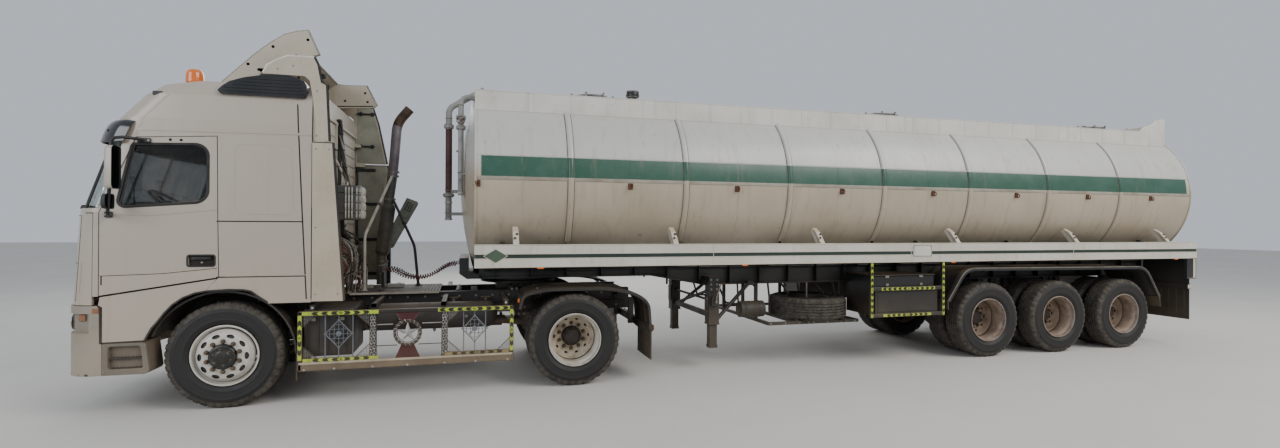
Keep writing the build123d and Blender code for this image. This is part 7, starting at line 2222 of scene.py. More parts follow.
def spline(pts, n=10):
    """smooth line through the points."""
    pts = [Vector(p) for p in pts]
    e = [pts[0] * 2 - pts[1]] + pts + [pts[-1] * 2 - pts[-2]]
    out = []
    for i in range(1, len(e) - 2):
        a, b, c, d_ = e[i - 1], e[i], e[i + 1], e[i + 2]
        for j in range(n):
            t = j / n
            out.append(.5 * ((2 * b) + (c - a) * t + (2 * a - 5 * b + 4 * c - d_) * t * t + (3 * b - a - 3 * c + d_) * t ** 3))
    return out + [pts[-1]]


def clamp_to_wall(p, r):
    """ring around a loom with a foot that reaches the wall."""
    p = Vector(p)
    k.tube([p + Vector((r * math.cos(a), 0.0, 0.0)) + Vector((0, r * math.sin(a), 0)) for a in [2 * math.pi * i / 14 for i in range(14)]], .0042, 6, 4, closed=True)
    k.sbox(.7795, 6.160 - p.x - r + .002, p.y - .010, p.y + .010, p.z - .004, p.z + .004, 4, .001)
    k.sbox(.7795, .7845, p.y - .018, p.y + .018, p.z - .024, p.z + .024, 4, .001)
    k.bolt(P(.7845, p.y, p.z + .014), (-1, 0, 0), .005, .004, 5, False)


# the thick bundle that comes down from the roof's rear edge to the air cleaner
route = spline([P(.806, .035, 3.10), P(.822, .055, 2.98), P(.850, .12, 2.80), P(.880, .20, 2.62), P(.930, .33, 2.42), P(.985, .45, 2.285)], 9)
for j in range(6):
    a0 = j * math.pi / 3
    pts = []
    for i, p in enumerate(route):
        a = a0 + .22 * i
        rr = .017 if j else 0.0
        pts.append(p + Vector((rr * math.cos(a), rr * math.sin(a), 0)))
    k.tube(pts, (.0115, .0105, .0120, .0100, .0115, .0105)[j], 8, (0, 0, 4, 0, 2, 0)[j])
for i in (2, 12, 22, 32):
    clamp_to_wall(route[i], .032)
pale = spline([P(.800, .30, 2.62), P(.850, .33, 2.54), P(.900, .31, 2.42), P(.960, .40, 2.33), P(.990, .56, 2.275)], 8)
k.tube(pale, .011, 8, 3)
clamp_to_wall(pale[10], .015)
# hoses low behind the cab, between the wall's brackets and the frame
rnd = random.Random(11)
for i in range(26):
    y0 = -.42 + .040 * i + rnd.uniform(-.02, .02)
    y1 = y0 + rnd.uniform(-.22, .22)
    z0 = rnd.uniform(1.45, 1.78)
    s1 = rnd.uniform(.86, 1.08)
    sag = rnd.uniform(.86, 1.06)
    pts = spline([P(.802, y0, z0), P(sag - .03, y0 + rnd.uniform(-.04, .04), z0 - .10), P(sag + rnd.uniform(0, .05), (y0 + y1) / 2 + rnd.uniform(-.08, .08), (z0 + 1.10) / 2),
                  P(s1, y1 + rnd.uniform(-.05, .05), 1.20), P(s1 - .01, y1, 1.052)], 7)
    k.tube(pts, rnd.choice((.0075, .009, .011, .0065)), 7, (0, 2, 0, 3, 1, 0, 2, 0)[i % 8])
    k.lathe(P(s1 - .01, y1, 1.042), (0, 0, 1), [(0, 0), (0, .017), (.012, .017), (.016, .012), (.034, .012), (.036, .008), (.036, 0)], 10, 5)
    k.lathe(P(.7795, y0, z0), (-1, 0, 0), [(0, 0), (0, .016), (.010, .016), (.014, .012), (.034, .011), (.034, 0)], 10, 5)
# wound hoses that are clipped to the wall, brown and black
for y0, y1, z0, z1, mt, r0 in ((.44, .16, 1.74, 1.16, 1, .030), (-.02, -.20, 1.70, 1.14, 0, .028), (.62, .42, 1.58, 1.12, 1, .026), (.30, .02, 1.66, 1.36, 2, .024)):
    ax_pts = spline([P(.860, y0, z0), P(.935, y0 * .7 + y1 * .3 + .03, z0 * .66 + z1 * .34), P(.985, y0 * .3 + y1 * .7 - .03, z0 * .33 + z1 * .67), P(.900, y1, z1)], 14)
    turns = 26
    n = turns * 11
    pts = []
    for i in range(n + 1):
        f = i / n * (len(ax_pts) - 1)
        a = ax_pts[min(int(f), len(ax_pts) - 2)]
        b = ax_pts[min(int(f), len(ax_pts) - 2) + 1]
        p = a + (b - a) * (f - min(int(f), len(ax_pts) - 2))
        d_ = (b - a).normalized()
        u_ = d_.cross(Vector((1, 0, 0))).normalized()
        w_ = d_.cross(u_)
        q = 2 * math.pi * i / 11
        pts.append(p + (u_ * math.cos(q) + w_ * math.sin(q)) * r0)
    k.tube(pts, .0050, 6, mt)
    for e in (ax_pts[0], ax_pts[-1]):
        clamp_to_wall(e, r0 + .006)
# bracket rail that the hoses leave from, valve blocks
k.sbox(.7795, .800, -.46, .66, 1.795, 1.835, 4, .004)
for y in (-.36, -.10, .16, .50):
    k.sbox(.7795, .850, y - .038, y + .038, 1.62, 1.70, 4, .008)
    k.lathe(P(.850, y, 1.66), (-1, 0, 0), [(0, 0), (0, .026), (.012, .026), (.018, .018), (.030, .017), (.034, .010), (.034, 0)], 16, 5)
k.sbox(.7795, .800, .16, .66, 1.845, 1.860, 3, .003)
k.make("looms_behind_cab", [rubber_black, hose_brown, hose_grey, hose_pale, chassis_black, zinc], "tractor", "cab_shell", sharp=40)

# ================================================================ trailer
# dark rusty weld beads; on the tank's band feet their darkness is also painted shade in the crease
weld_bead_and_crease_shade = surface("weld_bead_and_crease_shade", (120, 112, 98), rough=.7, vary=.35, scale=9, dust=0.0, up=.2, grain=60, bump=.3, rust=.7, dark=(92, 80, 66))
strip_grey = surface("strip_grey", (158, 152, 140), rough=.6, vary=.3, scale=3, dust=0.0, up=.1, grain=50, bump=.2, rust=.5, streak=.3, dark=(126, 116, 100))
rusty = surface("rusty_steel", (98, 62, 42), rough=.8, vary=.5, scale=16, dust=0.0, up=.1, grain=60, bump=.5, rust=.9, dark=(62, 38, 28))
pipe_brown = surface("pipe_red_brown", (92, 60, 58), rough=.6, vary=.35, scale=7, dust=0.0, up=.1, grain=60, bump=.2, rust=.4, dark=(60, 40, 38))
pipe_white = surface("pipe_white", (186, 184, 178), rough=.5, vary=.2, scale=5, dust=0.0, up=.25, streak=.3, grain=50, bump=.15, rust=.35)
fender_black = surface("fender_black", (32, 33, 33), rough=.55, vary=.2, scale=4, dust=.10, dust_z=(.4, 1.2), up=.15, grain=90, bump=.2)
fender_edge = surface("fender_edge", (104, 100, 92), rough=.6, vary=.25, scale=7, dust=.2, dust_z=(.4, 1.5), up=.4, grain=90, bump=.2, dark=(70, 66, 60))
locker_black = surface("locker_black", (22, 24, 26), rough=.38, vary=.15, scale=3, dust=.14, dust_z=(.4, 1.2), up=.2, grain=70, bump=.1)
T_R, T_Z = 1.114, 2.370
T0, T1 = 2.382, 13.480
RIBS = [3.460 + 1.418 * i for i in range(7)]

# ---------------------------------------------------------------- tank: rounded bands over the joints, dark beads at their feet (weld beads and painted crease shade), side strip, hooks
k = Kit()
for s in RIBS:
    prof = [(-.034, 1.110), (-.034, 1.122), (-.030, 1.131), (-.020, 1.138), (0, 1.141), (.020, 1.138), (.030, 1.131), (.034, 1.122), (.034, 1.110)]
    k.lathe(P(s, 0, T_Z), (-1, 0, 0), [(t, r) for t, r in prof], 144, 0, True, closed=True)
    # dark beads on both feet of each band: weld beads, and painted shade in the crease beside the band
    for d in (-1, 1):
        k.lathe(P(s + .038 * d, 0, T_Z), (-1, 0, 0), [(-.006, 1.112), (-.004, 1.1165), (.004, 1.1165), (.006, 1.112)], 144, 1, True, closed=True)
for s in [2.92] + [r + .709 for r in RIBS]:
    k.lathe(P(s, 0, T_Z), (-1, 0, 0), [(-.005, 1.112), (-.003, 1.1158), (.003, 1.1158), (.005, 1.112)], 144, 0, True, closed=True)
for s, d in ((2.392, 1), (13.470, -1)):
    k.lathe(P(s, 0, T_Z), (-1, 0, 0), [(-.011, 1.112), (-.011, 1.1235), (-.006, 1.1255), (.006, 1.1255), (.011, 1.1235), (.011, 1.112)], 144, 0, True, closed=True)


def tank_side():
    # strip under the painted band, a second one over it
    for z, h, t, mt in ((2.3625, .0195, .005, 2), (2.625, .006, .003, 0)):
        y = math.sqrt(T_R ** 2 - (z - T_Z) ** 2)
        lo, hi = z - h, z + h
        ylo, yhi = math.sqrt(T_R ** 2 - (lo - T_Z) ** 2), math.sqrt(T_R ** 2 - (hi - T_Z) ** 2)
        sec = [(ylo - .004, lo), (ylo + t * .6, lo), (y + t + .001, z - h * .7), (y + t + .001, z + h * .7), (yhi + t * .6, hi), (yhi - .004, hi)]
        n = len(sec)
        v = [P(s, a, b) for s in (2.41, 13.45) for a, b in sec]
        k.add(v, [(i, i + n, (i + 1) % n + n, (i + 1) % n) for i in range(n)] + [tuple(range(n)), tuple(reversed(range(n, 2 * n)))], mt)
    # lashing hooks: a plate and a bent rod
    for s in (2.415, 4.171, 5.551, 7.056, 8.502, 9.951, 11.301, 12.60):
        k.sbox(s - .030, s + .030, 1.105, 1.120, 2.262, 2.336, 3, .004)
        k.tube([P(s - .022, 1.116, 2.318), P(s - .022, 1.136, 2.316), P(s - .020, 1.150, 2.296), P(s - .012, 1.152, 2.270), P(s, 1.152, 2.262), P(s + .012, 1.152, 2.270),
                P(s + .020, 1.150, 2.296), P(s + .022, 1.136, 2.316), P(s + .022, 1.116, 2.318)], .0065, 8, 3)
    # feet on the rail: gussets beside each
    for s in (2.830, 4.705, 6.690, 8.820, 10.955, 12.800):
        for d in (-.030, .030):
            k.prism([(1.200, 1.614), (1.246, 1.614), (1.128, 1.756), (1.052, 1.800)], s + d - .004, s + d + .004, "yz", 0)
        k.bolt(P(s - .012, 1.205, 1.690), (0, .78, .62), .010, .008, 3)
        k.bolt(P(s + .014, 1.160, 1.735), (0, .78, .62), .010, .008, 3)


k.both(tank_side)
# end head: manhole ring at the rear, with its bolts and a handle
k.lathe(P(13.520, 0, 2.85), (-1, 0, 0), [(0, 0), (0, .210), (.066, .210), (.072, .200), (.072, .180), (.078, .170), (.078, .040), (.086, .030), (.086, 0)], 44, 0)
for i in range(12):
    q = 2 * math.pi * i / 12
    k.bolt(P(13.592, .190 * math.cos(q), 2.85 + .190 * math.sin(q)), (-1, 0, 0), .010, .008, 3)
k.tube([P(13.598, -.07, 2.85), P(13.622, -.07, 2.85), P(13.626, -.04, 2.85), P(13.626, .04, 2.85), P(13.622, .07, 2.85), P(13.598, .07, 2.85)], .008, 8, 3)
k.make("tank_bands", [tank_paint_and_shade, weld_bead_and_crease_shade, strip_grey, rusty], "trailer", "tank_shell", sharp=40)

# ---------------------------------------------------------------- side rails: lips, weld line, lozenge, blank plate
k = Kit()


def rail_bits():
    y = 1.250
    for z in (1.3665, 1.6135):
        k.box(P(2.382, y - .004, z - .006), P(13.400, y + .004, z + .006), 0, .003)
    for z in (1.4625, 1.5125):
        k.box(P(2.394, y - .006, z - .004), P(13.390, y + .0025, z + .004), 0, .0015)
    k.box(P(2.394, y - .0085, 1.4665), P(13.390, y - .0065, 1.5085), 3)
    # lozenge at the front end with a pale outline
    c = (2.608, 1.4925)
    d = [(2.486, c[1]), (c[0], 1.566), (2.730, c[1]), (c[0], 1.419)]
    k.prism([(c[0] + (s - c[0]) * 1.10, c[1] + (z - c[1]) * 1.10) for s, z in d], y - .006, y + .0018, "xz", 0)
    k.prism(d, y, y + .0030, "xz", 1)
    # blank plate with a folded frame and two screws
    k.prism(round_poly([(8.060, 1.436), (8.360, 1.436), (8.360, 1.593), (8.060, 1.593)], [.012] * 4, 3), y - .010, y + .006, "xz", 2)
    for a, b in (((8.068, 1.444), (8.352, 1.444)), ((8.068, 1.585), (8.352, 1.585)), ((8.068, 1.444), (8.068, 1.585)), ((8.352, 1.444), (8.352, 1.585))):
        k.tube([P(a[0], y + .006, a[1]), P(b[0], y + .006, b[1])], .0028, 6, 4)
    for s in (8.085, 8.335):
        k.bolt(P(s, y + .006, 1.572), (0, 1, 0), .005, .003, 4, False)
    # joints in the rail
    for s in (5.18, 8.03, 10.86):
        k.box(P(s - .004, y - .004, 1.3665), P(s + .004, y + .0032, 1.6135), 0, .002)
    # side marker lamps under the rail
    for s in (3.10, 5.60, 8.72, 12.95):
        k.box(P(s - .045, y - .03, 1.3420), P(s + .045, y - .006, 1.3670), 4, .004)
        k.box(P(s - .038, y - .008, 1.3440), P(s + .038, y + .004, 1.3650), 5, .006)


k.both(rail_bits)
k.make("rail_trim", [white_worn, green_paint, board_paint, surface("rail_line_green", (28, 50, 42), rough=.5, vary=.3, scale=4, dust=0.0, up=.1, grain=60, bump=.1, chips=.5),
                     chassis_black, amber], "trailer", "side_rails", sharp=38)

# ---------------------------------------------------------------- manholes: lids, hinges, clamps, handles; vent cap
k = Kit()
for s in (3.900, 8.423, 12.650):
    k.lathe(P(s, 0, 3.528), (0, 0, 1), [(0, .286), (.004, .290), (.014, .290), (.018, .284), (.020, .262), (.034, .248), (.044, .180), (.050, .090), (.052, 0)], 56, 0)
    for i in range(8):
        q = 2 * math.pi * (i + .5) / 8
        c, sn = math.cos(q), math.sin(q)
        a, b = P(s + .236 * c, .236 * sn, 3.560), P(s + .300 * c, .300 * sn, 3.545)
        k.tube([P(s + .302 * c, .302 * sn, 3.490), P(s + .302 * c, .302 * sn, 3.566)], .008, 8, 1)
        k.tube([a, b], .011, 8, 1)
        k.lathe(P(s + .302 * c, .302 * sn, 3.563), (0, 0, 1), [(0, 0), (0, .017), (.012, .017), (.016, .010), (.016, 0)], 6, 1, False)
        k.box(P(s + .302 * c, .302 * sn, 3.490) - Vector((.014, .014, .010)), P(s + .302 * c, .302 * sn, 3.490) + Vector((.014, .014, .010)), 0, .003)
    k.tube([P(s - .06, 0, 3.570), P(s - .06, 0, 3.598), P(s - .045, 0, 3.606), P(s + .045, 0, 3.606), P(s + .06, 0, 3.598), P(s + .06, 0, 3.570)], .008, 8, 1)
    k.cyl(P(s - .33, -.07, 3.545), P(s - .33, .07, 3.545), .014, 14, 1)
    k.box(P(s - .345, -.05, 3.500), P(s - .285, .05, 3.536), 0, .004)
    # spill rim on the tank
    k.lathe(P(s, 0, 3.470), (0, 0, 1), [(.0, .262), (.0, .268), (.055, .268), (.055, .262)], 56, 0, True, closed=True)
k.lathe(P(4.485, 0, 3.598), (0, 0, 1), [(0, .046), (.004, .086), (.014, .0895), (.070, .0895), (.082, .082), (.090, .050), (.092, 0)], 36, 2)
for i in range(16):
    q = 2 * math.pi * i / 16
    k.box(P(4.485 + .088 * math.cos(q), .088 * math.sin(q), 3.622) - Vector((.004, .004, .012)), P(4.485 + .088 * math.cos(q), .088 * math.sin(q), 3.622) + Vector((.004, .004, .018)), 2, .001)
k.make("manhole_fittings", [manhole_grey, zinc, plastic_black], "trailer", "manholes", sharp=35)

# ---------------------------------------------------------------- walkway: board lips and stays, plank, rear hump with loops, ladder treads
k = Kit()
for sg in (1, -1):
    k.box(P(2.384, sg * .7505 - .019, 3.4085), P(12.90, sg * .7505 + .019, 3.4185), 0, .003)
    for i in range(23):
        s = 2.62 + .45 * i
        k.box(P(s - .012, sg * .7645, 3.205), P(s + .012, sg * .7690, 3.408), 0, .002)
    hump = rounded_line([(12.895, 3.415), (12.985, 3.490), (13.130, 3.512), (13.255, 3.612), (13.420, 3.625)], .05, 5)
    k.tube([P(s, sg * .750, z - .004) for s, z in hump], .0175, 8, 0)
    k.tube([P(13.420, sg * .750, 3.625), P(13.420, sg * .750, 3.22)], .0175, 8, 0)
    # loop handles behind the hump
    k.tube([P(13.415, sg * .700, 3.560), P(13.470, sg * .700, 3.572), P(13.500, sg * .700, 3.560), P(13.508, sg * .700, 3.50), P(13.500, sg * .700, 3.36), P(13.470, sg * .700, 3.34), P(13.415, sg * .700, 3.335)], .013, 8, 1)
    k.tube([P(13.415, sg * .45, 3.560), P(13.458, sg * .45, 3.566), P(13.472, sg * .45, 3.54), P(13.472, sg * .45, 3.46), P(13.415, sg * .45, 3.44)], .011, 8, 1)
# walk plank: perforated strips between the boards
for i in range(11):
    s0 = 2.62 + .90 * i
    clash_m = any(abs(s0 + .44 - m) < .62 for m in (3.900, 8.423, 12.650)) or abs(s0 + .44 - 4.485) < .5
    if clash_m:
        continue
    for y in (-.19, -.005, .18):
        k.sbox(s0 + .01, s0 + .87, y, y + .165, 3.4950, 3.5050, 2, .002)
        for j in range(14):
            for yy in (.045, .120):
                k.lathe(P(s0 + .06 + .058 * j, y + yy, 3.505), (0, 0, 1), [(0, .014), (.004, .0105), (.004, .008), (-.002, .006)], 8, 2)
    for s in (s0 + .14, s0 + .74):
        k.sbox(s - .02, s + .02, -.20, .355, 3.4840, 3.4955, 1, .002)
# ladder: non-slip sleeves on the rungs, wall stays
for i in range(6):
    z = 1.700 + .300 * i
    for j in range(9):
        y = -.144 + .036 * j
        k.lathe(P(13.700, y - .010, z), (0, 1, 0), [(0, .014), (0, .0162), (.020, .0162), (.020, .014)], 12, 1, True, closed=True)
for y in (-.190, .190):
    for z in (1.62, 2.35, 3.15):
        k.box(P(13.668, y - .016, z - .022), P(13.732, y + .016, z + .022), 1, .003)
        k.cyl(P(13.660, y, z), P(13.560 if z < 3 else 13.50, y * .95, z), .010, 8, 1)
k.make("walkway_fittings", [board_paint, pipe_white, deck_plate], "trailer", "walkway_and_ladder", sharp=38)

# ---------------------------------------------------------------- front pipes: sleeves, flange bolts, valve wheel, clamps
k = Kit()


def flange(s, y, z, r, n, h=.012):
    for i in range(n):
        q = 2 * math.pi * (i + .5) / n
        k.bolt(P(s + r * math.cos(q), y + r * math.sin(q), z), (0, 0, 1), .007, h, 1)
        k.bolt(P(s + r * math.cos(q), y + r * math.sin(q), z - .030), (0, 0, -1), .007, h, 1)


k.lathe(P(2.075, .150, 2.235), (0, 0, 1), [(0, .0382), (0, .0398), (.79, .0398), (.79, .0382)], 28, 0, True, closed=True)
flange(2.075, .150, 2.216, .058, 6)
flange(2.075, .150, 3.076, .050, 6)
flange(2.226, .650, 3.111, .047, 6)
flange(2.226, .650, 2.991, .047, 6)
for z in (1.895, 2.105):
    k.lathe(P(2.075, .150, z), (0, 0, 1), [(0, .038), (0, .046), (.018, .046), (.018, .038)], 28, 2, True, closed=True)
k.lathe(P(2.226, .650, 2.20), (0, 0, 1), [(0, .032), (0, .040), (.018, .040), (.018, .032)], 28, 2, True, closed=True)
# valve wheel on pipe B, gauge tap
k.cyl(P(2.226, .680, 3.050), P(2.226, .745, 3.050), .010, 10, 1)
k.tube([P(2.226 + .045 * math.cos(2 * math.pi * i / 20), .745, 3.050 + .045 * math.sin(2 * math.pi * i / 20)) for i in range(20)], .006, 8, 0, closed=True)
for i in range(3):
    q = 2 * math.pi * i / 3
    k.tube([P(2.226, .745, 3.050), P(2.226 + .045 * math.cos(q), .745, 3.050 + .045 * math.sin(q))], .004, 6, 0)
k.cyl(P(2.226, .650, 2.70), P(2.178, .640, 2.70), .013, 12, 1)
k.cyl(P(2.226, .650, 2.36), P(2.226, .700, 2.36), .016, 12, 1)
# U-bolts on the brackets
for s, y, z, r in ((2.075, .150, 2.250, .043), (2.075, .150, 1.970, .043), (2.226, .650, 2.435, .036)):
    k.tube([P(s + r * math.cos(a), y + r * math.sin(a), z + .012) for a in [math.radians(v) for v in range(60, 301, 20)]], .005, 6, 1)
# bend rings where the elbows are welded on
for p, ax, r in ((P(2.075, .150, 3.160), (0, 0, 1), .0395), (P(2.226, .650, 3.24), (0, 0, 1), .0335)):
    k.lathe(p, ax, [(-.006, r - .002), (-.003, r + .002), (.003, r + .002), (.006, r - .002)], 28, 3, True, closed=True)
k.make("front_pipe_fittings", [pipe_brown, zinc, pipe_white, weld_bead_and_crease_shade], "trailer", "front_pipes", sharp=38)

# ---------------------------------------------------------------- frame: stiffeners, bolts, lines, lamps' loom
k = Kit()
BY = .500


def beam_side():
    y = BY + .006
    for i in range(25):
        s = 2.62 + .44 * i
        if s > 13.3:
            break
        lo = 1.196 if s < 4.58 else 1.070
        k.prism([(y, lo), (y + .062, lo), (y + .070, lo + .03), (y + .070, 1.330), (y, 1.336)], s - .004, s + .004, "yz", 0)
    for i in range(58):
        s = 2.55 + .185 * i
        k.bolt(P(s, y + .055, 1.3378 + 0.0), (0, 0, -1), .008, .006, 1, False)
    k.tube([P(2.50, y + .030, 1.300), P(4.60, y + .030, 1.300), P(5.40, y + .030, 1.290), P(9.0, y + .030, 1.290), P(13.2, y + .030, 1.290)], .009, 8, 2)
    k.tube([P(2.50, y + .014, 1.275), P(13.2, y + .014, 1.268)], .007, 8, 2)
    # rope hooks under the arms
    for s in (2.700, 3.460, 4.878, 6.296, 7.714, 8.432, 10.040, 11.320, 12.700):
        k.prism([(.600, 1.312), (1.180, 1.402), (1.180, 1.394), (.600, 1.300)], s - .036, s + .036, "yz", 0)
        k.bolt(P(s, .640, 1.350), (-1, 0, 0), .010, .034, 1)


# the beam's box is read from the imported model
lo_b, hi_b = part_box("trailer_frame")
k.both(beam_side)
# couplings on the nose box: two air heads and the light plug, with their caps
for y, mt in ((.260, 3), (-.150, 4)):
    k.cyl(P(2.232, y, 1.352), P(2.209, y, 1.350), .034, 20, mt, c=.004)
    k.box(P(2.236, y - .026, 1.385), P(2.214, y + .026, 1.398), mt, .004)
k.cyl(P(2.236, .06, 1.340), P(2.206, .06, 1.338), .036, 22, 5, c=.004)
k.box(P(2.214, .024, 1.372), P(2.206, .096, 1.384), 5, .003)
for y in (-.50, -.34, .42, .52):
    k.bolt(P(2.214, y, 1.40), (1, 0, 0), .010, .008, 1)
k.sbox(2.2135, 2.217, -.545, .545, 1.255, 1.275, 0, .001)
k.make("trailer_frame_fittings", [trailer_black, zinc, plastic_black, red_paint, surface("coupling_yellow", (178, 150, 50), rough=.5, vary=.2, scale=9, dust=.1, up=.3, grain=70, bump=.1, chips=.3), plastic_dark],
       "trailer", "trailer_frame", sharp=35)

# ---------------------------------------------------------------- landing legs: gearbox, crank, inner leg collars, bolts, truss
k = Kit()


def leg_bits():
    k.sbox(5.292, 5.448, .672, .828, .560, .582, 0, .006)
    k.sbox(5.292, 5.448, .672, .828, .980, 1.000, 0, .006)
    k.box(P(5.288, .690, .700), P(5.300, .810, .930), 0, .004)
    for z in (.735, .895):
        for y in (.71, .79):
            k.bolt(P(5.288, y, z), (1, 0, 0), .009, .007, 1)
    k.lathe(P(5.370, .750, .262), (0, 0, 1), [(-.004, .0), (-.004, .030), (.012, .048), (.044, .054), (.060, .050), (.070, .030)], 24, 0)
    for z in (.34, .42, .50):
        k.lathe(P(5.420, .750, z), (-1, 0, 0), [(-.002, 0), (-.002, .010), (.002, .010), (.002, 0)], 12, 2)
    for z in (1.02, 1.08, 1.14):
        k.bolt(P(5.33, .820, z), (0, 1, 0), .010, .009, 1)
        k.bolt(P(5.41, .820, z), (0, 1, 0), .010, .009, 1)


k.both(leg_bits)
# gearbox and folded crank on the left leg, shaft across
k.box(P(5.322, .818, .800), P(5.418, .872, .925), 0, .012)
k.cyl(P(5.370, .868, .862), P(5.370, .905, .862), .016, 14, 1)
k.tube([P(5.370, .900, .862), P(5.372, .902, .930), P(5.420, .902, 1.060), P(5.440, .902, 1.110)], .009, 8, 1)
k.cyl(P(5.440, .902, 1.105), P(5.440, .985, 1.105), .012, 12, 2)
k.cyl(P(5.370, -.690, .862), P(5.370, .690, .862), .017, 14, 0)
# braces between the beams and the cradle, seen under the frame
for sg in (1, -1):
    for a, b in (((5.56, 1.05), (5.66, .80)), ((5.66, .80), (5.86, .775)), ((6.50, 1.05), (6.60, .90)), ((7.02, 1.05), (7.16, .885)), ((6.30, 1.05), (6.34, .60)), ((7.32, 1.05), (7.42, .60))):
        k.tube([P(a[0], sg * .50, a[1]), P(b[0], sg * .53, b[1])], .014, 8, 0)
k.make("landing_leg_fittings", [trailer_black, zinc, rusty], "trailer", "landing_legs", sharp=35)

# ---------------------------------------------------------------- spare tyre, laid flat, and its rim nuts; air tank straps
k = Kit()
tyre(k, 0.0, 0.0, 1, "rib", 120)
c0 = P(0.0, 0.0, .525)
c1 = P(6.870, .560, .735)
k.v = [(c1.x + (v[0] - c0.x), c1.y + (v[2] - c0.z), c1.z - (v[1] - c0.y)) for v in k.v]
k.make("spare_tyre_worn", [rubber_side, rubber_tread], "trailer", "spare_tyre", "spare_tyre", sharp=50)
k = Kit()
for z, sg in ((.706, 1), (.689, -1)):
    for i in range(10):
        q = 2 * math.pi * i / 10
        k.bolt(P(6.870 + .168 * math.cos(q), .560 + .168 * math.sin(q), z), (0, 0, sg), .014, .012, 1)
k.lathe(P(6.870, .560, .705), (0, 0, 1), [(0, .110), (.030, .108), (.034, .100), (.034, 0)], 32, 0)
k.cyl(P(6.870, .560, .600), P(6.870, .560, 1.05), .012, 10, 1)
for d in (-.28, .28):
    k.tube([P(6.870 + d, .0, .585), P(6.870 + d, 1.08, .585)], .018, 10, 2)
prof = [(-.012, 0), (-.010, .050), (.004, .085), (.022, .104), (.030, .1060), (.036, .1060), (.042, .1052)]
k.lathe(P(5.740, .780, .745), (-1, 0, 0), prof + [(.300, .1052), (.306, .1060), (.312, .1060), (.326, .104), (.340, .085), (.347, .050), (.348, 0)], 32, 2)
for s in (5.80, 6.01):
    k.lathe(P(s - .015, .780, .745), (-1, 0, 0), [(0, .1055), (0, .1085), (.030, .1085), (.030, .1055)], 32, 3, True, closed=True)
for y in (.900, .940):
    for i in range(7):
        k.bolt(P(6.12 + .21 * i, y if y > .92 else y, .560), (0, 1 if y > .92 else -1, 0), .008, .006, 1)
k.make("spare_fittings", [rim_dusty, zinc, trailer_black, chassis_black], "trailer", "spare_carrier", sharp=35)

# ---------------------------------------------------------------- side guard with locker, tapes, mudguards with rolled edges
k = Kit()
M_LINE = [(8.650, .820), (8.950, 1.262), (12.330, 1.240), (12.625, .775)]


def guard_locker():
    for s0, s1 in ((7.405, 7.450), (8.540, 8.585)):
        sec = rrect(s0, s1, 1.200, 1.245, .008, 3)
        loft(k, [[P(s, y, .630) for s, y in sec], [P(s, y, 1.3655) for s, y in sec]], 0, smooth=False)
    for z0, z1 in ((.985, 1.035), (.635, .685)):
        sec = rrect(1.205, 1.245, z0, z1, .010, 3)
        loft(k, [[P(7.448, y, z) for y, z in sec], [P(8.542, y, z) for y, z in sec]], 0, smooth=False)
    k.sbox(7.500, 8.500, 1.172, 1.2055, .660, 1.010, 1, .006)
    k.sbox(7.540, 8.460, 1.2040, 1.2100, .702, .970, 1, .006)
    # locker body, door with rim, hinges, latches
    sec = rrect(7.460, 8.480, .620, 1.170, .020, 4)
    loft(k, [[P(s, y, .660) for s, y in sec], [P(s, y, 1.180) for s, y in sec]], 1, smooth=False)
    k.sbox(7.490, 8.450, 1.168, 1.186, 1.020, 1.172, 1, .006)
    k.sbox(7.470, 8.470, .630, 1.195, 1.176, 1.190, 1, .005)
    for s in (7.70, 8.24):
        k.sbox(s - .03, s + .03, 1.184, 1.196, 1.150, 1.184, 3, .004)
        k.sbox(s - .022, s + .022, 1.184, 1.200, 1.040, 1.075, 3, .004)
    for s in (7.630, 8.290):
        k.sbox(s - .03, s + .03, .565, .622, 1.080, 1.140, 0, .004)
    # tape: uprights from the rail down, two bars on the guard
    chevron_tape(k, P(7.4275, 1.2452, .640), P(7.4275, 1.2452, 1.352), .034, (0, 1, 0), 4, 5, .080)
    chevron_tape(k, P(8.5625, 1.2452, .640), P(8.5625, 1.2452, 1.352), .034, (0, 1, 0), 4, 5, .080)
    chevron_tape(k, P(7.575, 1.2452, 1.010), P(8.420, 1.2452, 1.010), .038, (0, 1, 0), 4, 5, .080)
    chevron_tape(k, P(7.600, 1.2452, .660), P(8.360, 1.2452, .660), .034, (0, 1, 0), 4, 5, .080)
    for s in (7.4275, 8.5625):
        k.bolt(P(s, 1.245, .655), (0, 1, 0), .008, .005, 3)
    # mudguard
    guard_sheet(M_LINE, .575, 1.240, .005, .034, 6)
    edge = rounded_line(M_LINE, .16, 8)
    k.tube([P(s, 1.234, z + .002) for s, z in edge], .0085, 8, 7)
    for s in (9.930, 11.230):
        k.sbox(s - .03, s + .03, .560, .600, 1.150, 1.245, 0, .004)
        k.tube([P(s, .58, 1.225), P(s, 1.18, 1.232 if s < 10 else 1.225)], .014, 8, 0)
    for s in (9.010, 12.280):
        k.sbox(s - .02, s + .02, .560, .600, 1.150, 1.240, 0, .004)
        k.tube([P(s, .58, 1.210), P(s, 1.18, 1.225)], .014, 8, 0)
    for s in (9.2, 9.93, 10.7, 11.23, 12.1):
        for y in (.66, .95, 1.16):
            k.bolt(P(s, y, 1.268 - (s - 8.95) * .0065), (0, 0, 1), .008, .005, 3)
    # front and rear skirts of the mudguard
    k.prism([(8.640, .822), (8.655, .822), (8.662, .70), (8.650, .70)], .60, 1.235, "xz", 2)
    k.prism([(12.612, .772), (12.628, .778), (12.640, .62), (12.628, .62)], .60, 1.235, "xz", 2)


k.both(guard_locker)
k.make("trailer_guard_set", [trailer_black, locker_black, rubber_black, zinc, tape_yellow, tape_black, fender_black, fender_edge], "trailer", "trailer_guards", "trailer_guards", sharp=38)

# ---------------------------------------------------------------- axles: leaf packs, U-bolts, hangers, brake chambers
k = Kit()


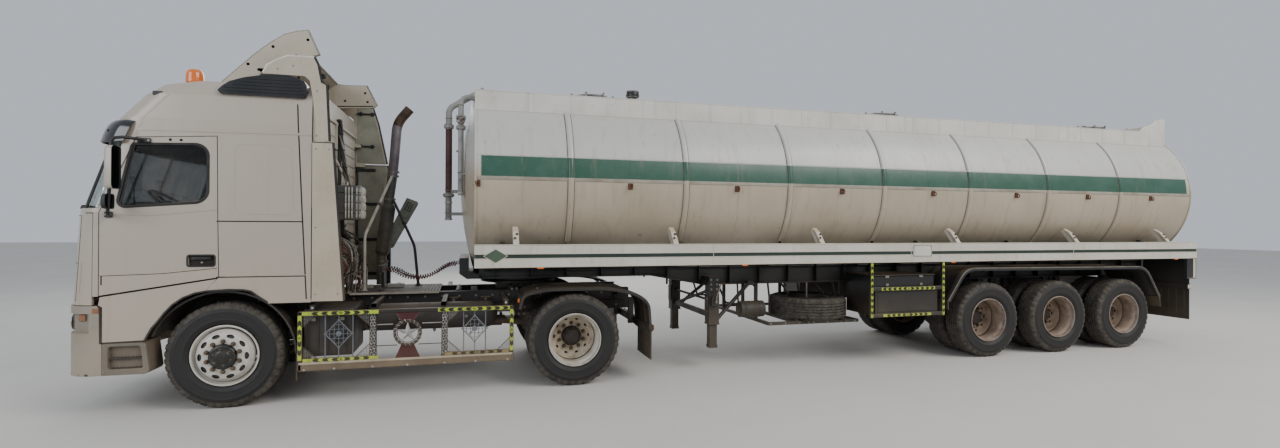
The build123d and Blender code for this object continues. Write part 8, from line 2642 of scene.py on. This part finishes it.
def axle_bits():
    for sx in (9.405, 10.685, 11.965):
        for i in range(5):
            L = (.540, .50, .40, .30, .20)[i]
            pts = [(sx - L + 2 * L * j / 14, .655 + .020 * ((-L + 2 * L * j / 14) / .54) ** 2 - .0135 * i) for j in range(15)]
            v, f = [], []
            for s, z in pts:
                v += [P(s, .4385, z), P(s, .5215, z), P(s, .5215, z - .0105), P(s, .4385, z - .0105)]
            for j in range(14):
                a, b = j * 4, j * 4 + 4
                f += [(a + q, a + (q + 1) % 4, b + (q + 1) % 4, b + q) for q in range(4)]
            f += [(3, 2, 1, 0), (56, 57, 58, 59)]
            k.add(v, f, 0)
        for d in (-.062, .062):
            for y in (.430, .530):
                k.tube([P(sx + d, y, .455), P(sx + d, y, .690)], .011, 8, 1)
                k.cyl(P(sx + d, y, .448), P(sx + d, y, .466), .018, 6, 1, smooth=False)
        k.sbox(sx - .085, sx + .085, .425, .535, .664, .684, 2, .005)
        k.sbox(sx - .085, sx + .085, .425, .535, .455, .470, 2, .005)
        # hangers' side plates and pins
        for s in (sx - .530, sx + .500):
            k.prism([(s - .05, 1.052), (s + .05, 1.052), (s + .040, .640), (s + .02, .595), (s - .02, .595), (s - .040, .640)], .5160, .5240, "xz", 2)
            k.cyl(P(s, .430, .660), P(s, .532, .660), .022, 14, 1)
        # brake chamber, slack adjuster, hose
        k.cyl(P(sx + .14, .36, .620), P(sx + .30, .36, .640), .068, 20, 2, c=.010)
        k.cyl(P(sx + .30, .36, .640), P(sx + .315, .36, .641), .075, 20, 1, c=.003)
        k.tube([P(sx + .10, .36, .600), P(sx + .04, .36, .590), P(sx + .03, .36, .520)], .014, 8, 1)
        k.sbox(sx + .01, sx + .05, .345, .375, .480, .600, 2, .006)
    for s0, s1 in ((9.905, 10.155), (11.185, 11.435)):
        k.tube([P(s0, .48, .700), P((s0 + s1) / 2, .48, .730), P(s1, .48, .700)], .030, 10, 2)


k.both(axle_bits)
k.make("trailer_springs", [spring_steel, zinc, cast_dusty], "trailer", "trailer_axles", sharp=35)

# ---------------------------------------------------------------- rear bumper: lamps, tape, flaps, boards
k = Kit()
for sg in (1, -1):
    for y0, y1, mt in ((.715, .830, 2), (.840, .930, 3), (.940, 1.020, 4), (1.030, 1.185, 2)):
        sec = rrect(y0, y1, .888, .942, .010, 3)
        c = ((y0 + y1) / 2, .915)
        loft(k, [[P(s, sg * (c[0] + (y - c[0]) * f), c[1] + (z - c[1]) * f) for y, z in sec] for s, f in ((13.308, 1), (13.318, 1), (13.326, .88))], mt)
    # flap: three vertical ribs and a bound edge, the paler strip on the side board
    for i in range(6):
        y = .62 + .11 * i
        k.box(P(13.2625, sg * (y - .008), .420), P(13.2660, sg * (y + .008), 1.02), 1, .001)
        k.box(P(13.2500, sg * (y - .008), .420), P(13.2465, sg * (y + .008), .860), 1, .001)
    k.box(P(13.2615, sg * .562, 1.050), P(13.270, sg * 1.232, 1.090), 0, .002)
    for i in range(6):
        k.bolt(P(13.270, sg * (.60 + .12 * i), 1.070), (-1, 0, 0), .008, .006, 5)
    k.box(P(13.335, sg * 1.239, 1.050), P(13.385, sg * 1.2425, 1.360), 6, .001)
    k.box(P(13.205, sg * 1.239, 1.046), P(13.330, sg * 1.2415, 1.054), 5, .001)
    k.box(P(13.226, sg * 1.2345, .886), P(13.294, sg * 1.2375, .944), 6, .001)
    k.box(P(13.250, sg * .560, .400), P(13.262, sg * 1.235, .412), 1, .002)
k.box(P(13.290, -.690, .892), P(13.2925, .690, .938), 7, .0005)
for i in range(9):
    s = -.66 + .165 * i
    k.box(P(13.2925, s - .035, .894), P(13.2932, s + .035, .936), 8, .0002)
k.box(P(13.292, -.24, .955), P(13.296, .24, 1.070), 6, .0015)
for y in (-.21, .21):
    k.bolt(P(13.296, y, 1.05), (-1, 0, 0), .006, .004, 5)
    k.box(P(13.275, y - .015, .94), P(13.292, y + .015, 1.08), 0, .003)
# rail end caps with bolts
for sg in (1, -1):
    k.box(P(13.399, sg * 1.197, 1.372), P(13.404, sg * 1.248, 1.608), 6, .002)
    for z in (1.42, 1.49, 1.56):
        k.bolt(P(13.404, sg * 1.222, z), (-1, 0, 0), .007, .005, 5)
k.make("rear_bumper_fittings", [trailer_black, rubber_black, red_lens, amber, white_lens, zinc, white_worn, tape_red, red_paint], "trailer", "rear_bumper", sharp=35)

# ================================================================ inside the cab
seat_cloth = surface("seat_cloth", (66, 68, 74), rough=.88, vary=.16, scale=9, dust=.10, dust_z=(1.0, 2.2), up=.18, grain=340, bump=.45, bump_d=.0012, spec=.2,
                     dark=(46, 48, 54))
seat_centre = surface("seat_centre", (104, 102, 98), rough=.9, vary=.2, scale=14, dust=.10, dust_z=(1.0, 2.2), up=.2, grain=300, bump=.5, bump_d=.0014, spec=.2,
                      dark=(76, 76, 78))
piping = surface("seat_piping", (34, 35, 38), rough=.6, vary=.2, scale=20, dust=.05, up=.15, grain=200, bump=.2)


def ticking():
    """mattress cover: pale cloth with thin woven stripes and faint stains."""
    g = Graph("mattress_cover")
    x, y, z = g.xyz(g.pos)
    t = g.math("FRACT", g.math("DIVIDE", g.math("ADD", y, 10.0), .085))
    bar = g.math("MULTIPLY", g.ramp(t, .10, .14), g.ramp(t, .30, .26))
    base = g.mix(g.ramp(g.noise(3.0, 5.0, .6), .35, .75, 0.0, .8), srgb(168, 162, 148), srgb(136, 128, 112))
    col = g.mix(g.math("MULTIPLY", bar, .7), base, srgb(88, 100, 118))
    g.set(color=col, rough=.9, spec=.2)
    g.bump(g.noise(380.0, 2.0, .5, shift=2.0), .4, .0010)
    return g.mat


mattress_cloth = ticking()


def soft_sim(ob, cap, pressure, frames=20):
    """blows the pad up from inside as cloth; the sewn lines are pinned; the result is written into the mesh."""
    md = ob.modifiers.new("cloth", "CLOTH")
    st = md.settings
    st.quality = 4
    st.mass = .25
    st.tension_stiffness = st.compression_stiffness = 14.0
    st.shear_stiffness = 5.0
    st.bending_stiffness = .35
    st.use_pressure = True
    st.uniform_pressure_force = pressure
    st.effector_weights.gravity = 0.0
    st.vertex_group_mass = "sewn"
    st.pin_stiffness = 1.0
    md.collision_settings.use_collision = False
    md.collision_settings.use_self_collision = False
    md.point_cache.frame_start, md.point_cache.frame_end = 1, frames
    sc = bpy.context.scene
    for f in range(1, frames + 1):
        sc.frame_set(f)
    ev = ob.evaluated_get(bpy.context.evaluated_depsgraph_get())
    co = [v.co.copy() for v in ev.data.vertices]
    ob.modifiers.remove(md)
    for v, q in zip(ob.data.vertices, co):
        d = q - v.co
        if d.length > cap:
            d = d.normalized() * cap
        v.co = v.co + d
    sc.frame_set(1)


def pad(name, o, U, W, hu, hv, hw, chan_u, chan_v, nu, nv, bulge, replaces=None, mats=None, back=.55, pull=.035, cap=.020, pressure=4.0, worn=0.0):
    """crowned closed pad: U and V lie along it, W is its outer face's direction; chan are its sewn lines from -1 to 1."""
    U, W = Vector(U).normalized(), Vector(W).normalized()
    V = W.cross(U).normalized()
    o = Vector(o)
    us = sorted(set([-1 + 2 * i / nu for i in range(nu + 1)] + list(chan_u)))
    vs = sorted(set([-1 + 2 * i / nv for i in range(nv + 1)] + list(chan_v)))
    eu, ev_ = [-1.0] + [c for c in chan_u] + [1.0], [-1.0] + [c for c in chan_v] + [1.0]

    def swell(t, edges):
        for a, b in zip(edges, edges[1:]):
            if a <= t <= b:
                f = (t - a) / (b - a)
                return max(0.0, 1 - (2 * f - 1) ** 2) ** .55
        return 0.0

    def sink(t, lines, w):
        return max([0.0] + [math.exp(-((t - c) / w) ** 2) for c in lines])

    verts, faces, idx, pins, tops = [], [], {}, [], []
    m, n = len(us), len(vs)
    for side in (1, -1):
        for i, u in enumerate(us):
            for j, v in enumerate(vs):
                rim = i in (0, m - 1) or j in (0, n - 1)
                if rim and side < 0:
                    idx[side, i, j] = idx[1, i, j]
                    continue
                # corners are rounded and the sides pull in between them
                r = (abs(u) ** 9 + abs(v) ** 9) ** (1 / 9)
                k_ = max(abs(u), abs(v)) / r if r > 1e-6 else 1.0
                uu = u * k_ * (1 - pull * (1 - v * v) * abs(u) ** 4)
                vv = v * k_ * (1 - pull * (1 - u * u) * abs(v) ** 4)
                e = ((1 - abs(u) ** 7) * (1 - abs(v) ** 7))
                t = max(0.0, e) ** .36
                if side > 0:
                    h = t * (1.0 - bulge + bulge * swell(u, eu) * swell(v, ev_))
                    h -= t * bulge * .9 * max(sink(u, chan_u, .030 * .5 / hu * .5), sink(v, chan_v, .030 * .5 / hv * .5))
                    h -= worn * math.exp(-((u * u) / .35 + (v * v) / .35))
                else:
                    h = -t * back
                idx[side, i, j] = len(verts)
                verts.append(tuple(o + U * (hu * uu) + V * (hv * vv) + W * (hw * h)))
                sewn = rim or (side > 0 and (any(abs(u - c) < 1e-6 for c in chan_u) or any(abs(v - c) < 1e-6 for c in chan_v)))
                pins.append(1.0 if sewn else (0.75 if side < 0 else 0.0))
                tops.append((u, v, side))
    fm = []
    for side in (1, -1):
        for i in range(m - 1):
            for j in range(n - 1):
                q = (idx[side, i, j], idx[side, i + 1, j], idx[side, i + 1, j + 1], idx[side, i, j + 1])
                faces.append(q if side > 0 else tuple(reversed(q)))
                uc, vc = (us[i] + us[i + 1]) / 2, (vs[j] + vs[j + 1]) / 2
                inner = side > 0 and (not chan_u or eu[1] < uc < eu[-2]) and (not chan_v or len(chan_v) < 2 or ev_[1] < vc < ev_[-2])
                fm.append(1 if inner else 0)
    me = bpy.data.meshes.new(name)
    me.from_pydata(verts, [], faces)
    for mt in (mats or [seat_cloth, seat_centre]):
        me.materials.append(mt)
    me.polygons.foreach_set("material_index", [min(v, len(me.materials) - 1) for v in fm])
    me.polygons.foreach_set("use_smooth", [True] * len(faces))
    import bmesh
    bm = bmesh.new()
    bm.from_mesh(me)
    bmesh.ops.recalc_face_normals(bm, faces=bm.faces)
    bm.to_mesh(me)
    bm.free()
    ob = bpy.data.objects.new(name, me)
    bpy.context.scene.collection.objects.link(ob)
    grp = ob.vertex_groups.new(name="sewn")
    for i, w in enumerate(pins):
        if w > 0:
            grp.add([i], w, "REPLACE")
    soft_sim(ob, cap, pressure)
    # stays in its own room
    for v in ob.data.vertices:
        d = v.co - o
        a, b, c = d.dot(U), d.dot(V), d.dot(W)
        a, b = max(-hu, min(hu, a)), max(-hv, min(hv, b))
        c = max(-hw, min(hw, c))
        v.co = o + U * a + V * b + W * c
    ob.data.update()
    sb = ob.modifiers.new("sub", "SUBSURF")
    sb.levels = sb.render_levels = 1
    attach(ob, "tractor")
    if replaces:
        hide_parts(replaces)
    return ob


trim = Kit()


def rim_piping(o, U, W, hu, hv, r, pull=.035, shift=0.0):
    U, W = Vector(U).normalized(), Vector(W).normalized()
    V = W.cross(U).normalized()
    pts = []
    for i in range(72):
        q = 2 * math.pi * i / 72
        c, s_ = math.cos(q), math.sin(q)
        m_ = max(abs(c), abs(s_))
        u, v = c / m_, s_ / m_
        rr = (abs(u) ** 9 + abs(v) ** 9) ** (1 / 9)
        k_ = 1.0 / rr
        uu = u * k_ * (1 - pull * (1 - v * v) * abs(u) ** 4)
        vv = v * k_ * (1 - pull * (1 - u * u) * abs(v) ** 4)
        pts.append(Vector(o) + U * (hu * uu) + V * (hv * vv) + W * shift)
    trim.tube(pts, r, 6, 0, closed=True)


first = True
for sg, side in ((1, "left"), (-1, "right")):
    # cushion, 0.52 x 0.50 x 0.148
    o = P(-.300, sg * .540, 1.752)
    pad(f"seat_cushion_{side}", o, (1, 0, 0), (0, 0, 1), .257, .247, .086, [-.60, -.22, .16, .56], [-.62, .62], 26, 24, .30, "seats_and_bunk" if first else None,
        back=.68, worn=.10)
    first = False
    rim_piping(o, (1, 0, 0), (0, 0, 1), .255, .245, .0055)
    # back rest, leaning
    a, b = Vector((-.060, 1.850)), Vector((.062, 2.428))
    mid, dirv = (a + b) / 2, (b - a).normalized()
    fw = Vector((-dirv.y, dirv.x))
    o = P(mid.x, sg * .540, mid.y)
    Ub, Wb = Vector((-dirv.x, 0, dirv.y)), Vector((-fw.x, 0, fw.y))
    pad(f"seat_back_{side}", o, Ub, Wb, .288, .237, .052, [-.55, -.15, .25, .62], [-.60, .60], 28, 22, .36, back=.92, worn=.06)
    rim_piping(o, Ub, Wb, .286, .235, .0050)
    # head rest
    a, b = Vector((.064, 2.440)), Vector((.104, 2.612))
    mid, dirv = (a + b) / 2, (b - a).normalized()
    fw = Vector((-dirv.y, dirv.x))
    o = P(mid.x, sg * .540, mid.y)
    Uh, Wh = Vector((-dirv.x, 0, dirv.y)), Vector((-fw.x, 0, fw.y))
    pad(f"head_rest_{side}", o, Uh, Wh, .084, .127, .044, [], [-.45, .45], 14, 18, .26, back=.9)
    rim_piping(o, Uh, Wh, .083, .126, .0045)
    for y in (-.07, .07):
        trim.tube([P(.060, sg * .540 + y, 2.40), P(.075, sg * .540 + y, 2.47)], .006, 8, 1)
    # seat pan, slide rails, adjuster, folded gaiter round the pedestal
    trim.sbox(-.535, -.065, sg * .540 - .225, sg * .540 + .225, 1.6925, 1.700, 2, .003)
    for k_ in range(9):
        z = 1.425 + .030 * k_
        g = [P(s, sg * .540 + y, z + dz) for dz in (0,) for s, y in rrect(-.486, -.074, -.206, .206, .03, 4)]
        trim.tube(g, .0085, 6, 3, closed=True)
    for y in (-.20, .20):
        trim.sbox(-.52, -.04, sg * .540 + y - .012, sg * .540 + y + .012, 1.402, 1.420, 1, .003)
    trim.tube([P(-.30, sg * .540 - .235, 1.72), P(-.16, sg * .540 - .248, 1.735)], .009, 8, 2)
    # belt reel and buckle
    trim.sbox(-.10, -.06, sg * .27 - .012, sg * .27 + .012, 1.70, 1.84, 2, .006)
    trim.sbox(-.098, -.062, sg * .27 - .013, sg * .27 + .013, 1.835, 1.862, 4, .004)
# mattress with a quilted top
o = P(.520, 0.0, 1.872)
pad("mattress_quilted", o, (0, 1, 0), (0, 0, 1), 1.140, .182, .066, [-.8, -.6, -.4, -.2, 0.0, .2, .4, .6, .8], [-.34, .34], 60, 14, .22, mats=[mattress_cloth], back=.74,
    pull=.012, cap=.016)
rim_piping(o, (0, 1, 0), (0, 0, 1), 1.138, .180, .0050, .012, .030)
rim_piping(o, (0, 1, 0), (0, 0, 1), 1.138, .180, .0050, .012, -.036)
trim.make("seat_trim", [piping, bright_steel, plastic_black, rubber_black, red_paint], "tractor", "seats_and_bunk", sharp=40)

# ---------------------------------------------------------------- steering wheel
k = Kit()
c = P(-.7127, .560, 2.0458)
ax = Vector((-.606, 0, .795)).normalized()
u_ = Vector((0, 1, 0))
w_ = ax.cross(u_).normalized()
N, M = 84, 12
v, f = [], []
for i in range(N):
    q = 2 * math.pi * i / N
    rad = u_ * math.cos(q) + w_ * math.sin(q)
    rr = .0150 + .0011 * math.cos(q * 28)
    for j in range(M):
        p = 2 * math.pi * j / M
        v.append(c + rad * (.214 + rr * math.cos(p)) + ax * (rr * math.sin(p)))
for i in range(N):
    for j in range(M):
        f.append((i * M + j, i * M + (j + 1) % M, ((i + 1) % N) * M + (j + 1) % M, ((i + 1) % N) * M + j))
k.add(v, f, 0, True)
for q in (0.0, math.pi, math.pi * 1.5):
    rad = u_ * math.cos(q) + w_ * math.sin(q)
    tan = ax.cross(rad).normalized()
    rings = []
    for t, hw_, ht in ((.045, .030, .010), (.09, .022, .009), (.15, .017, .008), (.205, .020, .009)):
        cc = c + rad * t - ax * (.022 * (1 - t / .205))
        rings.append([cc + tan * (hw_ * math.cos(p)) + ax * (ht * math.sin(p)) for p in [2 * math.pi * j / 12 for j in range(12)]])
    loft(k, rings, 0)
k.lathe(c - ax * .045, ax, [(0, 0), (0, .040), (.012, .052), (.024, .058), (.034, .058), (.042, .052), (.048, .038), (.051, .020), (.052, 0)], 32, 1)
k.lathe(c + ax * .0065, ax, [(0, .036), (.0022, .034), (.0022, .030), (0, .028)], 32, 0, closed=True)
k.make("steering_wheel_rim", [plastic_black, plastic_dark], "steering_wheel", "steering_wheel", "steering_wheel", sharp=40)

# ---------------------------------------------------------------- dash, pedals, lever, mats
k = Kit()
# hooded instrument cluster in front of the driver
hood = []
for s, zt, hw_ in ((-1.06, 2.030, .215), (-.98, 2.062, .205), (-.905, 2.060, .190), (-.900, 2.048, .182)):
    ring = []
    for i in range(13):
        a = math.pi * i / 12
        ring.append(P(s, .560 + hw_ * math.cos(a), 1.950 + (zt - 1.950) * math.sin(a) ** .6))
    hood.append(ring)
loft(k, hood, 0, caps=True)
fn = Vector((-.91, 0, .414)).normalized()
for y, r in ((.470, .046), (.650, .046), (.560, .026), (.385, .022), (.735, .022)):
    o = P(-.872, y, 1.948)
    k.lathe(o, fn, [(-.004, 0), (-.004, r * 1.14), (.006, r * 1.14), (.010, r * 1.06), (.006, r), (.001, r * .98), (.001, 0)], 26, 1, mats=[1, 1, 2, 2, 1, 5])
    for a in range(-5, 6):
        q = math.radians(90 + a * 24)
        uu, ww = Vector((0, 1, 0)), Vector((.414, 0, .91)).normalized()
        p0 = o + fn * .0016 + (uu * math.cos(q) + ww * math.sin(q)) * (r * .74)
        p1 = o + fn * .0016 + (uu * math.cos(q) + ww * math.sin(q)) * (r * .92)
        k.tube([p0, p1], .0011, 4, 4)
    k.tube([o + fn * .003, o + fn * .003 + (Vector((0, 1, 0)) * -.6 + Vector((.414, 0, .91)) * .7).normalized() * r * .7], .0016, 5, 3)
    k.lathe(o, fn, [(.001, 0), (.001, r * .14), (.005, r * .12), (.006, 0)], 12, 0)


def on_dash(y, t, d=0.0):
    """a point on the dash's sloping rear face; t from its top (0) to its nose (1)."""
    return P(-.880 + .050 * t, y, 1.960 - .110 * t) + fn * d


def dash_box(y0, y1, t0, t1, h, mt, inset=.0):
    v = [on_dash(y, t, d) for d in (-.002, h) for y, t in ((y0, t0), (y1, t0), (y1, t1), (y0, t1))]
    k.add(v, [(0, 1, 2, 3), (7, 6, 5, 4), (0, 4, 5, 1), (1, 5, 6, 2), (2, 6, 7, 3), (3, 7, 4, 0)], mt)


for y0, y1 in ((.150, .310), (-.060, .100), (-.330, -.170), (-.900, -.740), (.840, 1.000)):
    dash_box(y0, y1, .08, .52, .006, 1)
    for i in range(5):
        t = .13 + .085 * i
        dash_box(y0 + .008, y1 - .008, t, t + .035, .010, 0)
for i in range(7):
    dash_box(.160 + .030 * i - .10, .184 + .030 * i - .10, .62, .86, .008, 1)
    k.tube([on_dash(.166 + .030 * i - .10, .72, .009), on_dash(.178 + .030 * i - .10, .72, .009)], .0018, 5, 4)
dash_box(-.150, .030, .60, .92, .004, 5)
dash_box(-.146, .026, .63, .89, .006, 1)
for y in (-.132, .012):
    k.lathe(on_dash(y, .76, .004), fn, [(0, 0), (0, .013), (.012, .012), (.014, .009), (.014, 0)], 16, 1)
dash_box(-1.020, -.420, .58, .60, .004, 5)
dash_box(-1.020, -.420, .96, .98, .004, 5)
k.tube([on_dash(-.78, .70, .010), on_dash(-.66, .70, .010)], .005, 8, 2)
# top tray edge and grab bar on the passenger's side
k.tube([P(-1.150, -1.05 + .21 * i, 2.000 + .002 * (i % 2)) for i in range(6)], .012, 10, 0)
k.tube(smooth_path([on_dash(-.98, .30, .0), on_dash(-.98, .30, .050), on_dash(-.52, .30, .050), on_dash(-.52, .30, .0)], .03, 5), .011, 10, 0)
# column shroud
a, b = P(-.900, .560, 1.800), P(-.745, .560, 2.003)
ax2 = (b - a).normalized()
L2 = (b - a).length
k.lathe(a, ax2, [(.02, .036), (.06, .044), (.12, .050), (L2 - .03, .052), (L2 - .006, .048), (L2 - .004, .036)], 24, 0)
for sg in (1, -1):
    p = a + ax2 * (L2 - .035)
    k.tube(smooth_path([p + Vector((0, sg * .045, 0)), p + Vector((.01, sg * .11, .01)), p + Vector((.03, sg * .165, .03))], .03, 5), .0065, 8, 1)
    k.cyl(p + Vector((.022, sg * .15, .022)), p + Vector((.040, sg * .192, .040)), .009, 10, 1)
# pedals
for y, w in ((.720, .045), (.575, .045), (.400, .032)):
    k.tube(smooth_path([P(-.985, y, 1.62), P(-.940, y, 1.56), P(-.900, y, 1.475)], .04, 5), .009, 8, 2)
    q = Vector((.5, 0, .87)).normalized()
    k.sbox(-.915, -.893, y - w, y + w, 1.440, 1.500, 1, .006)
    for i in range(4):
        k.sbox(-.8935, -.8895, y - w + .006, y + w - .006, 1.446 + .0135 * i, 1.453 + .0135 * i, 5, .001)
# gear lever with a folded gaiter, parking brake lever
lv = smooth_path([P(-.52, .150, 1.500), P(-.50, .160, 1.640), P(-.46, .190, 1.780)], .06, 6)
k.tube(lv, .0085, 10, 2)
k.lathe(P(-.52, .150, 1.498), (0, 0, 1), [(0, .070), (.008, .071), (.014, .062), (.022, .064), (.028, .050), (.036, .053), (.042, .038), (.050, .040), (.056, .026), (.064, .028), (.072, .014), (.074, .0)], 24, 5)
k.lathe(P(-.464, .187, 1.768), (.2, .2, 1), [(0, 0), (0, .014), (.010, .022), (.026, .026), (.042, .022), (.050, .010), (.051, 0)], 20, 1)
k.tube([P(-.25, .150, 1.505), P(-.17, .150, 1.585)], .010, 8, 1)
# tunnel cover seam, ribbed mats, bunk front lids with finger slots
k.sbox(-.98, .28, -.255, .255, 1.5002, 1.5040, 5, .001)
for sg in (1, -1):
    k.sbox(-.960, -.500, sg * .300, sg * 1.060, 1.4005, 1.4005 + .005, 5, .002)
    for i in range(15):
        k.sbox(-.950 + .030 * i, -.940 + .030 * i, sg * .315, sg * 1.045, 1.4005 + .005, 1.4005 + .009, 5, .001)
    for y0, y1 in ((.06, .56), (.60, 1.08)):
        k.sbox(.3255, .3305, sg * y0, sg * y1, 1.44, 1.78, 1, .002)
        k.sbox(.3215, .3260, sg * (y0 + y1) / 2 - .05, sg * (y0 + y1) / 2 + .05, 1.735, 1.755, 5, .001)
k.make("cab_inside_fittings", [inside_dark, plastic_black, bright_steel, red_paint, white_lens, rubber_black], "tractor", "cab_interior", sharp=40)

# ================================================================ floor and light
def plane(name, pts, mat):
    me = bpy.data.meshes.new(name)
    me.from_pydata([tuple(p) for p in pts], [], [tuple(range(len(pts)))])
    me.materials.append(mat)
    ob = bpy.data.objects.new(name, me)
    bpy.context.scene.collection.objects.link(ob)
    return ob


floor_mat = surface("pale_floor", (206, 203, 197), rough=0.8, vary=0.03, scale=0.4, dust=0.0, up=0.0, grain=8, bump=0.05)
plane("floor", [(-60, -60, 0), (60, -60, 0), (60, 60, 0), (-60, 60, 0)], floor_mat)

world = bpy.data.worlds.new("studio")
bpy.context.scene.world = world
world.use_nodes = True
wt = world.node_tree
wt.nodes["Background"].inputs[0].default_value = (0.80, 0.86, 0.95, 1.0)
wt.nodes["Background"].inputs[1].default_value = 0.68


def area(name, loc, target, size, power, color=(1, 1, 1)):
    ld = bpy.data.lights.new(name, "AREA")
    ld.shape = "RECTANGLE"
    ld.size, ld.size_y = size
    ld.energy = power
    ld.color = color
    ob = bpy.data.objects.new(name, ld)
    bpy.context.scene.collection.objects.link(ob)
    ob.location = loc
    ob.rotation_euler = (Vector(target) - Vector(loc)).to_track_quat("-Z", "Y").to_euler()
    return ob


area("key", (-9, 11, 12), (0, 0, 1.5), (12, 8), 2150, (1.0, 0.96, 0.90))
area("fill", (14, 9, 6), (2, 0, 1.5), (8, 6), 700, (0.94, 0.97, 1.0))
area("back", (2, -14, 9), (0, 0, 2.0), (14, 6), 900, (1.0, 0.97, 0.92))
